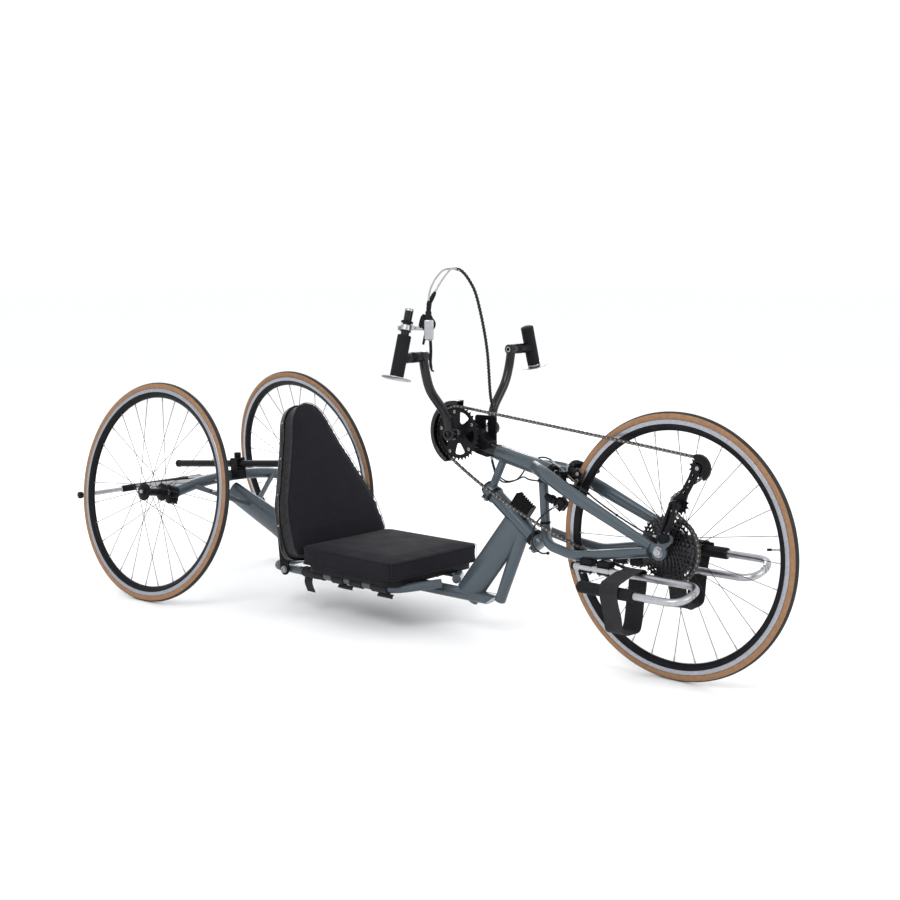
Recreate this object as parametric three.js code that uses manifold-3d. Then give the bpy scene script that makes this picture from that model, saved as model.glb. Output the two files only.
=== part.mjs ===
// Recumbent racing handcycle: a welded frame on two cambered rear wheels, a reclining seat, and a
// steered fork that carries the driven front wheel, the hand cranks and the whole chain drive.
// Millimetres, +X forward, +Y to the rider's left, +Z up. Inside the group x is measured from the rear
// axles; the group then moves so that the origin lies under the middle of the machine, on the floor.
import * as THREE from "three";
import { mergeVertices } from "three/addons/utils/BufferGeometryUtils.js";
import Module from "manifold-3d";

const wasm = await Module();
wasm.setup();

// Driving dimensions: wheels and stance
const wheelbase = 1675;
const beadSeatRadius = 311;
const tyreWidth = 23;
const tyreRadius = beadSeatRadius + tyreWidth;
const hubSpacing = 623;
const camberAngle = THREE.MathUtils.degToRad(8.7);
const toeAngle = THREE.MathUtils.degToRad(2.7);
const rimDepth = 28;
const rimWidth = 20;
const rimWall = 2;
const rimLip = 4.5;
const tyreNeck = 0.4;
const spokeCount = 28;
const spokeRadius = 1;
const spokeCrossing = THREE.MathUtils.degToRad(62);

const rearHubSizes = {
  rightFlange: 36, leftFlange: 34, flangeRadius: 27, shellRadius: 14, endRight: 44, endLeft: 40,
};
const frontHubSizes = { rightFlange: 19, leftFlange: 33, flangeRadius: 23, shellRadius: 14 };
const buttonTravel = 3;

const spokeStep = 1.8;

// Clearances, and how far a cutter runs past what it cuts
const gap = 0.3;
const runningGap = 0.5;
const cutOverrun = 2;

// Facets round a tube or turned piece
const facets = { wheel: 30, disc: 18, large: 14, middle: 10, small: 8, fine: 6, thin: 4 };

// Frame tubes, all on the centre plane unless a side value is given
const crossTube = {
  radius: 17.5, endInset: 75.5, endHeight: 318, midSide: 131, midHeight: 340, topHeight: 346,
};
const brace = { radius: 8, side: 165, rearDrop: 8, forward: 92, spineSide: 14, height: 262 };
const spine = {
  halfWidth: 20, rearHalfDepth: 33, midHalfDepth: 39, footHalfDepth: 16.5, footHalfWidth: 24,
  rearHeight: 292, midX: 240, midHeight: 203, kneeX: 390, footHeight: 111, frontX: 1118, tipX: 1073, bend: 90,
};
const downTube = { halfWidth: 19, halfDepth: 40, footX: 1000, headX: 1182, headHeight: 341 };
const frontStrut = {
  halfWidth: 16, footHalfDepth: 15, headHalfDepth: 20, footX: 1117, headX: 1200, headHeight: 316,
};
const steering = { topX: 1081, topHeight: 415, bottomX: 1257, bottomHeight: 286 };
const headTube = { radius: 21, bore: 17, cupRadius: 24, cupLength: 11, topOffset: 19, bottomOffset: 22 };
const steererRadius = 14.3;
const seatRails = {
  radius: 12.5, height: 125, rearX: 352, side: 140, frontX: 850, rearBend: 42, endX: 930, endSide: 32,
  endHeight: 137,
};
const axleClamp = {
  radius: 23, length: 26, lobe: 16, lobeDrop: 20, axleRadius: 6, axleLength: 76, collar: 18,
};
const safetyBar = {
  x: -370, height: 281, sleeveRadius: 11, tubeRadius: 8, sleeveSide: 160, endSide: 318, plugRadius: 11,
  plugLength: 12, staySide: 108, stayRadius: 9,
};
const reclineClamp = {
  x: 10, base: 17, width: 34, wall: 7, knobRadius: 11, knobLength: 18, boreGap: 0.5, slot: 5,
};
const damper = { length: 62, height: 26, width: 24, lift: 38, ribs: 4, ribDepth: 3, along: 112 };

// Seat
const seat = {
  frontX: 885, rearX: 516, halfWidth: 183, bottom: 157, thickness: 52, crown: 8, corner: 24, waist: 4,
  roll: 9,
};
const sling = {
  inset: 12, corner: 30, strapCount: 4, strapWidth: 58, strapWall: 4, firstX: 530, lastX: 812,
};
const backrest = {
  pivotX: 422, pivotHeight: 125, recline: THREE.MathUtils.degToRad(20.6), faceX: 497, faceHeight: 218,
  thickness: 58, crown: 8, waist: 4, roll: 12, outlineSteps: 26, halfWidth: 188, length: 411,
  shellGap: 1.2, shellThickness: 5, shellLip: 16, lipWall: 3,
  bracketSide: 156, bracketWidth: 6, bracketRadius: 17, bracketLow: 6, bracketHigh: 90, bracketDepth: 26,
  pinRadius: 5,
};
const reclineBar = {
  radius: 11, capLip: 1.2, rearX: -270, rearHeight: 357, pinX: 334, lugRadius: 13, lugWidth: 24,
};

// Fork and boom
const boom = {
  radius: 22, rearX: 1112, rearHeight: 519, frontX: 1290, frontHeight: 483, plugLength: 12, plugRadius: 20,
  socket: 40,
};
const crankAxis = { x: 1006, height: 567 };
const insert = { rearX: 1048, radius: 20, shellRadius: 23, shellHalf: 34, blockLength: 40, blockHalf: 19 };
const leg = {
  startX: 1252, startSide: 15, startHeight: 489, bendX: 1300, bendSide: 47, bendHeight: 487, wideX: 1380,
  wideSide: 62, wideHeight: 455, endX: 1650, endSide: 73, endHeight: 345, halfDepth: 18, halfWidth: 13,
  endHalfDepth: 12, endHalfWidth: 6.5, bend: 40,
};
const lowerArm = {
  radius: 13, startX: 1280, startSide: 13, startHeight: 322, bendX: 1322, bendSide: 48, bendHeight: 299,
  flatX: 1413, flatSide: 60, flatHeight: 286, endX: 1648, endSide: 73, endHeight: 330, bend: 24,
};
const strutPost = { radius: 12.5, topX: 1262, bottomX: 1274, bottomHeight: 318 };
const rearStrut = { radius: 11, topX: 1135 };
const steererClamp = { radius: 22, half: 13, earWidth: 10, boltRadius: 4 };
const frontAxle = { radius: 4.5, nutRadius: 10, nutLength: 9, leverLength: 52, leverRadius: 5 };
const cableBracket = {
  rearX: 1011, frontX: 1086, low: 520, high: 612, wall: 5, slotX: 1048, slotWidth: 9, slotLow: 563,
  slotHigh: 600, corner: 9,
};
const guard = {
  inner: 84, wall: 5, innerSide: 34, outerSide: 60, lip: 8, lipWall: 3,
  fromAngle: THREE.MathUtils.degToRad(84), toAngle: THREE.MathUtils.degToRad(246), plateWall: 3,
  plateRadius: 30,
};

// Chain drive
const pitch = 12.7;
const ringTeeth = 36;
const cogTeeth = 42;
const pulleyTeeth = 12;
const ringSide = 46;
const cogSide = 28;
const chain = { halfWidth: 3.3, pinHalf: 4.1, waistHalf: 3.3, plainRun: 3 };
const chainSag = 0.17;
const halvings = 40;
const engagedShare = 0.7;
const tooth = { tip: 2.3, root: 4.6, thickness: 1.9, tipHalf: 0.9, rootHalf: 2.1 };
const tensionPulley = { x: 1754, height: 541 };
const guidePulley = { x: 1703, height: 448 };
const hangerBolt = { x: 1694, height: 372 };
const cogSpacing = 4.1;
const smallCogs = [37, 32, 28, 24, 21, 18, 15, 12];
const lockring = { radius: 14, length: 2 };
const cassetteDepth = cogSide + cogSpacing * (smallCogs.length + 1) - tooth.thickness / 2 + lockring.length;
const dropoutClearance = 1.55;
const dropout = {
  radius: 21, hangerRadius: 12, thickness: 8, inner: cassetteDepth + dropoutClearance,
};
const derailleur = {
  boltRadius: 4, pinRadius: 2.6, plateGap: 2, plateWall: 1.6, innerPlate: 8, outerPlate: 17, pivotRadius: 6,
  pivotSide: -56, cap: 4, knuckleRadius: 13, knuckleLength: 18, linkHalfWidth: 9, linkHalfDepth: 11,
};

// Cranks and grips
const crank = {
  length: 214, baseRight: 77, baseLeft: 100, baseRadius: 19, baseHalf: 10, radius: 12.5, kneeHeight: 50,
  kneeRight: 88, kneeLeft: 99, elbowSide: 156, elbowHeight: 122, shoulderSide: 172, shoulderHeight: 165,
  endSide: 182, eyeHalf: 13, eyeRadius: 14, spindleRadius: 12, boltRadius: 11, boltLength: 5, bend: 26,
};
const spider = {
  arms: 5, ringInner: 60, thickness: 4, windowInner: 29, windowOuter: 57,
  windowHalf: THREE.MathUtils.degToRad(20), firstWindow: THREE.MathUtils.degToRad(63),
};
const grip = {
  side: 267, rise: 5, tilt: THREE.MathUtils.degToRad(16.5), half: 56, radius: 18, discRadius: 39,
  discThickness: 3, housingRadius: 14, axleRadius: 6, axleEnd: 246, postRadius: 11, postLength: 64,
  capRadius: 12, capLength: 8,
};
const lever = {
  heading: THREE.MathUtils.degToRad(42), along: 76, bandHalf: 7, bandWall: 4, reach: 58, bodyDrop: 34,
  bodyRise: 36, bodyWidth: 11, bodyDepth: 9, podRadius: 19, podHalf: 5, podRise: 10, bootRadius: 6,
  bootLength: 26, bootSpread: 8, bladeLength: 96, bladeHalfWidth: 5, bladeHalfDepth: 4, tipHalfWidth: 12,
  bladeBow: 10, bladeBend: 20, pivotRadius: 5,
};

// Brakes
const brake = {
  x: 1385, drop: 13, bridgeHalf: 34, padSide: 12.5, padWall: 9, padLength: 46, padHeight: 11,
  armRadius: 7, pivotSide: 24, pinRadius: 3, stemRadius: 7, rise: 20, armTopSide: 14, armRise: 24,
  bodyLength: 22, bodyHeight: 15, armBend: 8,
};
const parkBrake = { x: 1324, drop: 81, half: 17, width: 26, length: 30 };

// Footrests
const footrest = {
  tubeRadius: 9.5, bend: 46, blockSide: 72, blockLift: 276, innerSide: 77, height: 266, rearX: 1428,
  span: 97, frontRightX: 1800, frontLeftX: 1850,
  outerRightX: 1512, outerLeftX: 1562, foamRadius: 15, foamLength: 160,
  tiltRight: THREE.MathUtils.degToRad(-14.3), tiltLeft: THREE.MathUtils.degToRad(18.9),
  blockHalf: 19, blockWidth: 34, blockHeight: 46, blockX: 1465, blockSpacing: 54,
};
const strap = {
  wall: 3, width: 52, drop: 108, x: 1610, crown: 5, draw: 9, lean: THREE.MathUtils.degToRad(9.2),
};

// Cables
const cable = {
  harnessRadius: 4, branchRadius: 2.4, sides: 5, harnessBend: 30, branchBend: 14,
  harness: [
    [1036, -188, 928], [1042, -165, 973], [1062, -110, 1008], [1079, -70, 966], [1085, -45, 900],
    [1084, -15, 793],
    [1070, 14, 676], [1065, 30, 628], [1062, 30, 560], [1062, 30, 500], [1066, 34, 470], [1078, 34, 446],
  ],
  brakeBranch: [
    [1072, 34, 452], [1100, 34, 432], [1150, 34, 440], [1190, 30, 500], [1245, 20, 524], [1330, 8, 522],
    [1385, 4, 520],
  ],
  gearBranch: [
    [1076, 34, 450], [1110, 34, 436], [1160, 14, 446], [1205, -10, 462], [1240, -22, 459], [1310, -27, 462],
    [1345, -40, 468], [1400, -43, 462], [1440, -50, 453], [1485, -60, 434], [1560, -66, 402],
    [1640, -80, 378],
    [1678, -84, 373],
  ],
  parkBranch: [
    [1312, -8, 396], [1284, -24, 372], [1262, -29, 345], [1254, -30, 322], [1254, -30, 288],
    [1281, -30, 271],
    [1331, -60, 282],
  ],
};

// Shares of the sizes that they multiply
const halfShare = 0.5;
const endShare = 0.75;
const slimShare = 0.8;
const smallShare = 0.6;
const cornerShare = 0.75;
const archShare = 1.05;
const rimShares = { bed: 0.25, spokeBed: 0.08 };
const tubeShares = { corner: 0.49, crossBend: 0.45, spineStart: 0.3 };
const cushionShares = {
  foot: 0.6, lowRoll: 0.7, highRoll: 0.8, shoulder: 0.45, shoulderDrop: 0.15, shoulderInset: 1.3,
  crownRim: 0.4, crownMiddle: 0.75,
};
const backShares = [
  [0, 0], [0.8, 0], [0.99, 0.034], [1, 0.122], [0.915, 0.285], [0.8, 0.401], [0.49, 0.725], [0.33, 0.905],
  [0.18, 0.978], [0, 1],
];
const reclineSlopeShare = 0.093;
const hingeShares = { pinHead: 1.6, lugCorner: 0.7, collar: 1.5 };
const housingShares = { under: 0.5, low: 0.8, high: 0.9 };
const leverShares = {
  bootSpread: 0.7, slot: 1.8, bladeMiddle: 0.35, bladeLow: 0.8, bladeBow: 0.4, bladeTip: 0.2,
  bladeSwell: 1.4, paddleOut: 1.3, paddleDrop: 1.9, eye: 0.7,
};
const pulleyHubShare = 0.4;
const linkShare = 0.4;
const padShare = 0.1;
const strapShares = { low: 0.6, bottom: 2.4, inner: 0.4 };
const chainShares = { slack: 2.2, seated: 0.2 };
const branchSideShares = [0.3, 1, 0.2];

const paint = new THREE.MeshStandardMaterial({ color: 0x6f7d84, roughness: 0.32, metalness: 0.55 });
const blackMetal = new THREE.MeshStandardMaterial({ color: 0x111214, roughness: 0.35, metalness: 0.6 });
const blackPlastic = new THREE.MeshStandardMaterial({ color: 0x0e0e10, roughness: 0.55, metalness: 0 });
const silver = new THREE.MeshStandardMaterial({ color: 0xb9bcc0, roughness: 0.3, metalness: 0.9 });
const fabric = new THREE.MeshStandardMaterial({ color: 0x1b1b1f, roughness: 0.95, metalness: 0 });
const rubber = new THREE.MeshStandardMaterial({ color: 0x1a1a1a, roughness: 0.85, metalness: 0 });
const steel = new THREE.MeshStandardMaterial({ color: 0x4a4744, roughness: 0.4, metalness: 0.8 });

const part = new THREE.Group();
const X = new THREE.Vector3(1, 0, 0);
const Y = new THREE.Vector3(0, 1, 0);
const Z = new THREE.Vector3(0, 0, 1);
const tau = Math.PI * 2;
const point = (x, y, z) => new THREE.Vector3(x, y, z);
const lerp = THREE.MathUtils.lerp;
const sides = [{ sign: -1, name: "right" }, { sign: 1, name: "left" }];

// A closed geometry as a solid; a surface that was wound inwards is turned round.
function toSolid(geometry) {
  const bare = geometry.clone();
  bare.deleteAttribute("normal");
  bare.deleteAttribute("uv");
  const merged = mergeVertices(bare);
  const triVerts = new Uint32Array(merged.index.array);
  const vertProperties = merged.attributes.position.array;
  const build = () => new wasm.Manifold(new wasm.Mesh({ numProp: 3, vertProperties, triVerts }));
  const made = build();
  if (made.volume() >= 0) return made;
  for (let i = 0; i < triVerts.length; i += 3) {
    [triVerts[i], triVerts[i + 1]] = [triVerts[i + 1], triVerts[i]];
  }
  return build();
}

function toGeometry(solid) {
  const mesh = solid.getMesh();
  const positions = new Float32Array(mesh.numVert * 3);
  for (let i = 0; i < mesh.numVert; i++) {
    positions.set(mesh.vertProperties.subarray(i * mesh.numProp, i * mesh.numProp + 3), i * 3);
  }
  const geometry = new THREE.BufferGeometry();
  geometry.setAttribute("position", new THREE.BufferAttribute(positions, 3));
  geometry.setIndex(new THREE.BufferAttribute(mesh.triVerts, 1));
  geometry.computeVertexNormals();
  return geometry;
}

const join = (...solids) => solids.flat().reduce((a, b) => a.add(b));
const cut = (solid, ...cutters) => cutters.flat().reduce((a, b) => a.subtract(b), solid);

function addMesh(name, solid, material, parent = part) {
  const mesh = new THREE.Mesh(toGeometry(solid), material);
  mesh.name = name;
  parent.add(mesh);
  return mesh;
}

// A closed skin over rings of equal length, with a flat fan on the first and the last ring.
function loft(rings) {
  const count = rings[0].length;
  const positions = rings.flat().flatMap((p) => [p.x, p.y, p.z]);
  const index = [];
  for (let r = 0; r + 1 < rings.length; r++) {
    for (let i = 0; i < count; i++) {
      const a = r * count + i;
      const b = r * count + (i + 1) % count;
      index.push(a, b, b + count, a, b + count, a + count);
    }
  }
  const last = (rings.length - 1) * count;
  for (let i = 1; i + 1 < count; i++) {
    index.push(0, i + 1, i);
    index.push(last, last + i, last + i + 1);
  }
  const geometry = new THREE.BufferGeometry();
  geometry.setAttribute("position", new THREE.Float32BufferAttribute(positions, 3));
  geometry.setIndex(index);
  return toSolid(geometry);
}

// A closed skin over rings that run round a loop.
function closedLoft(rings) {
  const count = rings[0].length;
  const positions = rings.flat().flatMap((p) => [p.x, p.y, p.z]);
  const index = [];
  for (let r = 0; r < rings.length; r++) {
    const next = (r + 1) % rings.length;
    for (let i = 0; i < count; i++) {
      const j = (i + 1) % count;
      index.push(
        r * count + i, r * count + j, next * count + j, r * count + i, next * count + j, next * count + i,
      );
    }
  }
  const geometry = new THREE.BufferGeometry();
  geometry.setAttribute("position", new THREE.Float32BufferAttribute(positions, 3));
  geometry.setIndex(index);
  return toSolid(geometry);
}

function ovalRing(centre, tangent, sideway, halfWidth, halfDepth, count) {
  const across = sideway.clone().addScaledVector(tangent, -sideway.dot(tangent)).normalize();
  const up = tangent.clone().cross(across);
  return Array.from({ length: count }, (_, i) => {
    const angle = (i + halfShare) / count * tau;
    return centre.clone()
      .addScaledVector(across, halfWidth * Math.cos(angle))
      .addScaledVector(up, halfDepth * Math.sin(angle));
  });
}

// Stations along a path of straight runs whose corners are rounded by the bend length.
function stations(points, bend, arcSteps = 2) {
  const out = [{ at: points[0], way: points[1].clone().sub(points[0]).normalize(), share: 0 }];
  for (let i = 1; i + 1 < points.length; i++) {
    const before = points[i].clone().sub(points[i - 1]);
    const after = points[i + 1].clone().sub(points[i]);
    const reach = Math.min(bend, before.length() * tubeShares.corner, after.length() * tubeShares.corner);
    const from = points[i].clone().addScaledVector(before.normalize(), -reach);
    const to = points[i].clone().addScaledVector(after.normalize(), reach);
    const curve = new THREE.QuadraticBezierCurve3(from, points[i], to);
    for (let k = 0; k <= arcSteps; k++) {
      out.push({ at: curve.getPoint(k / arcSteps), way: curve.getTangent(k / arcSteps), share: i });
    }
  }
  const end = points.length - 1;
  out.push({ at: points[end], way: points[end].clone().sub(points[end - 1]).normalize(), share: end });
  return out;
}

// A bent tube; half widths and depths may be one value or one for each point of the path.
function tube(
  points, halfWidth,
  { halfDepth = halfWidth, bend = 1, count = facets.middle, sideway = Y, grow = 0, steps = 2 } = {},
) {
  const pick = (value, i) => (Array.isArray(value) ? value[i] : value) + grow;
  const line = stations(points, bend, steps);
  line[0].at = line[0].at.clone().addScaledVector(line[0].way, -grow);
  line[line.length - 1].at = line[line.length - 1].at.clone().addScaledVector(
    line[line.length - 1].way, grow,
  );
  return loft(line.map((s) =>
    ovalRing(s.at, s.way, sideway, pick(halfWidth, s.share), pick(halfDepth, s.share), count)));
}

function place(geometry, axis, at) {
  const turned = geometry.clone().applyQuaternion(
    new THREE.Quaternion().setFromUnitVectors(Y, axis.clone().normalize())
  );
  return turned.translate(at.x, at.y, at.z);
}

function rod(from, to, radius, count = facets.middle, endRadius = radius) {
  const way = to.clone().sub(from);
  const middle = from.clone().add(to).multiplyScalar(halfShare);
  return toSolid(place(new THREE.CylinderGeometry(endRadius, radius, way.length(), count), way, middle));
}

// A turned piece: profile of [radius, distance along the axis] pairs.
function turned(profile, count, axis = Y, at = point(0, 0, 0)) {
  const points = profile.map(([r, along]) => new THREE.Vector2(r, along));
  return toSolid(place(new THREE.LatheGeometry(points, count), axis, at));
}

function block(length, width, height, at, angle = 0) {
  const box = new THREE.BoxGeometry(length, width, height);
  box.rotateY(-angle);
  return toSolid(box.translate(at.x, at.y, at.z));
}

// A plate whose outline lies in the x-z plane, from one side distance to another.
function upright(shape, fromY, toY, curveSegments = facets.middle) {
  const plate = new THREE.ExtrudeGeometry(shape, { depth: toY - fromY, bevelEnabled: false, curveSegments });
  plate.rotateX(Math.PI / 2);
  return toSolid(plate.translate(0, toY, 0));
}

const outline = (pairs) => new THREE.Shape(pairs.map(([x, y]) => new THREE.Vector2(x, y)));

// Steering axis
const steeringTop = point(steering.topX, 0, steering.topHeight);
const steeringBottom = point(steering.bottomX, 0, steering.bottomHeight);
const steeringDown = steeringBottom.clone().sub(steeringTop).normalize();
const steeringLength = steeringTop.distanceTo(steeringBottom);
const alongSteering = (distance) => steeringTop.clone().addScaledVector(steeringDown, distance);
const steeringOut = point(-steeringDown.z, 0, steeringDown.x);

// Wheels
function wheelFrame(centre, axis) {
  const frame = new THREE.Group();
  frame.position.copy(centre);
  frame.quaternion.setFromUnitVectors(Y, axis);
  part.add(frame);
  return frame;
}

const rimInner = beadSeatRadius + rimLip - rimDepth;
const spokeReach = rimInner + cutOverrun;

function rimSolid() {
  const bed = rimWidth * rimShares.bed;
  const well = beadSeatRadius - gap;
  const lipRadius = beadSeatRadius + rimLip;
  const half = rimWidth / 2;
  return turned([
    [rimInner, -bed], [rimInner + rimDepth / 2, -half], [lipRadius, -half], [lipRadius, -half + rimWall],
    [well, -half + rimWall], [well, half - rimWall], [lipRadius, half - rimWall], [lipRadius, half],
    [rimInner + rimDepth / 2, half], [rimInner, bed], [rimInner, -bed],
  ], facets.wheel);
}

function tyreSolid() {
  const middle = tyreRadius - tyreWidth / 2;
  const neck = rimWidth / 2 - rimWall - tyreNeck;
  const low = Math.asin((beadSeatRadius + rimLip + tyreNeck - middle) / (tyreWidth / 2));
  const arcs = 4;
  const profile = [[beadSeatRadius, neck], [beadSeatRadius + rimLip + tyreNeck, neck]];
  for (let i = 0; i <= arcs; i++) {
    const angle = lerp(low, Math.PI - low, i / arcs);
    profile.push([middle + Math.sin(angle) * tyreWidth / 2, Math.cos(angle) * tyreWidth / 2]);
  }
  profile.push([beadSeatRadius + rimLip + tyreNeck, -neck], [beadSeatRadius, -neck], [beadSeatRadius, neck]);
  return turned(profile, facets.wheel);
}

// A hub shell with its laced spokes; flanges are distances from the wheel's middle along its axle.
function hubSolid({ rightFlange, leftFlange, flangeRadius, shellRadius, endRight, endLeft, bore }) {
  const wall = spokeStep + spokeRadius;
  const shell = turned([
    [bore, -endRight], [shellRadius * endShare, -endRight], [shellRadius, -rightFlange - wall],
    [flangeRadius, -rightFlange - wall], [flangeRadius, -rightFlange + wall],
    [shellRadius, -rightFlange + wall],
    [shellRadius, leftFlange - wall], [flangeRadius, leftFlange - wall], [flangeRadius, leftFlange + wall],
    [shellRadius, leftFlange + wall], [shellRadius * endShare, endLeft], [bore, endLeft], [bore, -endRight],
  ], facets.middle);
  const spokes = [];
  for (let i = 0; i < spokeCount; i++) {
    const onLeft = i % 2 === 1;
    const leading = i % 4 < 2 ? 1 : -1;
    const rimAngle = i / spokeCount * tau;
    const hubAngle = rimAngle + leading * spokeCrossing;
    const at = (radius, angle, y) => point(radius * Math.cos(angle), y, radius * Math.sin(angle));
    const flange = (onLeft ? leftFlange : -rightFlange) + leading * spokeStep;
    const bed = rimWidth * rimShares.spokeBed * (onLeft ? 1 : -1);
    spokes.push(rod(
      at(flangeRadius - spokeStep, hubAngle, flange), at(spokeReach, rimAngle, bed), spokeRadius, 3
    ));
  }
  const half = rimWidth / 2;
  const rimFace = turned([
    [rimInner - gap, -half], [rimInner + rimDepth, -half], [rimInner + rimDepth, half],
    [rimInner - gap, half],
    [rimInner - gap, -half],
  ], facets.wheel);
  return cut(join(shell, ...spokes), rimFace);
}

const rearCentreHeight = tyreWidth / 2 + (tyreRadius - tyreWidth / 2) * Math.cos(camberAngle);
const rearHub = { ...rearHubSizes, bore: axleClamp.axleRadius + runningGap };
const axleAxis = (sign) => point(
  sign * Math.sin(toeAngle) * Math.cos(camberAngle),
  Math.cos(toeAngle) * Math.cos(camberAngle),
  sign * Math.sin(camberAngle),
);
const rearHubShape = hubSolid(rearHub);
for (const { sign, name } of sides) {
  const outward = axleAxis(sign).multiplyScalar(sign);
  const frame = wheelFrame(point(0, sign * hubSpacing / 2, rearCentreHeight), outward.clone().negate());
  addMesh(`rear_tyre_${name}`, tyreSolid(), rubber, frame);
  addMesh(`rear_rim_${name}`, rimSolid(), blackMetal, frame);
  addMesh(`rear_hub_${name}`, rearHubShape, blackMetal, frame);
  const buttonInner = axleClamp.axleLength / 2;
  addMesh(`release_button_${name}`, turned([
    [0, -buttonInner - buttonTravel - gap], [axleClamp.axleRadius, -buttonInner - buttonTravel - gap],
    [axleClamp.axleRadius, -rearHub.endRight - buttonTravel - runningGap],
    [axleClamp.axleRadius - runningGap * 2, -rearHub.endRight - buttonTravel * 2],
    [0, -rearHub.endRight - buttonTravel * 2],
  ].reverse(), facets.small), silver, frame);
}

const frontHub = {
  ...frontHubSizes, endRight: cogSide - tooth.thickness - runningGap * 4,
  endLeft: dropout.inner - runningGap,
  bore: frontAxle.radius + runningGap,
};
const frontCentre = point(wheelbase, 0, tyreRadius);
const frontFrame = wheelFrame(frontCentre, Y);
addMesh("front_tyre", tyreSolid(), rubber, frontFrame);
addMesh("front_rim", rimSolid(), blackMetal, frontFrame);
addMesh("front_hub", hubSolid(frontHub), blackMetal, frontFrame);

// Frame tubes, each cut back from the tube that it is welded to
const crossEnd = hubSpacing / 2 - crossTube.endInset;
const crossPath = [
  point(0, -crossEnd, crossTube.endHeight), point(0, -crossTube.midSide, crossTube.midHeight),
  point(0, 0, crossTube.topHeight), point(0, crossTube.midSide, crossTube.midHeight),
  point(0, crossEnd, crossTube.endHeight),
];
const crossOptions = { bend: crossTube.midSide * tubeShares.crossBend, sideway: X, count: facets.middle };
const crossShape = tube(crossPath, crossTube.radius, crossOptions);
const crossCutter = tube(crossPath, crossTube.radius, { ...crossOptions, grow: gap });

const spinePath = [
  point(crossTube.radius * tubeShares.spineStart, 0, spine.rearHeight),
  point(spine.midX, 0, spine.midHeight),
  point(spine.kneeX, 0, spine.footHeight), point(spine.frontX, 0, spine.footHeight),
];
const spineWidths = [spine.halfWidth, spine.halfWidth, spine.footHalfWidth, spine.footHalfWidth];
const spineDepths = [spine.rearHalfDepth, spine.midHalfDepth, spine.footHalfDepth, spine.footHalfDepth];
const spineOptions = { halfDepth: spineDepths, bend: spine.bend, count: facets.large };
const spineBlank = tube(spinePath, spineWidths, spineOptions);
const tipLean = Math.atan2(spine.frontX - spine.tipX, spine.footHalfDepth * 2);
const tipLength = spine.frontX - downTube.footX;
const tipCutter = block(tipLength, spine.footHalfWidth * 4, tipLength * 2, point(
  (spine.frontX + spine.tipX) / 2 + tipLength / 2 * Math.cos(tipLean), 0,
  spine.footHeight - tipLength / 2 * Math.sin(tipLean),
), -tipLean);
const spineShape = cut(spineBlank, crossCutter, tipCutter);
const spineCutter = tube(spinePath, spineWidths, { ...spineOptions, grow: gap });
addMesh("main_spine", spineShape, paint);

const bracePath = (sign) => [
  point(crossTube.radius * smallShare, sign * brace.side, crossTube.midHeight - brace.rearDrop),
  point(brace.forward, sign * brace.spineSide, brace.height),
];
const braces = sides.map(
  ({ sign }) => cut(tube(bracePath(sign), brace.radius, { count: facets.fine, sideway: Z }), spineCutter)
);
addMesh("rear_cross_tube", join(crossShape, ...braces), paint);

const headShape = (grow = 0) => turned([
  [headTube.bore, headTube.topOffset], [headTube.cupRadius + grow, headTube.topOffset],
  [headTube.cupRadius + grow, headTube.topOffset + headTube.cupLength],
  [headTube.radius + grow, headTube.topOffset + headTube.cupLength],
  [headTube.radius + grow, steeringLength - headTube.bottomOffset - headTube.cupLength],
  [headTube.cupRadius + grow, steeringLength - headTube.bottomOffset - headTube.cupLength],
  [headTube.cupRadius + grow, steeringLength - headTube.bottomOffset],
  [headTube.bore, steeringLength - headTube.bottomOffset], [headTube.bore, headTube.topOffset],
], facets.disc, steeringDown, steeringTop);
const headCutter = join(
  headShape(gap),
  rod(
    alongSteering(headTube.topOffset - cutOverrun), alongSteering(steeringLength), headTube.radius - gap,
    facets.large,
  ),
);
const downPath = [point(downTube.footX, 0, spine.footHeight), point(downTube.headX, 0, downTube.headHeight)];
const downOptions = { halfDepth: downTube.halfDepth, count: facets.large };
const downShape = cut(tube(downPath, downTube.halfWidth, downOptions), headCutter, spineCutter);
const downCutter = tube(downPath, downTube.halfWidth, { ...downOptions, grow: gap });
const strutPath = [
  point(frontStrut.footX, 0, spine.footHeight), point(frontStrut.headX, 0, frontStrut.headHeight),
];
const strutOptions = {
  halfDepth: [frontStrut.footHalfDepth, frontStrut.headHalfDepth], count: facets.middle,
};
const largest = (solid) => solid.decompose().sort((a, b) => b.volume() - a.volume())[0];
addMesh("down_tube", largest(downShape), paint);
addMesh(
  "front_strut",
  largest(cut(tube(strutPath, frontStrut.halfWidth, strutOptions), headCutter, spineCutter, downCutter)),
  paint,
);
addMesh("head_tube", headShape(), paint);

const railPath = [
  point(seatRails.endX, -seatRails.endSide, seatRails.endHeight),
  point(seatRails.frontX, -seatRails.side, seatRails.height),
  point(seatRails.rearX, -seatRails.side, seatRails.height),
  point(seatRails.rearX, seatRails.side, seatRails.height),
  point(seatRails.frontX, seatRails.side, seatRails.height),
  point(seatRails.endX, seatRails.endSide, seatRails.endHeight),
];
const railOptions = { bend: seatRails.rearBend, sideway: Z, count: facets.small };
const railCutter = tube(railPath, seatRails.radius, { ...railOptions, grow: gap });
const pivotBore = rod(point(backrest.pivotX, -seat.halfWidth, backrest.pivotHeight),
  point(backrest.pivotX, seat.halfWidth, backrest.pivotHeight), backrest.pinRadius + runningGap,
  facets.middle);
addMesh(
  "seat_rails",
  largest(cut(tube(railPath, seatRails.radius, railOptions), spineCutter, downCutter, pivotBore)), paint,
);

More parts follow.
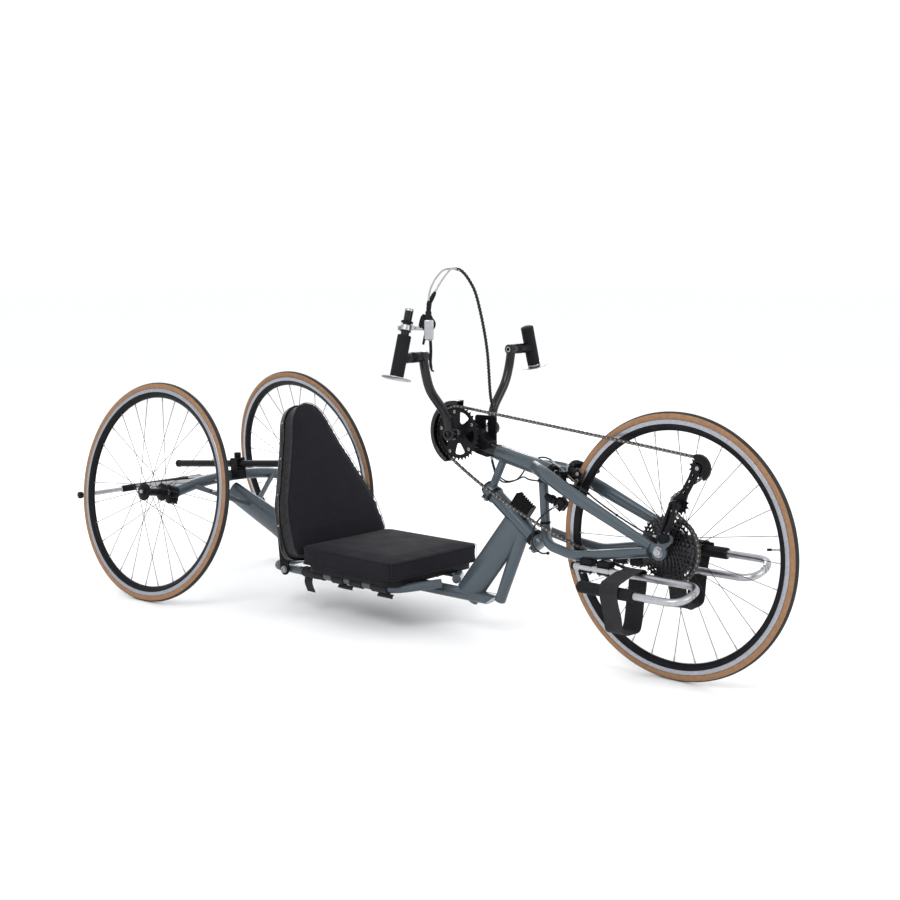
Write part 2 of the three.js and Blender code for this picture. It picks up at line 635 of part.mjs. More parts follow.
// Axle clamps: each holds its axle stub, which carries the wheel
const wheelCentre = (sign) => point(0, sign * hubSpacing / 2, rearCentreHeight);
for (const { sign, name } of sides) {
  const outward = axleAxis(sign).multiplyScalar(sign);
  const onAxle = (distance) => wheelCentre(sign).addScaledVector(outward, distance);
  const inner = -rearHub.endLeft - runningGap * 2 - axleClamp.collar;
  const seatCentre = onAxle(inner);
  const body = rod(onAxle(inner - axleClamp.length), seatCentre, axleClamp.radius, facets.large);
  const lobe = rod(
    onAxle(inner - axleClamp.length).addScaledVector(Z, -axleClamp.lobeDrop),
    seatCentre.clone().addScaledVector(Z, -axleClamp.lobeDrop), axleClamp.lobe, facets.small);
  const collar = rod(
    onAxle(inner - cutOverrun), onAxle(-rearHub.endLeft - runningGap),
    axleClamp.axleRadius * hingeShares.collar,
    facets.middle,
  );
  const stub = rod(
    onAxle(inner - cutOverrun), onAxle(axleClamp.axleLength / 2), axleClamp.axleRadius, facets.middle,
  );
  addMesh(`axle_clamp_${name}`, join(cut(join(body, lobe), crossCutter), collar, stub), blackMetal);
}

// Safety bar behind the wheels, with its two stays to the cross tube
const barAt = (side) => point(safetyBar.x, side, safetyBar.height);
const bar = rod(barAt(-safetyBar.endSide), barAt(safetyBar.endSide), safetyBar.tubeRadius, facets.small);
const sleeve = rod(
  barAt(-safetyBar.sleeveSide), barAt(safetyBar.sleeveSide), safetyBar.sleeveRadius, facets.middle,
);
const barParts = sides.flatMap(({ sign }) => [
  rod(
    barAt(sign * safetyBar.endSide), barAt(sign * (safetyBar.endSide + safetyBar.plugLength)),
    safetyBar.plugRadius, facets.middle,
  ),
  cut(tube([
    point(crossTube.radius / 2, sign * safetyBar.staySide, crossTube.midHeight),
    barAt(sign * safetyBar.staySide),
  ],
    safetyBar.stayRadius), crossCutter),
]);
addMesh("safety_bar", join(bar, sleeve, ...barParts), silver);

// Recline bar with the clamp that it slides through
const barHeight = (x) => reclineBar.rearHeight + reclineSlopeShare * (x - reclineBar.rearX);
const barPoint = (x) => point(x, 0, barHeight(x));
const clampX = reclineClamp.x + reclineClamp.base;
const clampTop = barHeight(clampX) + reclineBar.radius + reclineClamp.boreGap + reclineClamp.wall;
const clampFoot = spine.rearHeight;
const clampLength = reclineClamp.width;
const slotReach = clampLength;
const barSlope = Math.atan(reclineSlopeShare);
const pedestal = block(
  clampLength, reclineClamp.width, clampTop - clampFoot, point(clampX, 0, (clampTop + clampFoot) / 2),
);
const boreSolids = [0, -reclineClamp.slot].map((drop) => rod(
  barPoint(clampX - slotReach).addScaledVector(Z, drop),
  barPoint(clampX + slotReach).addScaledVector(Z, drop),
  reclineBar.radius + runningGap, facets.large));
const slotBlock = block(slotReach * 2, (reclineBar.radius + runningGap) * 2, reclineClamp.slot,
  barPoint(clampX).addScaledVector(Z, -reclineClamp.slot / 2), barSlope);
const knob = rod(
  point(clampX, 0, clampTop - gap), point(clampX, 0, clampTop + reclineClamp.knobLength),
  reclineClamp.knobRadius, facets.small,
);
addMesh(
  "recline_clamp", join(cut(pedestal, spineCutter, crossCutter, ...boreSolids, slotBlock), knob), blackMetal,
);

const pinX = reclineBar.pinX;
const pinPoint = barPoint(pinX);
const lug = rod(pinPoint.clone().addScaledVector(Y, -reclineBar.lugWidth / 2),
  pinPoint.clone().addScaledVector(Y, reclineBar.lugWidth / 2), reclineBar.lugRadius, facets.small);
const pinBore = rod(
  pinPoint.clone().addScaledVector(Y, -reclineBar.lugWidth),
  pinPoint.clone().addScaledVector(Y, reclineBar.lugWidth),
  backrest.pinRadius + runningGap, facets.middle);
const endCap = rod(
  barPoint(reclineBar.rearX - reclineBar.radius), barPoint(reclineBar.rearX),
  reclineBar.radius + reclineBar.capLip, facets.middle,
);
addMesh(
  "recline_bar",
  cut(
    join(rod(barPoint(reclineBar.rearX), pinPoint, reclineBar.radius, facets.middle), endCap, lug), pinBore,
  ),
  blackMetal,
);

// Steering damper: a ribbed block saddled on the head tube
const damperFrom = headTube.radius * smallShare;
const damperAngle = Math.atan2(steeringDown.z, steeringDown.x);
const damperBlock = (along, length, inset) => {
  const top = damper.lift + damper.height - inset;
  const middle = alongSteering(along).addScaledVector(steeringOut, (damperFrom + top) / 2);
  return block(length, damper.width - inset * 2, top - damperFrom, middle, damperAngle);
};
const damperParts = [damperBlock(damper.along, damper.length, damper.ribDepth)];
for (let i = 0; i < damper.ribs; i++) {
  const along = damper.along + (i - (damper.ribs - 1) / 2) * damper.length / damper.ribs;
  damperParts.push(damperBlock(along, damper.length / damper.ribs / 2, 0));
}
addMesh("steering_damper", largest(cut(join(...damperParts), headCutter)), blackPlastic);

// Seat pan with its strap bands round the rails, and the seat cushion on it
function roundedOutline(length, width, corner, perCorner = 5) {
  const points = [];
  const centres = [[1, 1, 0], [-1, 1, 1], [-1, -1, 2], [1, -1, 3]];
  for (const [sx, sy, quarter] of centres) {
    for (let i = 0; i <= perCorner; i++) {
      const angle = (quarter + i / perCorner) * Math.PI / 2;
      points.push([
        sx * (length / 2 - corner) + corner * Math.cos(angle),
        sy * (width / 2 - corner) + corner * Math.sin(angle),
      ]);
    }
  }
  return points;
}

function normalsOf(points) {
  return points.map((_, i) => {
    const a = points[(i + points.length - 1) % points.length];
    const b = points[(i + 1) % points.length];
    const size = Math.hypot(b[0] - a[0], b[1] - a[1]);
    return [(b[1] - a[1]) / size, (a[0] - b[0]) / size];
  });
}

// Rings of one outline: each level is [inset in millimetres, share of the way to the middle, height].
function slab(points, levels, toWorld) {
  const normals = normalsOf(points);
  const middle = points.reduce(
    (sum, p) => [sum[0] + p[0] / points.length, sum[1] + p[1] / points.length], [0, 0],
  );
  return loft(levels.map(([inset, share, height]) => points.map((p, i) => {
    const x = p[0] - normals[i][0] * inset;
    const y = p[1] - normals[i][1] * inset;
    return toWorld(lerp(x, middle[0], share), lerp(y, middle[1], share), height);
  })));
}

const cushionLevels = (depth, crown, waist, soft) => [
  [soft, cushionShares.foot, 0], [soft, 0, 0], [0, 0, soft * cushionShares.lowRoll], [waist, 0, depth / 2],
  [0, 0, depth - soft * cushionShares.highRoll],
  [soft * cushionShares.shoulder, 0, depth - soft * cushionShares.shoulderDrop],
  [soft * cushionShares.shoulderInset, 0, depth], [0, cushionShares.crownRim, depth + crown * slimShare],
  [0, cushionShares.crownMiddle, depth + crown],
];

const seatMiddle = (seat.frontX + seat.rearX) / 2;
const seatOutline = roundedOutline(seat.frontX - seat.rearX, seat.halfWidth * 2, seat.corner);
addMesh("seat_cushion", slab(seatOutline, cushionLevels(seat.thickness, seat.crown, seat.waist, seat.roll),
  (x, y, z) => point(seatMiddle + x, y, seat.bottom + z)), fabric);

const panBottom = seatRails.height + seatRails.radius + gap;
const panTop = seat.bottom - gap;
const panOutline = roundedOutline(
  seat.frontX - seat.rearX - sling.inset * 2, (seat.halfWidth - sling.inset) * 2, sling.corner,
);
const pan = slab(panOutline, [[0, 0, panBottom], [0, 0, panTop]], (x, y, z) => point(seatMiddle + x, y, z));
const bands = [];
for (let i = 0; i < sling.strapCount; i++) {
  const x = lerp(sling.firstX, sling.lastX, i / (sling.strapCount - 1));
  for (const { sign } of sides) {
    const from = point(x - sling.strapWidth / 2, sign * seatRails.side, seatRails.height);
    const to = point(x + sling.strapWidth / 2, sign * seatRails.side, seatRails.height);
    bands.push(rod(from, to, seatRails.radius + gap + sling.strapWall, facets.fine));
  }
}
addMesh("seat_sling", cut(join(pan, ...bands), railCutter), blackPlastic);

// Backrest: cushion in a tray shell, hinged on the seat rails
const leanUp = point(-Math.sin(backrest.recline), 0, Math.cos(backrest.recline));
const leanBack = point(-Math.cos(backrest.recline), 0, -Math.sin(backrest.recline));
const backPoint = (side, up, back) => point(backrest.faceX, side, backrest.faceHeight)
  .addScaledVector(leanUp, up).addScaledVector(leanBack, back);
const backSide = backShares.map(([side, up]) => [side * backrest.halfWidth, up * backrest.length]);
const backCurve = new THREE.CatmullRomCurve3([
  ...backSide.map(([side, up]) => point(side, up, 0)),
  ...backSide.slice(1, -1).reverse().map(([side, up]) => point(-side, up, 0)),
], true, "centripetal");
const backOutline = backCurve.getSpacedPoints(backrest.outlineSteps).slice(0, -1).map((p) => [p.x, p.y]);
const backCushionLevels = cushionLevels(backrest.thickness, backrest.crown, backrest.waist, backrest.roll)
  .map(([inset, share, height]) => [inset, share, backrest.thickness - height]);
addMesh("backrest_cushion", slab(backOutline, backCushionLevels, backPoint), fabric);

const shellBack = backrest.thickness + backrest.shellGap + backrest.shellThickness;
const shellOuter = slab(backOutline, [[
  -backrest.lipWall - gap * 2, 0, backrest.thickness - backrest.shellLip,
],
  [-backrest.lipWall - gap * 2, 0, shellBack - backrest.shellThickness * smallShare],
  [backrest.shellThickness / 2, 0, shellBack]], backPoint);
const shellInner = slab(backOutline, [[-gap * 2, 0, backrest.thickness - backrest.shellLip - cutOverrun],
  [-gap * 2, 0, backrest.thickness + backrest.shellGap / 2]], backPoint);
const bracketFoot = point(backrest.pivotX, 0, backrest.pivotHeight);
const plateAt = (p) => [p.x, p.z];
const bracketShape = outline([
  ...Array.from({ length: facets.small + 1 }, (_, i) => {
    const angle = Math.PI + i / facets.small * Math.PI;
    return [
      bracketFoot.x + backrest.bracketRadius * Math.cos(angle),
      bracketFoot.z + backrest.bracketRadius * Math.sin(angle),
    ];
  }),
  plateAt(backPoint(
    0, backrest.bracketLow, backrest.thickness + backrest.shellGap + backrest.shellThickness / 2
  )),
  plateAt(backPoint(
    0, backrest.bracketHigh, backrest.thickness + backrest.shellGap + backrest.shellThickness / 2
  )),
  plateAt(backPoint(0, backrest.bracketHigh, backrest.thickness + backrest.bracketDepth)),
]);
const brackets = sides.flatMap(({ sign }) => {
  const near = sign * backrest.bracketSide;
  const far = sign * (backrest.bracketSide + backrest.bracketWidth);
  const head = far + sign * backrest.bracketWidth;
  const atPivot = (side) => bracketFoot.clone().setY(side);
  return [
    upright(bracketShape, Math.min(near, far), Math.max(near, far)),
    rod(atPivot(far - sign * gap), atPivot(head), backrest.pinRadius * hingeShares.pinHead, facets.fine),
    rod(atPivot(sign * (seatRails.side - seatRails.radius)), atPivot(far), backrest.pinRadius, facets.small),
  ];
});
const clevis = sides.flatMap(({ sign }) => {
  const near = sign * (reclineBar.lugWidth / 2 + runningGap);
  const far = near + sign * backrest.bracketWidth;
  const up = pinPoint.clone().sub(backPoint(0, 0, 0)).dot(leanUp);
  const back = pinPoint.clone().sub(backPoint(0, 0, 0)).dot(leanBack);
  const reach = reclineBar.lugRadius;
  const plate = outline([
    plateAt(backPoint(0, up - reach, shellBack - backrest.shellThickness / 2)),
    plateAt(backPoint(0, up + reach, shellBack - backrest.shellThickness / 2)),
    plateAt(backPoint(0, up + reach * hingeShares.lugCorner, back + reach * hingeShares.lugCorner)),
    plateAt(backPoint(0, up, back + reach)),
    plateAt(backPoint(0, up - reach * hingeShares.lugCorner, back + reach * hingeShares.lugCorner)),
  ]);
  return [upright(plate, Math.min(near, far), Math.max(near, far))];
});
const pin = rod(
  pinPoint.clone().addScaledVector(Y, -reclineBar.lugWidth),
  pinPoint.clone().addScaledVector(Y, reclineBar.lugWidth),
  backrest.pinRadius, facets.small);
addMesh("backrest_shell", join(cut(shellOuter, shellInner), ...brackets, ...clevis, pin), blackMetal);

// Boom with the crank housing plugged into its rear end
const boomRear = point(boom.rearX, 0, boom.rearHeight);
const boomFront = point(boom.frontX, 0, boom.frontHeight);
const boomWay = boomFront.clone().sub(boomRear).normalize();
const onBoom = (distance) => boomRear.clone().addScaledVector(boomWay, distance);
const boomLength = boomRear.distanceTo(boomFront);
const boomBlank = join(
  rod(boomRear, boomFront, boom.radius, facets.large),
  rod(onBoom(boomLength - gap), onBoom(boomLength + boom.plugLength), boom.plugRadius, facets.large),
);
const boomSocket = rod(onBoom(-cutOverrun), onBoom(boom.socket), insert.radius + gap, facets.large);
const boomCutter = rod(
  onBoom(-gap), onBoom(boomLength + boom.plugLength + gap), boom.radius + gap, facets.large,
);
addMesh("boom", cut(boomBlank, boomSocket), paint);

const crankCentre = point(crankAxis.x, 0, crankAxis.height);
const atCrank = (side) => crankCentre.clone().setY(side);
const insertRear = onBoom(insert.rearX - boom.rearX);
const insertUp = point(-boomWay.z, 0, boomWay.x);
const shell = rod(atCrank(-insert.shellHalf), atCrank(insert.shellHalf), insert.shellRadius, facets.large);
const housingShape = outline([
  [
    crankCentre.x - insert.shellRadius * housingShares.under,
    crankCentre.z - insert.shellRadius * housingShares.low,
  ],
  plateAt(insertRear.clone().addScaledVector(insertUp, -insert.radius)),
  plateAt(
    insertRear.clone().addScaledVector(insertUp, -insert.radius).addScaledVector(boomWay, insert.blockLength)
  ),
  plateAt(
    insertRear.clone().addScaledVector(insertUp, insert.radius).addScaledVector(boomWay, insert.blockLength)
  ),
  [crankCentre.x + insert.shellRadius, crankCentre.z + insert.shellRadius * housingShares.high],
  [crankCentre.x, crankCentre.z + insert.shellRadius * housingShares.high],
]);
const housing = upright(housingShape, -insert.blockHalf, insert.blockHalf);
const insertRod = rod(insertRear, onBoom(boom.socket - gap), insert.radius, facets.large);
const guardRing = (inner, outer, from, to) => {
  const shape = new THREE.Shape();
  shape.absarc(crankCentre.x, -crankCentre.z, outer, -guard.toAngle, -guard.fromAngle, false);
  shape.absarc(crankCentre.x, -crankCentre.z, inner, -guard.fromAngle, -guard.toAngle, true);
  const plate = new THREE.ExtrudeGeometry(
    shape, { depth: to - from, bevelEnabled: false, curveSegments: facets.small },
  );
  plate.rotateX(-Math.PI / 2);
  const solid = toSolid(plate);
  return solid.translate([0, from - solid.boundingBox().min[1], 0]);
};
const guardParts = [
  guardRing(guard.inner, guard.inner + guard.wall, -guard.outerSide, -guard.innerSide),
  guardRing(
    guard.inner - guard.lip, guard.inner + guard.wall, -guard.outerSide, -guard.outerSide + guard.lipWall,
  ),
  guardRing(
    guard.plateRadius - insert.shellRadius, guard.inner + guard.wall, -guard.innerSide - gap,
    -guard.innerSide + guard.plateWall,
  ),
];
const bracketPlate = upright(outline([
  [cableBracket.rearX, cableBracket.low + cableBracket.corner],
  [cableBracket.rearX + cableBracket.corner, cableBracket.low],
  [cableBracket.frontX - cableBracket.corner, cableBracket.low],
  [cableBracket.frontX, cableBracket.low + cableBracket.corner],
  [cableBracket.frontX, cableBracket.high - cableBracket.corner],
  [cableBracket.frontX - cableBracket.corner, cableBracket.high],
  [cableBracket.rearX + cableBracket.corner, cableBracket.high],
  [cableBracket.rearX, cableBracket.high - cableBracket.corner],
]), insert.blockHalf - gap, insert.blockHalf + cableBracket.wall);
const bracketSlot = block(
  cableBracket.slotWidth, cableBracket.wall * 4, cableBracket.slotHigh - cableBracket.slotLow, point(
  cableBracket.slotX + cableBracket.slotWidth / 2, insert.blockHalf + cableBracket.wall * 2 + gap,
  (cableBracket.slotLow + cableBracket.slotHigh) / 2,
));
const spindleBore = rod(
  atCrank(-insert.shellHalf * 2), atCrank(insert.shellHalf * 2), crank.spindleRadius + runningGap,
  facets.large,
);
const bracketSolid = cut(bracketPlate, bracketSlot);
addMesh(
  "crank_housing", cut(join(shell, housing, insertRod, bracketSolid, ...guardParts), spindleBore),
  blackMetal,
);

// Fork: upper legs with the dropouts, lower arms, the two struts and the steerer
const legPath = (sign) => [
  point(leg.startX, sign * leg.startSide, leg.startHeight),
  point(leg.bendX, sign * leg.bendSide, leg.bendHeight),
  point(leg.wideX, sign * leg.wideSide, leg.wideHeight), point(leg.endX, sign * leg.endSide, leg.endHeight),
];
const legTube = (sign, grow) => tube(legPath(sign), [
  leg.halfWidth, leg.halfWidth, leg.halfWidth, leg.endHalfWidth,
], {
  halfDepth: [leg.halfDepth, leg.halfDepth, leg.halfDepth, leg.endHalfDepth], bend: leg.bend,
  count: facets.middle, grow,
});
const hanger = point(hangerBolt.x, 0, hangerBolt.height);
const dropoutPlate = (sign, grow) => {
  const near = dropout.inner - grow;
  const far = dropout.inner + dropout.thickness + grow;
  const at = (centre, side) => centre.clone().setY(sign * side);
  const plates = [rod(at(frontCentre, near), at(frontCentre, far), dropout.radius + grow, facets.large)];
  if (sign < 0) {
    plates.push(rod(at(hanger, near), at(hanger, far), dropout.hangerRadius + grow, facets.middle));
  }
  return join(...plates);
};
const legCutters = {};
for (const { sign, name } of sides) {
  const axleBore = rod(
    frontCentre.clone().setY(sign * leg.bendSide), frontCentre.clone().setY(sign * crank.endSide),
    frontAxle.radius + gap, facets.middle,
  );
  const hangerBore = rod(
    hanger.clone().setY(sign * leg.bendSide), hanger.clone().setY(sign * crank.endSide),
    derailleur.boltRadius + gap, facets.small,
  );
  const blank = join(cut(legTube(sign, 0), boomCutter), dropoutPlate(sign, 0));
  const bores = sign < 0 ? [axleBore, hangerBore] : [axleBore];
  addMesh(`fork_leg_${name}`, largest(cut(blank, ...bores)), paint);
  legCutters[name] = join(legTube(sign, gap), dropoutPlate(sign, gap));
}

const crownMiddle = alongSteering(steeringLength - headTube.bottomOffset + gap + steererClamp.half);
const clampRing = (middle, grow) => rod(
  middle.clone().addScaledVector(steeringDown, -steererClamp.half),
  middle.clone().addScaledVector(steeringDown, steererClamp.half),
  steererClamp.radius + grow, facets.large);
const ears = (middle, way) => rod(
  middle.clone().addScaledVector(Y, -steererClamp.earWidth).addScaledVector(
    way, steererClamp.radius + steererClamp.boltRadius / 2,
  ),
  middle.clone().addScaledVector(Y, steererClamp.earWidth).addScaledVector(
    way, steererClamp.radius + steererClamp.boltRadius / 2,
  ),
  steererClamp.boltRadius + cutOverrun, facets.small);
const postPath = [
  point(strutPost.topX, 0, onBoom(strutPost.topX - boom.rearX).z),
  point(strutPost.bottomX, 0, strutPost.bottomHeight), crownMiddle,
];
const postShape = cut(tube(postPath, strutPost.radius, { count: facets.middle }), boomCutter);
const steerer = rod(alongSteering(-steererClamp.half), crownMiddle, steererRadius, facets.large);
const crownShape = join(clampRing(crownMiddle, 0), ears(crownMiddle, steeringOut.clone().negate()), steerer);
const crownCut = cut(join(postShape, crownShape), ...sides.map(({ name }) => legCutters[name]));
addMesh("crown_strut", largest(crownCut), paint);

const topMiddle = alongSteering(headTube.topOffset - gap - steererClamp.half);
const steererCutter = rod(
  alongSteering(-steererClamp.half * 3), crownMiddle, steererRadius + gap, facets.large,
);
const rearPath = [topMiddle, point(rearStrut.topX, 0, onBoom(rearStrut.topX - boom.rearX).z)];
const rearShape = join(
  clampRing(topMiddle, 0), ears(topMiddle, steeringOut.clone().negate()),
  tube(rearPath, rearStrut.radius, { count: facets.middle }),
);
addMesh("rear_strut", largest(cut(rearShape, boomCutter, steererCutter)), paint);

const armPath = (sign) => [
  point(lowerArm.startX, sign * lowerArm.startSide, lowerArm.startHeight),
  point(lowerArm.bendX, sign * lowerArm.bendSide, lowerArm.bendHeight),
  point(lowerArm.flatX, sign * lowerArm.flatSide, lowerArm.flatHeight),
  point(lowerArm.endX, sign * lowerArm.endSide, lowerArm.endHeight),
];
const crownCutter = join(
  clampRing(crownMiddle, gap), tube(postPath, strutPost.radius, { count: facets.middle, grow: gap }),
);
const midPlane = (sign) => block(
  wheelbase, lowerArm.radius * 4, wheelbase,
  point(lowerArm.startX, -sign * (lowerArm.radius * 2 - gap), lowerArm.startHeight),
);
const armTube = (sign, grow) => tube(
  armPath(sign), lowerArm.radius, { bend: lowerArm.bend, count: facets.middle, grow },
);
const hoopLine = (sign, grow) => tube([
  point(footrest.rearX - footrest.blockSpacing * 2, sign * footrest.innerSide, footrest.height),
  point(footrest.frontRightX - footrest.bend, sign * footrest.innerSide, footrest.height),
], footrest.tubeRadius, { count: facets.large, grow });
for (const { sign, name } of sides) {
  const blocks = [0, 1].map((i) => block(footrest.blockHalf * 2, footrest.blockWidth, footrest.blockHeight,
    point(footrest.blockX + i * footrest.blockSpacing, sign * footrest.blockSide, footrest.blockLift)));
  const shape = cut(armTube(sign, 0), crownCutter, legCutters[name], midPlane(sign));
  addMesh(`lower_arm_${name}`, cut(join(largest(shape), ...blocks), hoopLine(sign, gap * 2)), paint);
}

// Front axle with its nut, and the quick release lever on the left
const onFront = (side) => frontCentre.clone().setY(side);
const dropoutFace = dropout.inner + dropout.thickness;
addMesh("front_axle", join(
  rod(
    onFront(-dropoutFace - cutOverrun), onFront(dropoutFace + frontAxle.nutLength), frontAxle.radius,
    facets.middle,
  ),
  rod(
    onFront(-dropoutFace - gap - frontAxle.nutLength), onFront(-dropoutFace - gap), frontAxle.nutRadius,
    facets.middle,
  ),
), silver);
const leverRoot = dropoutFace + frontAxle.nutLength;
const leverBody = join(
  rod(
    onFront(dropoutFace + gap), onFront(leverRoot + frontAxle.leverRadius * 2), frontAxle.nutRadius,
    facets.middle,
  ),
  tube([
    onFront(leverRoot + frontAxle.leverRadius),
    onFront(leverRoot + frontAxle.leverRadius).addScaledVector(X, frontAxle.leverLength),
  ],
    frontAxle.leverRadius, { count: facets.fine }));
addMesh(
  "quick_release_lever",
  cut(leverBody, rod(onFront(0), onFront(leverRoot + gap), frontAxle.radius + gap, facets.middle)),
  blackMetal,
);

// Chain line
const pitchRadius = (teeth) => pitch / 2 / Math.sin(Math.PI / teeth);
const wheels = {
  ring: {
    x: crankAxis.x, z: crankAxis.height, r: pitchRadius(ringTeeth), spin: 1, teeth: ringTeeth,
    side: -ringSide,
  },
  tension: {
    x: tensionPulley.x, z: tensionPulley.height, r: pitchRadius(pulleyTeeth), spin: 1, teeth: pulleyTeeth,
    side: -cogSide,
  },
  guide: {
    x: guidePulley.x, z: guidePulley.height, r: pitchRadius(pulleyTeeth), spin: -1, teeth: pulleyTeeth,
    side: -cogSide,
  },
  cog: { x: wheelbase, z: tyreRadius, r: pitchRadius(cogTeeth), spin: 1, teeth: cogTeeth, side: -cogSide },
};
const heading = (a, b) => {
  const length = Math.hypot(b.x - a.x, b.z - a.z);
  return Math.atan2(b.z - a.z, b.x - a.x) + Math.asin((b.spin * b.r - a.spin * a.r) / length);
};
const touch = (w, angle) => [w.x - w.spin * w.r * Math.sin(angle), w.z + w.spin * w.r * Math.cos(angle)];

// The closed line of the chain as many short steps, starting at the top of the ring.
function chainLine(sag) {
  const { ring, tension, guide, cog } = wheels;
  const top = heading(ring, tension);
  const cross = heading(tension, guide) ;
  const drop = heading(guide, cog);
  const back = heading(cog, ring);
  const line = [];
  const arc = (w, from, to) => {
    const turn = w.spin > 0 ? -((from - to) % tau + tau) % tau : ((to - from) % tau + tau) % tau;
    const count = Math.ceil(Math.abs(turn) * w.r / gap);
    for (let i = 0; i <= count; i++) {
      line.push(touch(w, from + turn * i / count));
    }
  };
  arc(ring, back - sag, top);
  arc(tension, top, cross);
  arc(guide, cross, drop);
  arc(cog, drop, back + sag);
  const from = touch(cog, back + sag);
  const to = touch(ring, back - sag);
  const reach = Math.hypot(to[0] - from[0], to[1] - from[1]) / 3;
  const curve = new THREE.CubicBezierCurve(
    new THREE.Vector2(...from),
    new THREE.Vector2(from[0] + Math.cos(back + sag) * reach, from[1] + Math.sin(back + sag) * reach),
    new THREE.Vector2(to[0] - Math.cos(back - sag) * reach, to[1] - Math.sin(back - sag) * reach),
    new THREE.Vector2(...to),
  );
  const count = Math.ceil(reach * 3 / (gap * 4));
  for (let i = 1; i < count; i++) {
    line.push(curve.getPoint(i / count).toArray());
  }
  return line;
}

// Roller places one pitch apart along the line, and how far the last one is from closing the loop.
function walk(line) {
  const rollers = [line[0]];
  let here = line[0];
  for (let i = 1; i <= line.length; i++) {
    const a = line[i - 1];
    const b = line[i % line.length];
    while (Math.hypot(b[0] - here[0], b[1] - here[1]) >= pitch) {
      const dx = b[0] - a[0];
      const dy = b[1] - a[1];
      const fx = a[0] - here[0];
      const fy = a[1] - here[1];
      const qa = dx * dx + dy * dy;
      const qb = 2 * (fx * dx + fy * dy);
      const qc = fx * fx + fy * fy - pitch * pitch;
      const t = (-qb + Math.sqrt(qb * qb - 4 * qa * qc)) / (2 * qa);
      here = [a[0] + dx * t, a[1] + dy * t];
      rollers.push(here);
    }
  }
  const rest = Math.hypot(line[0][0] - here[0], line[0][1] - here[1]);
  return { rollers, links: rollers.length - 1 + rest / pitch };
}

function solveChain() {
  const wanted = Math.round(walk(chainLine(chainSag)).links / 2) * 2;
  let low = 0;
  let high = chainSag * chainShares.slack;
  for (let i = 0; i < halvings; i++) {
    const middle = (low + high) / 2;
    if (walk(chainLine(middle)).links < wanted) low = middle;
    else high = middle;
  }
  const { rollers } = walk(chainLine(low));
  return rollers.slice(0, wanted);
}

const rollers = solveChain();
const wrapped = (w, [x, z]) => Math.abs(Math.hypot(x - w.x, z - w.z) - w.r) < gap * chainShares.seated;
const chainSide = (x) => lerp(-ringSide, -cogSide,
  THREE.MathUtils.clamp(
    (x - crankAxis.x - wheels.ring.r) / (wheelbase - wheels.cog.r - crankAxis.x - wheels.ring.r), 0, 1,
  ));

const engaged = (p) => Object.values(wheels).some((w) => Math.hypot(p[0] - w.x, p[1] - w.z) < w.r + pitch);

function chainSolid() {
  const count = rollers.length;
  const rings = [];
  for (let i = 0; i < count; i++) {
    const before = rollers[(i + count - 1) % count];
    const here = rollers[i];
    const after = rollers[(i + 1) % count];
    const middle = [(here[0] + after[0]) / 2, (here[1] + after[1]) / 2];
    const spots = [];
    if (engaged(here) || engaged(after)) {
      spots.push([here, before, after, chain.pinHalf], [middle, here, after, chain.waistHalf]);
    } else if (i % chain.plainRun === 0) {
      spots.push([here, before, after, chain.pinHalf]);
    }
    for (const [at, a, b, half] of spots) {
      const size = Math.hypot(b[0] - a[0], b[1] - a[1]);
      const nx = -(b[1] - a[1]) / size * half;
      const nz = (b[0] - a[0]) / size * half;
      const side = chainSide(at[0]);
      rings.push([
        point(at[0] + nx, side - chain.halfWidth, at[1] + nz),
        point(at[0] + nx, side + chain.halfWidth, at[1] + nz),
        point(at[0] - nx, side + chain.halfWidth, at[1] - nz),
        point(at[0] - nx, side - chain.halfWidth, at[1] - nz),
      ]);
    }
  }
  return closedLoft(rings);
}

// A tooth between two rollers, as a tapered block that points away from the wheel's middle.
function toothBlock(w, angle, grow) {
  const out = point(Math.cos(angle), 0, Math.sin(angle));
  const along = point(-Math.sin(angle), 0, Math.cos(angle));
  const centre = point(w.x, w.side, w.z);
  const half = tooth.thickness / 2 + grow;
  const ring = (radius, width) => [[-1, -1], [1, -1], [1, 1], [-1, 1]].map(([a, b]) => centre.clone()
    .addScaledVector(out, radius).addScaledVector(along, a * (width + grow)).addScaledVector(Y, b * half));
  return loft([ring(w.r - tooth.root, tooth.rootHalf), ring(w.r + tooth.tip + grow, tooth.tipHalf)]);
}

const seatedTeeth = (w) => {
  const angles = [];
  for (let i = 0; i < rollers.length; i++) {
    const a = rollers[i];
    const b = rollers[(i + 1) % rollers.length];
    if (wrapped(w, a) || wrapped(w, b)) {
      const p = wrapped(w, a) ? a : b;
      const ahead = wrapped(w, a) ? -w.spin : w.spin;
      angles.push(Math.atan2(p[1] - w.z, p[0] - w.x) + ahead * Math.PI / w.teeth);
    }
  }
  return angles;
};
const phaseOf = (w) => seatedTeeth(w)[0];
const nearTeeth = (w) => Array.from(
  { length: w.teeth }, (_, i) => phaseOf(w) + i / w.teeth * tau,
).filter((angle) => {
  const reach = w.r + tooth.tip;
  const x = w.x + reach * Math.cos(angle);
  const z = w.z + reach * Math.sin(angle);
  return rollers.some((p) => Math.hypot(p[0] - x, p[1] - z) < pitch * engagedShare);
});
const pockets = Object.values(wheels).flatMap((w) => nearTeeth(w).map((angle) => toothBlock(w, angle, gap)));
addMesh("chain", cut(chainSolid(), join(...pockets)), steel);

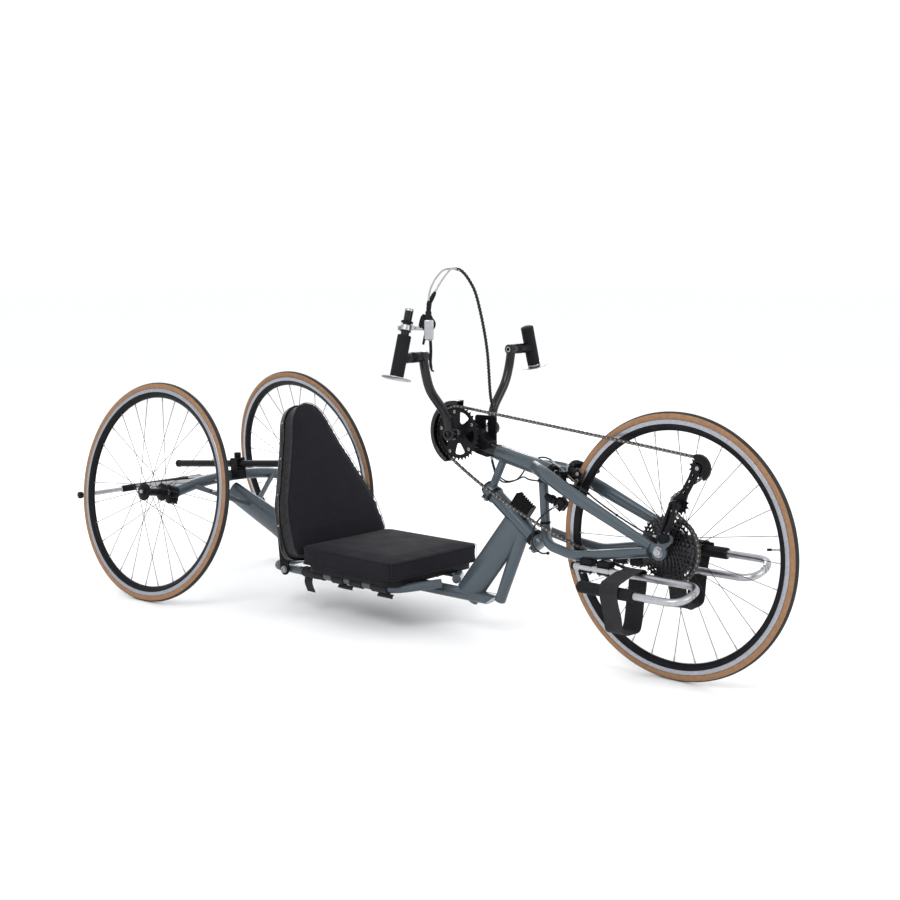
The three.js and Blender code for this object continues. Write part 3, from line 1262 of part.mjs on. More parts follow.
// A toothed disc whose teeth stand between the rollers of its wrapped run.
function sprocket(w, teeth, side, phase) {
  const radius = pitchRadius(teeth);
  const shape = new THREE.Shape();
  for (let i = 0; i < teeth; i++) {
    const middle = phase + i / teeth * tau;
    const root = radius - tooth.root;
    const spots = [
      [root, -tooth.rootHalf / root], [radius + tooth.tip, -tooth.tipHalf / radius],
      [radius + tooth.tip, tooth.tipHalf / radius],
      [root, tooth.rootHalf / root],
    ];
    for (const [r, offset] of spots) {
      const x = w.x + r * Math.cos(middle + offset);
      const z = w.z + r * Math.sin(middle + offset);
      if (i === 0 && offset === spots[0][1]) shape.moveTo(x, z);
      else shape.lineTo(x, z);
    }
  }
  return upright(shape, side - tooth.thickness / 2, side + tooth.thickness / 2, 1);
}

const around = (w, profile, count = facets.disc) => turned(profile, count, Y, point(w.x, 0, w.z));
const cogs = [sprocket(wheels.cog, cogTeeth, -cogSide, phaseOf(wheels.cog))];
const firstInner = -cogSide - cogSpacing;
const cone = [];
smallCogs.forEach((teeth, i) => {
  const at = firstInner - i * cogSpacing;
  cone.push(
    [pitchRadius(teeth), at + tooth.thickness / 2],
    [pitchRadius(teeth) - tooth.thickness, at - tooth.thickness / 2],
  );
});
const coneEnd = firstInner - smallCogs.length * cogSpacing + tooth.thickness / 2;
const coneRoot = pitchRadius(smallCogs[0]) - tooth.root;
const coneProfile = [[0, -cogSide], [coneRoot, -cogSide], [
  coneRoot, firstInner + tooth.thickness / 2,
], ...cone,
  [lockring.radius, coneEnd], [lockring.radius, coneEnd - lockring.length], [0, coneEnd - lockring.length]];
const axleBoreCut = rod(onFront(-dropout.inner), onFront(0), frontAxle.radius + runningGap, facets.small);
addMesh(
  "cassette", cut(join(around(wheels.cog, coneProfile.reverse(), facets.large), ...cogs), axleBoreCut),
  silver,
);

const pulley = (w) => {
  const body = sprocket(w, w.teeth, w.side, phaseOf(w));
  const pinHole = rod(
    point(w.x, w.side - chain.halfWidth * 2, w.z), point(w.x, w.side + chain.halfWidth * 2, w.z),
    derailleur.pinRadius + runningGap, facets.small,
  );
  return cut(
    join(
      body,
      rod(
        point(w.x, w.side - chain.halfWidth, w.z), point(w.x, w.side + chain.halfWidth, w.z),
        pitchRadius(w.teeth) * pulleyHubShare, facets.small,
      ),
    ),
    pinHole,
  );
};
addMesh("guide_pulley", pulley(wheels.guide), blackPlastic);
addMesh("tension_pulley", pulley(wheels.tension), blackPlastic);

// Chainring on its spider, a disc with one window between each two arms, round the spindle
const toothedRing = cut(sprocket(wheels.ring, ringTeeth, -ringSide, phaseOf(wheels.ring)),
  rod(
    atCrank(-ringSide - spider.thickness), atCrank(-ringSide + spider.thickness), spider.ringInner,
    facets.disc,
  ));
const spiderDisc = rod(atCrank(-ringSide - spider.thickness / 2), atCrank(-ringSide + spider.thickness / 2),
  spider.ringInner + tooth.root, facets.disc);
const windows = Array.from({ length: spider.arms }, (_, i) => {
  const middle = spider.firstWindow + i / spider.arms * tau;
  const corners = [
    [spider.windowInner, -cornerShare], [spider.windowOuter, -1], [spider.windowOuter * archShare, 0],
    [spider.windowOuter, 1],
    [spider.windowInner, cornerShare],
  ];
  const shape = outline(corners.map(([radius, side]) => {
    const angle = middle + side * spider.windowHalf;
    return [crankAxis.x + radius * Math.cos(angle), crankAxis.height + radius * Math.sin(angle)];
  }));
  return upright(shape, -ringSide - spider.thickness, -ringSide + spider.thickness);
});
const ringParts = [toothedRing, cut(spiderDisc, ...windows)];
const spindleHole = rod(atCrank(-crank.baseRight), atCrank(0), crank.spindleRadius + gap, facets.large);
addMesh("chainring", cut(join(...ringParts), spindleHole), blackMetal);

// Crank arms: both point the same way; the right one carries the spindle
const crankFeet = {
  right: { base: crank.baseRight, knee: crank.kneeRight },
  left: { base: crank.baseLeft, knee: crank.kneeLeft },
};
const spindleEnd = crank.baseLeft - crank.baseHalf * endShare;
for (const { sign, name } of sides) {
  const at = (side, height = 0) => point(crankAxis.x, sign * side, crankAxis.height + height);
  const { base, knee } = crankFeet[name];
  const path = [
    at(base), at(knee, crank.kneeHeight), at(crank.elbowSide, crank.elbowHeight),
    at(crank.shoulderSide, crank.shoulderHeight), at(crank.endSide, crank.length),
  ];
  const parts = [
    rod(at(base - crank.baseHalf), at(base + crank.baseHalf), crank.baseRadius, facets.large),
    tube(path, crank.radius, { bend: crank.bend, sideway: X }),
    rod(
      at(crank.endSide - crank.eyeHalf, crank.length), at(crank.endSide + crank.eyeHalf, crank.length),
      crank.eyeRadius,
    ),
    rod(at(crank.endSide, crank.length), at(grip.axleEnd, crank.length), grip.axleRadius, facets.small),
    rod(
      at(base + crank.baseHalf - gap), at(base + crank.baseHalf + crank.boltLength), crank.boltRadius,
      facets.small,
    ),
  ];
  const spindle = rod(atCrank(-crank.baseRight), atCrank(spindleEnd), crank.spindleRadius, facets.large);
  const socket = rod(atCrank(0), atCrank(spindleEnd + gap), crank.spindleRadius + gap, facets.large);
  addMesh(`crank_arm_${name}`, sign < 0 ? join(...parts, spindle) : cut(join(...parts), socket), blackMetal);
}

// Grips: each turns on its pedal axle; the right one carries the levers
const gripAxis = (sign) => point(0, -sign * Math.sin(grip.tilt), Math.cos(grip.tilt));
const gripCentre = (sign) => point(
  crankAxis.x, sign * grip.side, crankAxis.height + crank.length + grip.rise,
);
const onGrip = (sign, along) => gripCentre(sign).addScaledVector(gripAxis(sign), along);
for (const { sign, name } of sides) {
  const inner = crank.endSide + crank.eyeHalf + runningGap;
  const at = (side) => point(crankAxis.x, sign * side, crankAxis.height + crank.length);
  const parts = [
    rod(onGrip(sign, -grip.half), onGrip(sign, grip.half), grip.radius, facets.large),
    rod(
      onGrip(sign, -grip.half - grip.discThickness), onGrip(sign, -grip.half + gap), grip.discRadius,
      facets.disc,
    ),
    rod(at(inner), at(grip.side), grip.housingRadius, facets.middle),
  ];
  if (sign < 0) {
    parts.push(rod(
      onGrip(sign, grip.half - gap), onGrip(sign, grip.half + grip.postLength), grip.postRadius,
      facets.middle
    ));
    parts.push(rod(onGrip(sign, grip.half + grip.postLength - gap), onGrip(
      sign, grip.half + grip.postLength + grip.capLength,
    ),
      grip.capRadius, facets.large, grip.capRadius * smallShare));
  }
  const axleHole = rod(
    at(inner - cutOverrun), at(grip.axleEnd + runningGap), grip.axleRadius + runningGap, facets.small,
  );
  addMesh(`grip_${name}`, cut(join(...parts), axleHole), rubber);
}

// Brake and shift levers on the right grip's post
const leverWay = point(Math.cos(lever.heading), Math.sin(lever.heading), 0);
const leverSide = point(Math.sin(lever.heading), -Math.cos(lever.heading), 0);
const bandAt = (along) => onGrip(-1, lever.along + along);
const leverPost = rod(bandAt(-lever.reach), bandAt(lever.reach), grip.postRadius + gap, facets.middle);
const leverBand = rod(
  bandAt(-lever.bandHalf), bandAt(lever.bandHalf), grip.postRadius + gap + lever.bandWall, facets.large,
);
const bodyCentre = bandAt(0).addScaledVector(leverWay, lever.reach);
const onLever = (out, side, up) => bodyCentre.clone()
  .addScaledVector(leverWay, out).addScaledVector(leverSide, side).addScaledVector(Z, up);
const bodyTube = tube([
  onLever(lever.bodyDepth / 2, 0, -lever.bodyDrop), onLever(0, 0, lever.bodyRise),
], lever.bodyWidth,
  { halfDepth: lever.bodyDepth, sideway: leverSide, count: facets.small });
const neck = rod(
  bandAt(0).addScaledVector(leverWay, grip.postRadius), bodyCentre, lever.bodyDepth * slimShare,
  facets.small,
);
const boots = [-1, 1].map((s) => rod(onLever(0, s * lever.bootSpread, lever.bodyRise - cutOverrun),
  onLever(0, s * lever.bootSpread * leverShares.bootSpread, lever.bodyRise + lever.bootLength),
  lever.bootRadius, facets.middle,
  lever.bootRadius * smallShare));
const podBolt = rod(
  onLever(0, 0, lever.podRise), onLever(0, lever.bodyWidth + lever.podHalf * 2 + cutOverrun, lever.podRise),
  lever.pivotRadius, facets.small,
);
const bladeTop = [lever.bodyDepth / 2, 0, -lever.bodyDrop + lever.pivotRadius];
const bladePin = (radius, reach) => rod(
  onLever(bladeTop[0], -reach, bladeTop[2]), onLever(bladeTop[0], reach, bladeTop[2]), radius, facets.small,
);
const slotCut = tube([
  onLever(bladeTop[0], 0, -lever.bodyDrop * 2),
  onLever(bladeTop[0], 0, bladeTop[2] + lever.pivotRadius * leverShares.slot),
],
  lever.bladeHalfWidth + runningGap, { halfDepth: lever.bodyDepth * 3, sideway: leverSide, count: 4 });
const bracketBody = join(
  cut(join(leverBand, neck, bodyTube), slotCut),
  bladePin(lever.pivotRadius / 2, lever.bodyWidth * slimShare),
  ...boots, podBolt
);
addMesh("lever_bracket", cut(bracketBody, leverPost), blackMetal);
const bladePath = [onLever(...bladeTop), onLever(
  lever.bladeBow, 0, -lever.bodyDrop - lever.bladeLength * leverShares.bladeMiddle,
),
  onLever(
    lever.bladeBow * leverShares.bladeBow, 0, -lever.bodyDrop - lever.bladeLength * leverShares.bladeLow,
  ),
  onLever(-lever.bladeBow * leverShares.bladeTip, 0, -lever.bodyDrop - lever.bladeLength)];
const blade = tube(bladePath, [
  lever.bladeHalfWidth * slimShare, lever.bladeHalfWidth, lever.bladeHalfWidth * leverShares.bladeSwell,
  lever.tipHalfWidth,
],
  {
    halfDepth: [
      lever.bladeHalfDepth, lever.bladeHalfDepth, lever.bladeHalfDepth, lever.bladeHalfDepth * smallShare,
    ],
    bend: lever.bladeBend, sideway: leverSide, count: facets.fine,
  });
const bladeEye = bladePin(lever.pivotRadius, lever.bladeHalfWidth * leverShares.eye);
addMesh(
  "brake_lever",
  cut(join(blade, bladeEye), bladePin(lever.pivotRadius / 2 + runningGap, lever.bodyWidth * 2)),
  blackMetal,
);
const pod = rod(
  onLever(0, lever.bodyWidth + runningGap, lever.podRise),
  onLever(0, lever.bodyWidth + runningGap + lever.podHalf * 2, lever.podRise), lever.podRadius, facets.large,
);
const paddle = tube([
  onLever(0, lever.bodyWidth + lever.podHalf, lever.podRise - lever.podRadius * smallShare),
  onLever(
    lever.podRadius * leverShares.paddleOut, lever.bodyWidth + lever.podHalf,
    lever.podRise - lever.podRadius * leverShares.paddleDrop,
  ),
],
  lever.bladeHalfWidth, { halfDepth: lever.bladeHalfDepth, sideway: leverSide, count: facets.fine });
addMesh(
  "shift_lever",
  cut(
    join(pod, paddle),
    rod(
      onLever(0, 0, lever.podRise), onLever(0, lever.bodyWidth * 4, lever.podRise),
      lever.pivotRadius + runningGap, facets.small,
    ),
  ),
  blackMetal,
);

// Rear derailleur: body from the hanger to the cage pivot, then the cage with its two pulleys
const guideAt = (side) => point(guidePulley.x, side, guidePulley.height);
const tensionAt = (side) => point(tensionPulley.x, side, tensionPulley.height);
const cageNear = -cogSide + chain.halfWidth + derailleur.plateGap;
const cageFar = -cogSide - chain.halfWidth - derailleur.plateGap;
const cagePlate = (side, wide, slim) => {
  const way = tensionAt(0).sub(guideAt(0)).normalize();
  const across = point(-way.z, 0, way.x);
  const shape = outline([
    plateAt(guideAt(0).addScaledVector(across, wide).addScaledVector(way, -wide * smallShare)),
    plateAt(guideAt(0).addScaledVector(across, -wide).addScaledVector(way, -wide * smallShare)),
    plateAt(tensionAt(0).addScaledVector(across, -slim).addScaledVector(way, slim * slimShare)),
    plateAt(tensionAt(0).addScaledVector(across, slim).addScaledVector(way, slim * slimShare)),
  ]);
  return upright(shape, side - derailleur.plateWall / 2, side + derailleur.plateWall / 2);
};
const pivotStub = rod(
  guideAt(cageFar), guideAt(derailleur.pivotSide + runningGap * 2), derailleur.pivotRadius, facets.middle,
);
const cage = join(
  cagePlate(cageNear, derailleur.innerPlate, derailleur.innerPlate),
  cagePlate(cageFar, derailleur.outerPlate, derailleur.outerPlate * slimShare),
  rod(guideAt(cageNear), guideAt(cageFar), derailleur.pinRadius, facets.small),
  rod(tensionAt(cageNear), tensionAt(cageFar), derailleur.pinRadius, facets.small),
  pivotStub,
);
addMesh("derailleur_cage", cage, blackMetal);
const knuckleNear = cageFar - derailleur.plateWall / 2 - runningGap;
const knuckle = rod(
  guideAt(knuckleNear), guideAt(derailleur.pivotSide - derailleur.cap), derailleur.knuckleRadius,
  facets.middle,
);
const hangerAt = (side) => hanger.clone().setY(side);
const mountKnuckle = rod(
  hangerAt(-dropoutFace - runningGap), hangerAt(-dropoutFace - derailleur.knuckleLength),
  derailleur.knuckleRadius, facets.middle,
);
const boltStub = rod(
  hangerAt(-dropout.inner - cutOverrun), hangerAt(-dropoutFace - derailleur.knuckleLength),
  derailleur.boltRadius, facets.small,
);
const linkPath = [
  hangerAt(-dropoutFace - derailleur.knuckleLength * smallShare),
  guideAt(derailleur.pivotSide - derailleur.cap * linkShare),
];
const link = tube(
  linkPath, derailleur.linkHalfWidth,
  { halfDepth: derailleur.linkHalfDepth, sideway: Y, count: facets.fine },
);
const knuckleBore = rod(
  guideAt(knuckleNear + cutOverrun), guideAt(derailleur.pivotSide), derailleur.pivotRadius + runningGap,
  facets.middle,
);
addMesh("derailleur_body", cut(join(knuckle, mountKnuckle, boltStub, link), knuckleBore), blackMetal);

// A thin cable along its route points
const branch = (route) => tube(route.map(([x, y, z]) => point(x, y, z)), cable.branchRadius, {
  bend: cable.branchBend, sideway: point(...branchSideShares), count: facets.thin, steps: 1,
});

// Calliper brake over the front wheel
const brakeHeight = boom.frontHeight - brake.drop;
const brakeAngle = Math.atan2(brakeHeight - tyreRadius, brake.x - wheelbase);
const brakeOut = point(Math.cos(brakeAngle), 0, Math.sin(brakeAngle));
const brakeAlong = point(-Math.sin(brakeAngle), 0, Math.cos(brakeAngle));
const atBrake = (radius, side, along = 0) => frontCentre.clone()
  .addScaledVector(brakeOut, radius).addScaledVector(Y, side).addScaledVector(brakeAlong, along);
const bridgeRadius = tyreRadius + brake.rise;
const bridge = tube([
  atBrake(bridgeRadius, -brake.bridgeHalf), atBrake(bridgeRadius, brake.bridgeHalf),
], brake.bodyHeight / 2,
  { halfDepth: brake.bodyLength / 2, sideway: brakeOut, count: facets.fine });
const stem = rod(
  onBoom(boomLength + boom.plugLength + gap), atBrake(bridgeRadius, 0), brake.stemRadius, facets.small,
);
const pivotPin = (sign, radius, reach) => rod(
  atBrake(bridgeRadius, sign * brake.pivotSide, -reach),
  atBrake(bridgeRadius, sign * brake.pivotSide, reach), radius, facets.small,
);
const pins = sides.map(
  ({ sign }) => pivotPin(sign, brake.pinRadius, brake.bodyLength / 2 + brake.armRadius * 2 + cutOverrun)
);
addMesh("brake_body", cut(join(bridge, stem, ...pins), boomCutter), blackMetal);
for (const { sign, name } of sides) {
  const along = brake.bodyLength / 2 + runningGap + brake.armRadius;
  const armPoints = [
    atBrake(bridgeRadius + brake.armRise, sign * brake.armTopSide, along),
    atBrake(bridgeRadius, sign * brake.pivotSide, along),
    atBrake(
      tyreRadius - brake.padHeight / 2, sign * (brake.padSide + brake.padWall + brake.armRadius), along,
    ),
    atBrake(beadSeatRadius, sign * (brake.padSide + brake.padWall), along),
  ];
  const arm = tube(
    armPoints, brake.armRadius,
    { halfDepth: brake.armRadius * slimShare, bend: brake.armBend, count: facets.fine, steps: 2 },
  );
  const pad = tube([
    atBrake(
      beadSeatRadius - brake.padHeight * padShare, sign * (brake.padSide + brake.padWall / 2),
      along - brake.padLength / 2,
    ),
    atBrake(
      beadSeatRadius - brake.padHeight * padShare, sign * (brake.padSide + brake.padWall / 2),
      along + brake.padLength / 2,
    ),
  ], brake.padWall / 2, { halfDepth: brake.padHeight / 2, count: facets.fine });
  addMesh(
    `brake_arm_${name}`,
    cut(join(arm, pad), pivotPin(sign, brake.pinRadius + runningGap, brake.bodyLength * 2)), blackMetal,
  );
}
const parkHeight = boom.frontHeight - parkBrake.drop;
const postCutter = tube(postPath, strutPost.radius, { count: facets.middle, grow: gap });
const parkShape = join(
  block(
    parkBrake.length, parkBrake.width, parkBrake.half * 2, point(parkBrake.x, 0, parkHeight),
    -brakeAngle / 4,
  ),
  rod(
    point(strutPost.topX, 0, parkHeight + parkBrake.half), point(parkBrake.x, 0, parkHeight),
    parkBrake.half * smallShare, facets.small,
  ),
  branch(cable.parkBranch));
addMesh("parking_brake", largest(cut(parkShape, postCutter)), blackMetal);

// Footrests: bent hoops with their clamp blocks, foam sleeves and hanging straps
for (const { sign, name } of sides) {
  const right = sign < 0;
  const tilt = right ? footrest.tiltRight : footrest.tiltLeft;
  const frontX = right ? footrest.frontRightX : footrest.frontLeftX;
  const outerX = right ? footrest.outerRightX : footrest.outerLeftX;
  const innerX = right ? footrest.rearX : footrest.rearX + footrest.frontLeftX - footrest.frontRightX;
  const at = (x, across) => point(
    x, sign * (footrest.innerSide + across * Math.cos(tilt)), footrest.height + across * Math.sin(tilt),
  );
  const hoopPath = [at(innerX, 0), at(frontX, 0), at(frontX, footrest.span), at(outerX, footrest.span)];
  const hoop = tube(
    hoopPath, footrest.tubeRadius,
    { bend: footrest.bend, sideway: at(0, 1).sub(at(0, 0)), count: facets.small, steps: 3 },
  );
  const foam = rod(
    at(outerX, footrest.span), at(outerX + footrest.foamLength, footrest.span), footrest.foamRadius,
    facets.middle,
  );
  addMesh(`foot_hoop_${name}`, join(hoop, foam), silver);
  const strapX = right ? strap.x : strap.x + (footrest.frontLeftX - footrest.frontRightX) / 2;
  const inner = at(strapX, 0);
  const outer = at(strapX, footrest.span);
  const loopPoints = [];
  const arc = (centre, radius, from, to, steps) => {
    for (let i = 0; i <= steps; i++) {
      const angle = lerp(from, to, i / steps);
      loopPoints.push(new THREE.Vector2(
        Math.abs(centre.y) + radius * Math.cos(angle), centre.z + radius * Math.sin(angle)
      ));
    }
  };
  const quarter = Math.PI / 2;
  arc(outer, footrest.foamRadius + runningGap, quarter + tilt, -strap.lean, 5);
  const low = Math.min(inner.z, outer.z) - strap.drop;
  loopPoints.push(new THREE.Vector2(Math.abs(outer.y) - strap.draw, lerp(outer.z, low, strapShares.low)));
  loopPoints.push(new THREE.Vector2(Math.abs(outer.y) - strap.draw * strapShares.bottom, low + strap.crown));
  loopPoints.push(new THREE.Vector2(Math.abs(inner.y) + strap.draw * 2, low));
  loopPoints.push(new THREE.Vector2(
    Math.abs(inner.y) + strap.draw * strapShares.inner, lerp(inner.z, low, strapShares.low)
  ));
  arc(inner, footrest.tubeRadius + runningGap, quarter * 2 + strap.lean, quarter + tilt, 4);
  const normals = normalsOf(loopPoints.map((p) => [p.x, p.y]));
  const facing = normals[0][1] > 0 ? 1 : -1;
  const rings = loopPoints.map((p, i) => {
    const nx = normals[i][0] * facing * strap.wall;
    const nz = normals[i][1] * facing * strap.wall;
    return [[-1, 0], [1, 0], [1, 1], [-1, 1]].map(([a, b]) =>
      point(strapX + a * strap.width / 2, sign * (p.x + nx * b), p.y + nz * b));
  });
  addMesh(`foot_strap_${name}`, closedLoft(rings), fabric);
}

// Cables: the harness from the levers over the boom, and its two branches
const harness = tube(cable.harness.map(([x, y, z]) => point(x, y, z)), cable.harnessRadius,
  { bend: cable.harnessBend, sideway: X, count: cable.sides, steps: 1 });
addMesh("cables", join(harness, branch(cable.brakeBranch), branch(cable.gearBranch)), blackPlastic);

part.position.x = -(wheelbase + tyreRadius + safetyBar.x - safetyBar.sleeveRadius) / 2;

export default part;
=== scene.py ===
# The looks of a recumbent racing handcycle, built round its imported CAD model.
# Sizes are in millimetres, with x measured from the rear axles as in the CAD source; the frame's
# origin lies under the middle of the machine, so every mesh is moved by MIDDLE and scaled to metres.
from math import asin, atan2, cos, hypot, pi, radians, sin, sqrt

import bmesh
import bpy
from mathutils import Matrix, Vector, noise


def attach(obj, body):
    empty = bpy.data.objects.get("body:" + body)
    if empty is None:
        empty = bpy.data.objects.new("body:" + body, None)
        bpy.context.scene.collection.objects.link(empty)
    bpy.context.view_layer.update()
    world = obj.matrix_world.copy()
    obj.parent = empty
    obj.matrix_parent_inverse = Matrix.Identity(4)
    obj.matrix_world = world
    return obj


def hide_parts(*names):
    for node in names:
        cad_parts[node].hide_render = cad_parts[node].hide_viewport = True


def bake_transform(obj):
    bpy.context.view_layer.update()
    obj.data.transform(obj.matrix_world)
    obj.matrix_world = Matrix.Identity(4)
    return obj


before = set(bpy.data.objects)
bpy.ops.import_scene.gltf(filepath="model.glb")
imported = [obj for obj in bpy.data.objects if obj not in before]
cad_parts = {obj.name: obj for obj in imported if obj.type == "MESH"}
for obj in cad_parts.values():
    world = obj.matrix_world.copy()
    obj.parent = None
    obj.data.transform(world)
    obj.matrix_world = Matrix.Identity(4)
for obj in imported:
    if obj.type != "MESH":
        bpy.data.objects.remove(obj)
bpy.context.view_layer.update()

V = Vector
MM = 0.001
MIDDLE = 814.0
X = V((1, 0, 0))
Y = V((0, 1, 0))
Z = V((0, 0, 1))
TAU = 2 * pi
SIDES = ((-1, "right"), (1, "left"))


# Camera, light and floor. The camera was fitted to the outlines of the three wheels.
CAMERA_AT = (2.7756, -2.9642, 1.0610)
CAMERA_YAW, CAMERA_PITCH, CAMERA_ROLL = -0.7301, 0.1379, -0.0049
LENS, SENSOR_WIDTH = 58.08, 36
SKY, SKY_STRENGTH = (0.97, 0.98, 1, 1), 1.06
FLOOR_COLOUR, FLOOR_REACH = (0.96, 0.96, 0.96, 1), 30
LAMPS = (
    ("key", (1.2, -3.4, 3.6), (0, 0, 0.3), (2.4, 1.6), 75),
    ("rim", (-3.2, 2.8, 2.6), (0, 0, 0.4), (2.6, 1.4), 60),
    ("front", (4.2, 0.6, 2.2), (0.5, 0, 0.4), (1.6, 1.6), 30),
)


def add_camera():
    """Places the camera by its three angles."""
    level = cos(CAMERA_PITCH)
    way = V((level * sin(CAMERA_YAW), level * cos(CAMERA_YAW), -sin(CAMERA_PITCH)))
    right = way.cross(Z).normalized()
    up = right.cross(way)
    c, s = cos(CAMERA_ROLL), sin(CAMERA_ROLL)
    right, up = right * c + up * s, up * c - right * s
    data = bpy.data.cameras.new("camera")
    data.sensor_width = SENSOR_WIDTH
    data.lens = LENS
    data.clip_end = 60
    camera = bpy.data.objects.new("camera", data)
    camera.matrix_world = Matrix((*((right[i], up[i], -way[i], CAMERA_AT[i]) for i in range(3)), (0, 0, 0, 1)))
    bpy.context.collection.objects.link(camera)
    bpy.context.scene.camera = camera


def add_area(name, place, target, size, power):
    """A rectangular lamp that faces its target."""
    data = bpy.data.lights.new(name, "AREA")
    data.shape = "RECTANGLE"
    data.size, data.size_y = size
    data.energy = power
    light = bpy.data.objects.new(name, data)
    light.location = place
    light.rotation_euler = (V(target) - V(place)).to_track_quat("-Z", "Y").to_euler()
    bpy.context.collection.objects.link(light)


def add_studio():
    """White surroundings, three lamps and the pale floor, which belongs to the stage."""
    world = bpy.data.worlds.new("studio")
    world.use_nodes = True
    background = world.node_tree.nodes["Background"]
    background.inputs["Color"].default_value = SKY
    background.inputs["Strength"].default_value = SKY_STRENGTH
    bpy.context.scene.world = world
    bpy.context.scene.view_settings.view_transform = "Standard"
    for lamp in LAMPS:
        add_area(*lamp)
    mesh = bpy.data.meshes.new("floor")
    corners = ((-1, -1), (1, -1), (1, 1), (-1, 1))
    mesh.from_pydata([(FLOOR_REACH * x, FLOOR_REACH * y, 0) for x, y in corners], [], [(0, 1, 2, 3)])
    floor = bpy.data.objects.new("floor", mesh)
    bpy.context.collection.objects.link(floor)
    pale = bpy.data.materials.new("floor")
    pale.use_nodes = True
    shader = pale.node_tree.nodes["Principled BSDF"]
    shader.inputs["Base Color"].default_value = FLOOR_COLOUR
    shader.inputs["Roughness"].default_value = 1
    shader.inputs["Specular IOR Level"].default_value = 0
    mesh.materials.append(pale)


add_camera()
add_studio()


# Materials: every surface has its own colour spread and gloss spread, and those given a grain have relief
PLAIN_SPECKLE, GLOSS_CLOUDS, DARKER = 25, 18, 0.82


def finish(
    name, colour, rough, metal=0.0, coat=0.0, sheen=0.0, shine=0.5, speckle=None, grain=None, rough_spread=0.08,
    second=None):
    """A surface with its own colour spread, uneven gloss and, where a grain is given, fine relief; scales are
    per metre.
    """
    material = bpy.data.materials.new(name)
    material.use_nodes = True
    nodes, links = material.node_tree.nodes, material.node_tree.links
    shader = nodes["Principled BSDF"]
    shader.inputs["Metallic"].default_value = metal
    shader.inputs["Coat Weight"].default_value = coat
    shader.inputs["Coat Roughness"].default_value = 0.08
    shader.inputs["Sheen Weight"].default_value = sheen
    shader.inputs["Specular IOR Level"].default_value = shine
    place = nodes.new("ShaderNodeTexCoord").outputs["Object"]

    def clouds(scale, detail=3.0):
        node = nodes.new("ShaderNodeTexNoise")
        node.inputs["Scale"].default_value = scale
        node.inputs["Detail"].default_value = detail
        links.new(place, node.inputs["Vector"])
        return node.outputs["Fac"]

    def spread(fac, low, high):
        """Stretches the span in which most of a noise's values lie over low to high."""
        node = nodes.new("ShaderNodeMapRange")
        node.inputs["From Min"].default_value = 0.3
        node.inputs["From Max"].default_value = 0.7
        node.inputs["To Min"].default_value = low
        node.inputs["To Max"].default_value = high
        links.new(fac, node.inputs["Value"])
        return node.outputs["Result"]

    mix = nodes.new("ShaderNodeMixRGB")
    other = second or tuple(c * DARKER for c in colour)
    mix.inputs["Color1"].default_value = (*colour, 1)
    mix.inputs["Color2"].default_value = (*other, 1)
    links.new(spread(clouds(speckle or PLAIN_SPECKLE), 0, 1), mix.inputs["Fac"])
    links.new(mix.outputs["Color"], shader.inputs["Base Color"])
    gloss = spread(clouds(GLOSS_CLOUDS, 5), max(0.02, rough - rough_spread), rough + rough_spread)
    links.new(gloss, shader.inputs["Roughness"])
    if grain:
        kind, scale, depth = grain
        if kind == "noise":
            height = clouds(scale, 2)
        elif kind == "weave":
            height = weave(nodes, links, place, scale)
        else:
            node = nodes.new("ShaderNodeTexVoronoi")
            node.inputs["Scale"].default_value = scale
            links.new(place, node.inputs["Vector"])
            height = node.outputs["Distance"]
        relief = nodes.new("ShaderNodeBump")
        relief.inputs["Distance"].default_value = depth * MM
        relief.inputs["Strength"].default_value = 1
        links.new(height, relief.inputs["Height"])
        links.new(relief.outputs["Normal"], shader.inputs["Normal"])
    return material


def weave(nodes, links, place, threads):
    """Threads that cross in two slanting directions, as a height."""
    outs = []
    for way in ((1, 0.25, 1), (0.25, 1, -1)):
        turn = nodes.new("ShaderNodeVectorMath")
        turn.operation = "DOT_PRODUCT"
        turn.inputs[1].default_value = tuple(c * threads * TAU for c in way)
        links.new(place, turn.inputs[0])
        wave = nodes.new("ShaderNodeMath")
        wave.operation = "SINE"
        links.new(turn.outputs["Value"], wave.inputs[0])
        outs.append(wave.outputs[0])
    join = nodes.new("ShaderNodeMath")
    join.operation = "MULTIPLY"
    links.new(outs[0], join.inputs[0])
    links.new(outs[1], join.inputs[1])
    return join.outputs[0]


PAINT = finish(
    "frame_paint", (0.066, 0.086, 0.102), 0.34, metal=0.28, coat=0.3, shine=0.3, speckle=900,
    second=(0.055, 0.073, 0.087), grain=("noise", 900, 0.01))
PALE_PAINT = finish(
    "cap_paint", (0.20, 0.235, 0.26), 0.35, metal=0.3, coat=0.3, speckle=900, grain=("noise", 900, 0.01))
GLOSS_BLACK = finish(
    "gloss_black", (0.004, 0.004, 0.005), 0.2, coat=0.25, shine=0.2, speckle=40, second=(0.007, 0.007, 0.008),
    rough_spread=0.04)
SATIN_BLACK = finish(
    "satin_black", (0.004, 0.004, 0.005), 0.34, metal=0.1, shine=0.12, speckle=60, second=(0.008, 0.008, 0.010),
    grain=("noise", 2200, 0.008))
PLASTIC = finish(
    "black_plastic", (0.004, 0.004, 0.005), 0.44, shine=0.12, speckle=80, second=(0.008, 0.008, 0.009),
    grain=("noise", 1500, 0.02))
RUBBER = finish(
    "black_rubber", (0.008, 0.008, 0.008), 0.62, shine=0.12, speckle=120, second=(0.014, 0.014, 0.013),
    grain=("noise", 900, 0.05))
FOAM = finish(
    "black_foam", (0.006, 0.006, 0.007), 0.6, shine=0.12, speckle=500, second=(0.011, 0.011, 0.012),
    grain=("cell", 700, 0.18))
TREAD = finish(
    "tyre_tread", (0.014, 0.014, 0.014), 0.72, shine=0.3, speckle=200, second=(0.024, 0.023, 0.022),
    grain=("cell", 420, 0.12))
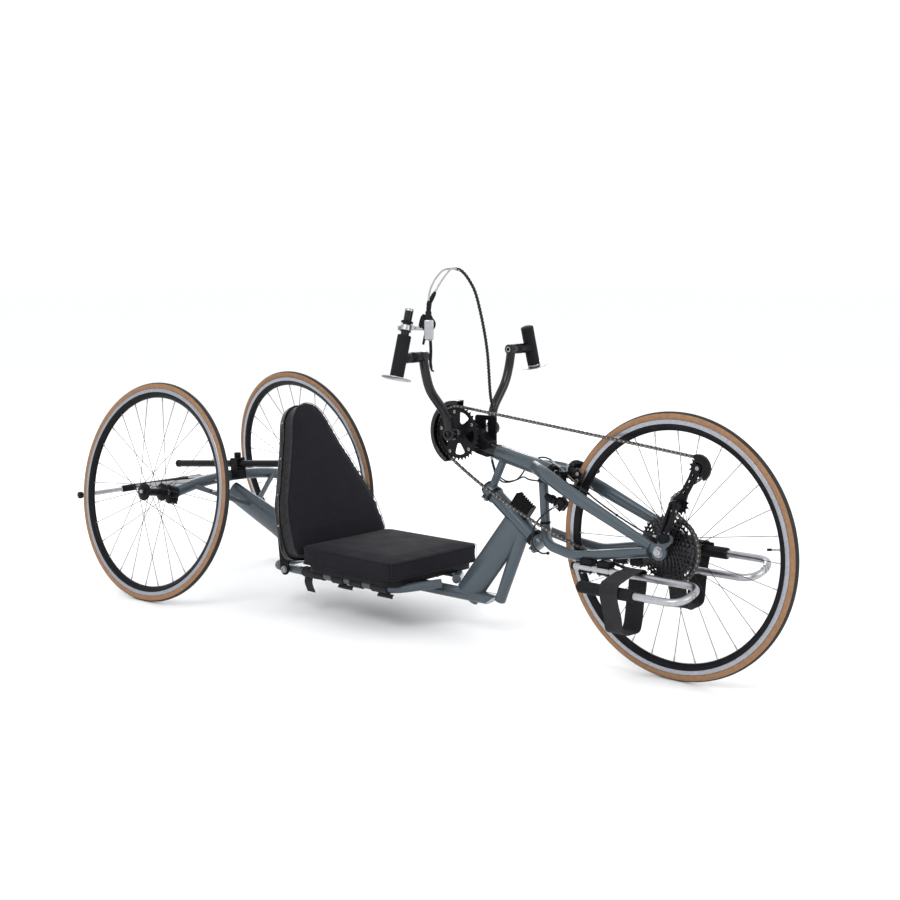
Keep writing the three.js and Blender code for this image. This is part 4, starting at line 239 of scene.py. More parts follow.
SIDEWALL = finish(
    "tyre_sidewall", (0.30, 0.165, 0.085), 0.66, shine=0.3, speckle=90, second=(0.235, 0.125, 0.062),
    grain=("weave", 1100, 0.05))
ALLOY = finish(
    "bare_alloy", (0.46, 0.46, 0.48), 0.36, metal=1.0, speckle=70, second=(0.38, 0.385, 0.40),
    grain=("noise", 1800, 0.006))
BRAKE_TRACK = finish(
    "brake_track", (0.40, 0.41, 0.45), 0.36, metal=1.0, speckle=240, second=(0.30, 0.31, 0.34),
    grain=("noise", 2600, 0.012))
STEEL = finish("bolt_steel", (0.42, 0.42, 0.42), 0.3, metal=1.0, speckle=120, second=(0.32, 0.32, 0.33))
CHAIN_STEEL = finish(
    "chain_steel", (0.125, 0.118, 0.11), 0.36, metal=1.0, speckle=300, second=(0.06, 0.055, 0.05),
    rough_spread=0.12)
COG_STEEL = finish("cog_steel", (0.055, 0.055, 0.058), 0.36, metal=0.9, speckle=160, second=(0.03, 0.03, 0.032))
CUSHION = finish(
    "cushion_cloth", (0.014, 0.014, 0.018), 0.85, sheen=0.04, shine=0.08, speckle=350,
    second=(0.008, 0.008, 0.011), grain=("weave", 420, 0.1))
BAND = finish(
    "cushion_side", (0.005, 0.005, 0.006), 0.5, shine=0.4, speckle=60, second=(0.010, 0.010, 0.012),
    grain=("weave", 700, 0.05))
PIPING = finish("piping", (0.007, 0.007, 0.009), 0.6, shine=0.3, speckle=200, grain=("weave", 900, 0.05))
WEBBING = finish(
    "webbing", (0.010, 0.010, 0.011), 0.8, shine=0.25, sheen=0.04, speckle=420, second=(0.017, 0.017, 0.019),
    grain=("weave", 560, 0.16))
THREAD = finish("thread", (0.04, 0.04, 0.045), 0.7, speckle=600)
HOUSING = finish(
    "cable_housing", (0.009, 0.009, 0.010), 0.4, shine=0.25, speckle=90, second=(0.016, 0.016, 0.017))
GREY_HOUSING = finish("grey_housing", (0.36, 0.35, 0.34), 0.42, speckle=90, second=(0.28, 0.27, 0.265))


# Shapes: plain helpers, and the class that gathers faces into one piece
def stations(points, bend, arc_steps=7):
    """Points and directions along straight runs whose corners are rounded, with the corner's number."""
    pts = [V(p) for p in points]
    out = [(pts[0], (pts[1] - pts[0]).normalized(), 0)]
    for i in range(1, len(pts) - 1):
        before, after = pts[i] - pts[i - 1], pts[i + 1] - pts[i]
        reach = min(bend, before.length * 0.49, after.length * 0.49)
        a = pts[i] - before.normalized() * reach
        b = pts[i] + after.normalized() * reach
        for k in range(arc_steps + 1):
            t = k / arc_steps
            p, q = a.lerp(pts[i], t), pts[i].lerp(b, t)
            out.append((p.lerp(q, t), (q - p).normalized(), i))
    out.append((pts[-1], (pts[-1] - pts[-2]).normalized(), len(pts) - 1))
    return out


def oval(centre, way, sideway, half_width, half_depth, count, square=1.0):
    """A ring across the way; square below 1 makes its sides flatter."""
    across = (sideway - way * sideway.dot(way)).normalized()
    up = way.cross(across)
    ring = []
    for i in range(count):
        angle = i / count * TAU
        c, s = cos(angle), sin(angle)
        c = abs(c) ** square * (1 if c >= 0 else -1)
        s = abs(s) ** square * (1 if s >= 0 else -1)
        ring.append(centre + across * half_width * c + up * half_depth * s)
    return ring


def smooth_path(points, steps=8):
    """A Catmull-Rom line through the given points."""
    pts = [V(p) for p in points]
    pts = [pts[0] * 2 - pts[1], *pts, pts[-1] * 2 - pts[-2]]
    out = []
    for i in range(1, len(pts) - 2):
        a, b, c, d = pts[i - 1:i + 3]
        for k in range(steps):
            t = k / steps
            doubled = 2 * b + (c - a) * t + (
                2 * a - 5 * b + 4 * c - d) * t * t + (3 * b - a - 3 * c + d) * t ** 3
            out.append(0.5 * doubled)
    out.append(pts[-2])
    return out


def line_frames(path, side):
    """Each point of a close-set line with its direction and a side that doesn't twist."""
    for i, p in enumerate(path):
        a, b = path[max(0, i - 1)], path[min(len(path) - 1, i + 1)]
        way = (b - a).normalized()
        side = (side - way * side.dot(way)).normalized()
        yield p, way, side


def in_frame(p):
    """A place of the source, in millimetres from the rear axles, as metres in the shared frame."""
    return ((p[0] - MIDDLE) * MM, p[1] * MM, p[2] * MM)


class Form:
    """Faces gathered for one piece, each with its material."""

    def __init__(self):
        self.verts, self.faces, self.marks, self.materials = [], [], [], []

    def add(self, verts, faces, material):
        """Takes in points and the faces between them."""
        base = len(self.verts)
        self.verts.extend(V(v) for v in verts)
        return self.add_faces(base, faces, material)

    def add_faces(self, base, faces, material):
        """Takes in faces whose points start at the number base."""
        if material not in self.materials:
            self.materials.append(material)
        self.faces.extend(tuple(base + i for i in face) for face in faces)
        self.marks.extend([self.materials.index(material)] * len(faces))
        return self

    def skin(self, rings, material, closed=False, bands=None):
        """A skin over rings of equal length; bands gives a material for some of the strips."""
        count = len(rings[0])
        strips = len(rings) if closed else len(rings) - 1
        flat = [v for ring in rings for v in ring]
        groups = {}
        for r in range(strips):
            chosen = bands[r] if bands and bands[r] else material
            for i in range(count):
                j = (i + 1) % count
                n = (r + 1) % len(rings) * count
                groups.setdefault(chosen, []).append((r * count + i, r * count + j, n + j, n + i))
        base = len(self.verts)
        self.verts.extend(V(v) for v in flat)
        if not closed:
            groups.setdefault(material, []).append(tuple(range(count))[::-1])
            last = (len(rings) - 1) * count
            groups[material].append(tuple(range(last, last + count)))
        for chosen, faces in groups.items():
            self.add_faces(base, faces, chosen)
        return self

    def tube(self, points, width, depth=None, bend=1, count=28, sideway=Y, material=None, steps=7, square=1.0):
        """An oval tube with rounded bends; its half sizes are one for all points or one for each."""
        pick = lambda value, i: value[i] if isinstance(value, (list, tuple)) else value
        depth = width if depth is None else depth
        line = stations(points, bend, steps)
        rings = [oval(at, way, sideway, pick(width, i), pick(depth, i), count, square) for at, way, i in line]
        return self.skin(rings, material)

    def hose(self, path, radius, material, count=10):
        """A round line that follows close-set points without twisting."""
        rings = [oval(p, way, side, radius, radius, count) for p, way, side in line_frames(path, Y)]
        return self.skin(rings, material)

    def turned(self, profile, start, way, material, count=40, closed=False, bands=None):
        """Profile of (radius, distance along the axis) pairs, spun round the axis."""
        start, way = V(start), V(way).normalized()
        side = way.orthogonal().normalized()
        rings = []
        for r, along in profile:
            rings.append(oval(start + way * along, way, side, max(r, 0.01), max(r, 0.01), count))
        return self.skin(rings, material, closed=closed, bands=bands)

    def rod(self, a, b, radius, material, count=28, end=None, edge=0.0):
        """A straight rod, with another radius at its end if one is given."""
        a, b = V(a), V(b)
        end = radius if end is None else end
        length = (b - a).length
        profile = [(radius, 0), (end, length)]
        if edge:
            soft = edge * 0.3
            profile = [(radius - edge, 0), (radius - soft, soft), (radius, edge)]
            profile += [(end, length - edge), (end - soft, length - soft), (end - edge, length)]
        return self.turned(profile, a, b - a, material, count)

    def box(self, centre, size, axes, material, edge=1.0):
        """A block with softened edges, its axes given as three directions."""
        u, v, w = (V(a).normalized() for a in axes)
        rings = []
        for level in (-1, 1):
            for inset in ((1, 0) if level < 0 else (0, 1)):
                reach_u = size[0] / 2 - edge * inset
                reach_v = size[1] / 2 - edge * inset
                height = level * (size[2] / 2 - edge * (1 - inset))
                ring = []
                for su, sv in ((1, 1), (-1, 1), (-1, -1), (1, -1)):
                    for k in range(3):
                        t = k / 2
                        cu, cv = (1 - t, t) if su * sv > 0 else (t, 1 - t)
                        across = u * su * (reach_u - edge * cu * 0.9)
                        along = v * sv * (reach_v - edge * cv * 0.9)
                        ring.append(V(centre) + w * height + across + along)
                rings.append(ring)
        return self.skin(rings, material)

    def plate(self, loops, thickness, material, origin, u, v, edge=0.4):
        """A flat plate from closed loops, the first the outline and the rest its holes."""
        curve = bpy.data.curves.new("plate", "CURVE")
        curve.dimensions = "2D"
        curve.fill_mode = "BOTH"
        for loop in loops:
            spline = curve.splines.new("POLY")
            spline.points.add(len(loop) - 1)
            for point, (a, b) in zip(spline.points, loop):
                point.co = (a, b, 0, 1)
            spline.use_cyclic_u = True
        curve.extrude = thickness / 2 - edge
        curve.bevel_depth = edge
        curve.bevel_resolution = 0
        curve.offset = -edge
        holder = bpy.data.objects.new("plate", curve)
        bpy.context.collection.objects.link(holder)
        mesh = bpy.data.meshes.new_from_object(holder.evaluated_get(bpy.context.evaluated_depsgraph_get()))
        u, v = V(u), V(v)
        w = u.cross(v)
        verts = [V(origin) + u * p.co.x + v * p.co.y + w * p.co.z for p in mesh.vertices]
        faces = [tuple(f.vertices) for f in mesh.polygons]
        bpy.data.objects.remove(holder)
        bpy.data.curves.remove(curve)
        bpy.data.meshes.remove(mesh)
        return self.add(verts, faces, material)

    def make(self, name, body=None, replaces=(), slot=None, sharp=32, matrix=None, offset=None):
        """The gathered faces as one object that rides its body and takes the place of its CAD node."""
        mesh = bpy.data.meshes.new(name)
        spots = self.verts
        if matrix is not None:
            spots = [matrix @ v for v in spots]
        if offset is not None:
            spots = [v + offset for v in spots]
        mesh.from_pydata([in_frame(v) for v in spots], [], self.faces)
        for material in self.materials:
            mesh.materials.append(material)
        mesh.polygons.foreach_set("material_index", self.marks)
        mesh.polygons.foreach_set("use_smooth", [True] * len(self.faces))
        work = bmesh.new()
        work.from_mesh(mesh)
        bmesh.ops.remove_doubles(work, verts=work.verts, dist=0.00001)
        bmesh.ops.recalc_face_normals(work, faces=work.faces)
        work.to_mesh(mesh)
        work.free()
        mesh.set_sharp_from_angle(angle=radians(sharp))
        made = bpy.data.objects.new(name, mesh)
        bpy.context.collection.objects.link(made)
        if body:
            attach(made, body)
        if replaces:
            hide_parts(*([replaces] if isinstance(replaces, str) else replaces))
        return made


def circle(radius, count, centre=(0, 0)):
    """Points on a flat circle."""
    angles = [i / count * TAU for i in range(count)]
    return [(centre[0] + radius * cos(a), centre[1] + radius * sin(a)) for a in angles]


def hex_bolt(form, at, way, radius, height):
    """A steel socket-head bolt whose head stands on the surface; its socket is a flat black hexagon of painted
    shade.
    """
    side = V(way).orthogonal().normalized()
    up = V(way).normalized().cross(side)
    head = [(radius * 0.92, 0), (radius, height * 0.2), (radius, height * 0.8), (radius * 0.86, height)]
    form.turned(head, at, way, STEEL, 20)
    # Painted shade: the socket's recess is not cut. A flat black hexagon lies on the head in its place.
    top = V(at) + V(way).normalized() * (height + 0.05)
    ring = [top + side * radius * 0.5 * c + up * radius * 0.5 * s for c, s in circle(1, 6)]
    form.add(ring, [tuple(range(6))], SATIN_BLACK)


# Wheels: tyre, rim and hub are drawn round the y axis and then placed
BEAD = 311.0
TYRE_WIDTH = 23.0
TYRE = BEAD + TYRE_WIDTH
RIM_INNER = 287.5
RIM_LIP = BEAD + 4.5
CAMBER = radians(8.7)
TOE = radians(2.7)
HUB_SPACING = 623.0
WHEELBASE = 1675.0
SPOKES = 28
ROUND = 168


def tyre_form():
    """A thin tyre whose tread stands a little proud of its woven sides."""
    form = Form()
    middle = TYRE - TYRE_WIDTH / 2
    half = TYRE_WIDTH / 2
    low = asin((RIM_LIP + 0.5 - middle) / half)
    profile, bands = [(BEAD + 1, 7.4), (RIM_LIP + 0.3, 7.5)], [SIDEWALL, SIDEWALL]
    steps, tread_edge, shoulder = 26, 0.70, 0.78
    for i in range(steps + 1):
        angle = low + (pi - 2 * low) * i / steps
        across = abs(cos(angle))
        tread = across < tread_edge
        swell = 0.35 if tread else (0.12 if across < shoulder else 0)
        profile.append((middle + sin(angle) * (half - 0.35 + swell), cos(angle) * (half - 0.35 + swell)))
        bands.append(TREAD if tread and i < steps else SIDEWALL)
    profile += [(RIM_LIP + 0.3, -7.5), (BEAD + 1, -7.4)]
    bands += [SIDEWALL] * 2
    return form.turned(profile, (0, 0, 0), Y, SIDEWALL, ROUND, closed=True, bands=bands)


def rim_form():
    """A black rim with a bright brake track on each side, and its valve."""
    form = Form()
    side = [
        (RIM_INNER, 0), (RIM_INNER + 0.4, 2.6), (RIM_INNER + 2.2, 5.0), (RIM_INNER + 7, 7.4),
        (RIM_INNER + 13, 9.2), (BEAD - 7.2, 9.75), (BEAD - 6.8, 9.6), (BEAD - 6.4, 9.85), (RIM_LIP - 0.8, 9.95),
        (RIM_LIP, 9.3), (RIM_LIP, 8.2), (BEAD + 0.5, 7.9), (BEAD - 1.5, 7.4)]
    track = [SATIN_BLACK] * 7 + [BRAKE_TRACK] * 4 + [SATIN_BLACK]
    profile = side + [(r, -a) for r, a in reversed(side[1:])]
    bands = track + [SATIN_BLACK] + track[::-1]
    form.turned(profile, (0, 0, 0), Y, SATIN_BLACK, ROUND, closed=True, bands=bands)
    valve = 0.5 / SPOKES * TAU
    out = V((cos(valve), 0, sin(valve)))
    form.rod(out * (RIM_INNER - 24), out * (RIM_INNER + 4), 2.6, STEEL, 14, edge=0.4)
    form.rod(out * (RIM_INNER - 34), out * (RIM_INNER - 22), 3.2, PLASTIC, 14, end=3.4, edge=0.8)
    form.rod(out * (RIM_INNER - 1.2), out * (RIM_INNER + 2), 4.6, STEEL, 6)
    return form


def hub_form(right, left, flange_radius, shell, end_right, end_left, bore):
    """A hub with two flanges and its crossed spokes; right and left are the flanges' distances."""
    form = Form()
    wall = 2.4

    def half(flange, end):
        """From the waist of the shell over the flange to the axle's end."""
        rim = flange_radius
        return [
            (shell * 0.82, flange - wall * 5), (shell, flange - wall * 2.2), (rim - 1.2, flange - wall),
            (rim, flange - wall + 0.8), (rim, flange + wall - 0.8), (rim - 1.2, flange + wall),
            (shell, flange + wall * 2), (shell, end - 5), (shell * 0.78, end - 4), (shell * 0.78, end - 1),
            (shell * 0.72, end), (bore, end),
        ]

    profile = [(r, -a) for r, a in reversed(half(right, end_right))] + half(left, end_left)
    form.turned(profile, (0, 0, 0), Y, SATIN_BLACK, 48, closed=True)
    cross = radians(62)
    for i in range(SPOKES):
        on_left = i % 2 == 1
        lead = 1 if i % 4 < 2 else -1
        rim_angle = i / SPOKES * TAU
        hub_angle = rim_angle + lead * cross
        flange = (left if on_left else -right) + lead * 1.8
        at = lambda r, a, y: V((r * cos(a), y, r * sin(a)))
        start = at(flange_radius - 3.2, hub_angle, flange)
        stop = at(RIM_INNER + 2, rim_angle, 1.6 if on_left else -1.6)
        way = (stop - start).normalized()
        form.rod(start, start + way * 22, 1.0, SATIN_BLACK, 8, end=0.85)
        form.tube([start + way * 22, stop - way * 12], 0.85, 0.85, count=8, sideway=Y, material=SATIN_BLACK)
        form.rod(stop - way * 15, stop, 1.8, STEEL, 8, edge=0.3)
        axis = Y if flange > 0 else -Y
        form.rod(start - axis * lead * 2.6, start + axis * lead * 0.4, 1.9, SATIN_BLACK, 8, edge=0.5)
    return form


REAR_HEIGHT = TYRE_WIDTH / 2 + (TYRE - TYRE_WIDTH / 2) * cos(CAMBER)


def axle_axis(sign):
    """The leaning and slightly toed axle of a rear wheel."""
    return V((sign * sin(TOE) * cos(CAMBER), cos(TOE) * cos(CAMBER), sign * sin(CAMBER)))


tyre_shape, rim_shape = tyre_form(), rim_form()
rear_hub_shape = hub_form(right=36, left=34, flange_radius=27, shell=15, end_right=44, end_left=40, bore=6.6)
front_hub_shape = hub_form(right=19, left=33, flange_radius=23, shell=15, end_right=24, end_left=67, bore=5.2)
KINDS = (("tyre", "tyre_rubber"), ("rim", "black_metal"), ("hub", "black_metal"))
for sign, side in SIDES:
    inward = axle_axis(sign) * -sign
    spot = V((0, sign * HUB_SPACING / 2, REAR_HEIGHT))
    turn = Y.rotation_difference(inward).to_matrix()
    body = f"rear_wheel_{side}"
    for shape, (kind, slot) in zip((tyre_shape, rim_shape, rear_hub_shape), KINDS):
        shape.make(f"rear_{kind}_look_{side}", body, f"rear_{kind}_{side}", slot, matrix=turn, offset=spot)
    button_profile = [
        (0.1, -41.6), (5.6, -41.6), (5.9, -42.2), (5.9, -47.6), (4.9, -49.6), (2.2, -50.2), (0.1, -50.3)]
    button = Form().turned(button_profile, (0, 0, 0), Y, ALLOY, 28)
    button.make(
        f"release_button_look_{side}", f"button_{side}", f"release_button_{side}", "silver_metal", matrix=turn,
        offset=spot)

front_spot = V((WHEELBASE, 0, TYRE))
for shape, (kind, slot) in zip((tyre_shape, rim_shape, front_hub_shape), KINDS):
    shape.make(f"front_{kind}_look", "front_wheel", f"front_{kind}", slot, offset=front_spot)


# Frame tubes and the steering axis, which leans back through the head tube
def cut_by_plane(made, at, way, material):
    """Takes away what lies beyond a plane and closes the cut with its own material."""
    at = V(in_frame(at))
    work = bmesh.new()
    work.from_mesh(made.data)
    parts = work.verts[:] + work.edges[:] + work.faces[:]
    done = bmesh.ops.bisect_plane(work, geom=parts, plane_co=at, plane_no=V(way), clear_outer=True)
    rim = [e for e in done["geom_cut"] if isinstance(e, bmesh.types.BMEdge)]
    new = bmesh.ops.holes_fill(work, edges=rim, sides=0)["faces"]
    made.data.materials.append(material)
    for face in new:
        face.material_index = len(made.data.materials) - 1
        face.smooth = False
    for edge in rim:
        edge.smooth = False
    work.to_mesh(made.data)
    work.free()


FOOT_HEIGHT = 111.0
STEER_TOP, STEER_BOTTOM = V((1081, 0, 415)), V((1257, 0, 286))
STEER_DOWN = (STEER_BOTTOM - STEER_TOP).normalized()
STEER_OUT = V((-STEER_DOWN.z, 0, STEER_DOWN.x))
STEER_LENGTH = (STEER_BOTTOM - STEER_TOP).length
HEAD_START, HEAD_END = 19.0, STEER_LENGTH - 22
GAP, CLAMP_HALF = 0.3, 13


def along_steering(distance):
    """A place on the steering axis, measured down from the top of the head tube."""
    return STEER_TOP + STEER_DOWN * distance


# Cross tube, its braces and the arched spine
cross_path = [(0, -236, 318), (0, -131, 340), (0, 0, 346), (0, 131, 340), (0, 236, 318)]
cross = Form().tube(cross_path, 17.5, bend=59, sideway=X, material=PAINT, count=36)
for sign, side in SIDES:
    cross.tube([(8, sign * 165, 332), (100, sign * 12, 260)], 8, count=24, sideway=Z, material=PAINT)
cross.make("rear_cross_tube_look", "frame", "rear_cross_tube", "frame_paint")

spine_path = [(5, 0, 292), (240, 0, 203), (390, 0, FOOT_HEIGHT), (1140, 0, FOOT_HEIGHT)]
spine = Form().tube(
    spine_path, [20, 20, 24, 24], [33, 39, 16.5, 16.5], bend=90, count=44, material=PAINT, steps=10)
spine_look = spine.make("main_spine_look", "frame", "main_spine", "frame_paint")
tip_lean = atan2(45, 33)
cut_by_plane(spine_look, (1095.5, 0, FOOT_HEIGHT), (cos(tip_lean), 0, -sin(tip_lean)), PALE_PAINT)

down = Form().tube([(1000, 0, FOOT_HEIGHT), (1176, 0, 334)], 19, 40, count=48, material=PAINT)
down.make("down_tube_look", "frame", "down_tube", "frame_paint")
front_strut = Form().tube([(1117, 0, FOOT_HEIGHT), (1198, 0, 314)], 16, [15, 20], count=40, material=PAINT)
front_strut.make("front_strut_look", "frame", "front_strut", "frame_paint")

head = Form()
low, high = HEAD_START, HEAD_END
head.turned([
    (17, low), (23, low), (24, low + 1), (24, low + 9.5), (23, low + 11), (21.4, low + 11.4), (21, low + 13),
    (21, high - 13), (21.4, high - 11.4), (23, high - 11), (24, high - 9.5), (24, high - 1), (23, high),
    (17, high)
], STEER_TOP, STEER_DOWN, PAINT, 48, closed=True)
for start in (low - 0.2, high - 9.8):
    head.turned(
        [(24.05, start), (24.35, start + 0.6), (24.35, start + 9.2), (24.05, start + 10)], STEER_TOP,
        STEER_DOWN, SATIN_BLACK, 48)
head.make("head_tube_look", "frame", "head_tube", "frame_paint")

rail_path = [
    (930, -32, 137), (850, -140, 125), (352, -140, 125), (352, 140, 125), (850, 140, 125), (930, 32, 137)]
rails = Form().tube(rail_path, 12.5, bend=42, sideway=Z, count=30, material=PAINT, steps=9)
rails.make("seat_rails_look", "frame", "seat_rails", "frame_paint")


# Axle clamps: a split black block round the tube's end, its pinch bolts, the collar and the axle
inner = -59
for sign, side in SIDES:
    outward = axle_axis(sign) * sign
    centre = V((0, sign * HUB_SPACING / 2, REAR_HEIGHT))
    on_axle = lambda distance: centre + outward * distance
    clamp = Form()
    clamp.rod(on_axle(inner - 26), on_axle(inner), 23, SATIN_BLACK, 44, edge=1.6)
    clamp.rod(on_axle(inner - 26) - Z * 20, on_axle(inner) - Z * 20, 16, SATIN_BLACK, 32, edge=1.6)
    clamp.rod(on_axle(inner - 30), on_axle(inner - 24), 20.5, SATIN_BLACK, 40, edge=1)
    clamp.turned(
        [
            (9, inner - 2), (9, inner + 6), (11.5, inner + 7), (11.5, inner + 13), (8.6, inner + 14),
            (8.6, -40.6)], centre, outward, ALLOY, 32)
    clamp.rod(on_axle(inner - 2), on_axle(38), 5.9, ALLOY, 24, edge=0.5)
    for step in (-19, -7):
        for way in (X, -X):
            hex_bolt(clamp, on_axle(inner + step) - Z * 33 + way * 9, way, 3.6, 7.5)
    clamp.make(f"axle_clamp_look_{side}", "frame", f"axle_clamp_{side}", "black_metal")


# Safety bar: a thin bright bar, thicker in the middle, with end plugs and two stays
BAR_X, BAR_Z = -370, 281
bar_at = lambda side: V((BAR_X, side, BAR_Z))
bar = Form()
bar.rod(bar_at(-318), bar_at(318), 8, ALLOY, 28)
bar.rod(bar_at(-160), bar_at(160), 11, PLASTIC, 32, edge=1.2)
for sign, side in SIDES:
    bar.rod(bar_at(sign * 318), bar_at(sign * 330), 11, PLASTIC, 28, edge=2)
    bar.rod(bar_at(sign * 156), bar_at(sign * 166), 9.2, SATIN_BLACK, 28, edge=0.8)
    bar.tube([(10, sign * 108, 342), (BAR_X, sign * 108, BAR_Z)], 9, count=28, material=ALLOY)
    bar.rod((-20, sign * 108, 337.2), (-31, sign * 108, 335.4), 10.2, SATIN_BLACK, 28, edge=1)
bar.make("safety_bar_look", "frame", "safety_bar", "silver_metal")


# Recline bar behind the backrest, the clamp that it slides through and the clamp's knob
BAR_SLOPE = 0.093
bar_height = lambda x: 357 + BAR_SLOPE * (x + 270)
recline = Form()
recline.rod((-270, 0, 357), (322, 0, bar_height(322)), 11, SATIN_BLACK, 32)
recline.turned(
    [(9.5, -11), (11.6, -10), (12.2, -8), (12.2, -0.5), (11, 0)], (-270, 0, 357), V((1, 0, BAR_SLOPE)), PLASTIC,
    32)
recline.rod((334, -12, bar_height(334)), (334, 12, bar_height(334)), 13, SATIN_BLACK, 32, edge=1)
recline.make("recline_bar_look", "reclining_bar", "recline_bar", "black_metal")

clamp_x = 27
clamp_top = bar_height(clamp_x) + 18.5
recline_clamp = Form()
slope = V((1, 0, BAR_SLOPE)).normalized()
lean = V((-BAR_SLOPE, 0, 1)).normalized()
middle = V((clamp_x, 0, bar_height(clamp_x)))
for sign in (-1, 1):
    recline_clamp.box(
        middle + Y * sign * 14.6 - lean * 14, (34, 5, 62), (slope, Y, lean), SATIN_BLACK, edge=1.2)
recline_clamp.box(middle + lean * 15.6, (34, 34, 6.5), (slope, Y, lean), SATIN_BLACK, edge=1.4)
recline_clamp.box(middle - lean * 33, (34, 34, 31), (slope, Y, lean), SATIN_BLACK, edge=1.4)
knob_at = V((clamp_x, 0, clamp_top - 1))
for i in range(10):
    rib = knob_at + V((cos(i / 10 * TAU), sin(i / 10 * TAU), 0)) * 8.6
    recline_clamp.rod(rib + Z * 3, rib + Z * 17.6, 2.6, PLASTIC, 12, edge=0.8)
recline_clamp.rod(knob_at, knob_at + Z * 18.8, 9.4, PLASTIC, 32, edge=1.6)
recline_clamp.make("recline_clamp_look", "frame", "recline_clamp", "black_metal")


# Steering damper: a ribbed rubber block between two end plates, saddled on the head tube
damper = Form()
damper_at = lambda along, out: along_steering(along) + STEER_OUT * out
damper_axes = (STEER_DOWN, Y, STEER_OUT)
DAMPER_MIDDLE = 112
for i in range(7):
    along = DAMPER_MIDDLE + (i - 3) * 7.6
    damper.box(damper_at(along, 42.5), (5.4, 23.6, 42), damper_axes, RUBBER, edge=1.6)
damper.box(damper_at(DAMPER_MIDDLE, 41), (52, 19.5, 38), damper_axes, RUBBER, edge=1)
for along in (83.4, 140.6):
    damper.box(damper_at(along, 41.5), (4.6, 23.8, 44), damper_axes, SATIN_BLACK, edge=1)
hex_bolt(damper, damper_at(83.4, 50) - STEER_DOWN * 2, -STEER_DOWN, 4, 4)
damper.make("steering_damper_look", "frame", "steering_damper", "black_plastic")


# Fork and boom
BOOM_REAR, BOOM_FRONT = V((1112, 0, 519)), V((1290, 0, 483))
BOOM_WAY = (BOOM_FRONT - BOOM_REAR).normalized()
BOOM_UP = V((-BOOM_WAY.z, 0, BOOM_WAY.x))
BOOM_LENGTH = (BOOM_FRONT - BOOM_REAR).length
CRANK = V((1006, 0, 567))
on_boom = lambda distance: BOOM_REAR + BOOM_WAY * distance
at_crank = lambda side, x=0, z=0: CRANK + V((x, side, z))

boom = Form()
boom.turned([(20.4, -0.2), (21.4, 0.2), (22, 1.2), (22, BOOM_LENGTH)], BOOM_REAR, BOOM_WAY, PAINT, 44)
boom.turned([
    (21.2, BOOM_LENGTH - 1), (20, BOOM_LENGTH), (20, BOOM_LENGTH + 9.5), (18.4, BOOM_LENGTH + 12),
    (14, BOOM_LENGTH + 12), (13, BOOM_LENGTH + 8), (0.1, BOOM_LENGTH + 8)
], BOOM_REAR, BOOM_WAY, SATIN_BLACK, 44)
boom.make("boom_look", "fork", "boom", "frame_paint")

# Crank housing: the shell, the block behind it, the insert in the boom and the chain guard
housing = Form()
housing.turned(
    [(13, -34), (22, -34), (23, -33), (23, 33), (22, 34), (13, 34)], CRANK, Y, SATIN_BLACK, 48, closed=True)
for sign in (-1, 1):
    housing.turned(
        [(12.8, 29.6), (20.5, 29.6), (20.5, 34.6), (19.4, 35.6), (12.8, 35.6)], CRANK, Y * sign, SATIN_BLACK,
        36, closed=True)
insert_rear = on_boom(-64)
corner = lambda along, up: insert_rear + BOOM_WAY * along + BOOM_UP * up
block_corners = [corner(0, -20), corner(40, -20), corner(40, 20), CRANK + V((23, 0, 21)), CRANK + V((0, 0, 21))]
block_points = [(p.x, p.z) for p in (CRANK - V((11, 0, 18)), *block_corners)]
housing.plate([block_points], 38, SATIN_BLACK, (0, 0, 0), X, Z, edge=2)
housing.rod(insert_rear, on_boom(12), 20, GLOSS_BLACK, 44)
for along in (10, 28):
    for side in (-9, 9):
        hex_bolt(housing, corner(along, 20) + Y * side, BOOM_UP, 4, 3)

# The guard is a C-shaped channel that opens towards the machine's middle
GUARD_SECTION = [
    (85.4, -33.2), (85.4, -57), (84.4, -58), (77.4, -58), (76.4, -58.6), (76.4, -59.2), (77.4, -60), (87, -60),
    (88.4, -59.4), (89, -58), (89, -33.4), (88.4, -31.2), (60, -31.2), (59.4, -31.8), (59.4, -32.6), (60, -33.2)
]
GUARD_FROM, GUARD_TO = 84, 246
guard_rings = []
for k in range(49):
    a = radians(GUARD_FROM + (GUARD_TO - GUARD_FROM) * k / 48)
    out = V((cos(a), 0, sin(a)))
    guard_rings.append([CRANK + out * r + Y * y for r, y in GUARD_SECTION])
housing.skin(guard_rings, GLOSS_BLACK)
for a in (112, 165, 218):
    out = V((cos(radians(a)), 0, sin(radians(a))))
    up = V((-out.z, 0, out.x))
    housing.box(CRANK + out * 41 + Y * -32.2, (42, 15, 3), (out, up, out.cross(up)), SATIN_BLACK, edge=0.8)
    for radius in (60, 27):
        hex_bolt(housing, CRANK + out * radius + Y * -33.6, -Y, 3.4, 2.4)


def rounded(x0, x1, z0, z1, corner, count=5):
    """A rectangle with round corners."""
    pts = []
    left, right, low, high = x0 + corner, x1 - corner, z0 + corner, z1 - corner
    for cx, cz, start in ((right, high, 0), (left, high, 90), (left, low, 180), (right, low, 270)):
        for k in range(count + 1):
            a = radians(start + 90 * k / count)
            pts.append((cx + corner * cos(a), cz + corner * sin(a)))
    return pts


# The upright cable bracket on the left of the block, with its slot
housing.plate(
    [rounded(1011, 1086, 520, 612, 9), rounded(1048, 1057, 563, 600, 3)], 5.3, SATIN_BLACK, (0, 21.35, 0), X, Z,
    edge=0.6)
for z in (538, 556):
    hex_bolt(housing, (1030, 24, z), Y, 3.6, 3)
housing.make("crank_housing_look", "fork", "crank_housing", "black_metal")

# Upper legs with their dropouts
leg_path = lambda s: [(1246, s * 12, 492), (1300, s * 47, 487), (1380, s * 62, 455), (1650, s * 73, 345)]
HANGER = V((1694, 0, 372))
AXLE = V((WHEELBASE, 0, TYRE))
DROPOUT, DROPOUT_SIDE = 21.0, 71.5
toward = HANGER - AXLE


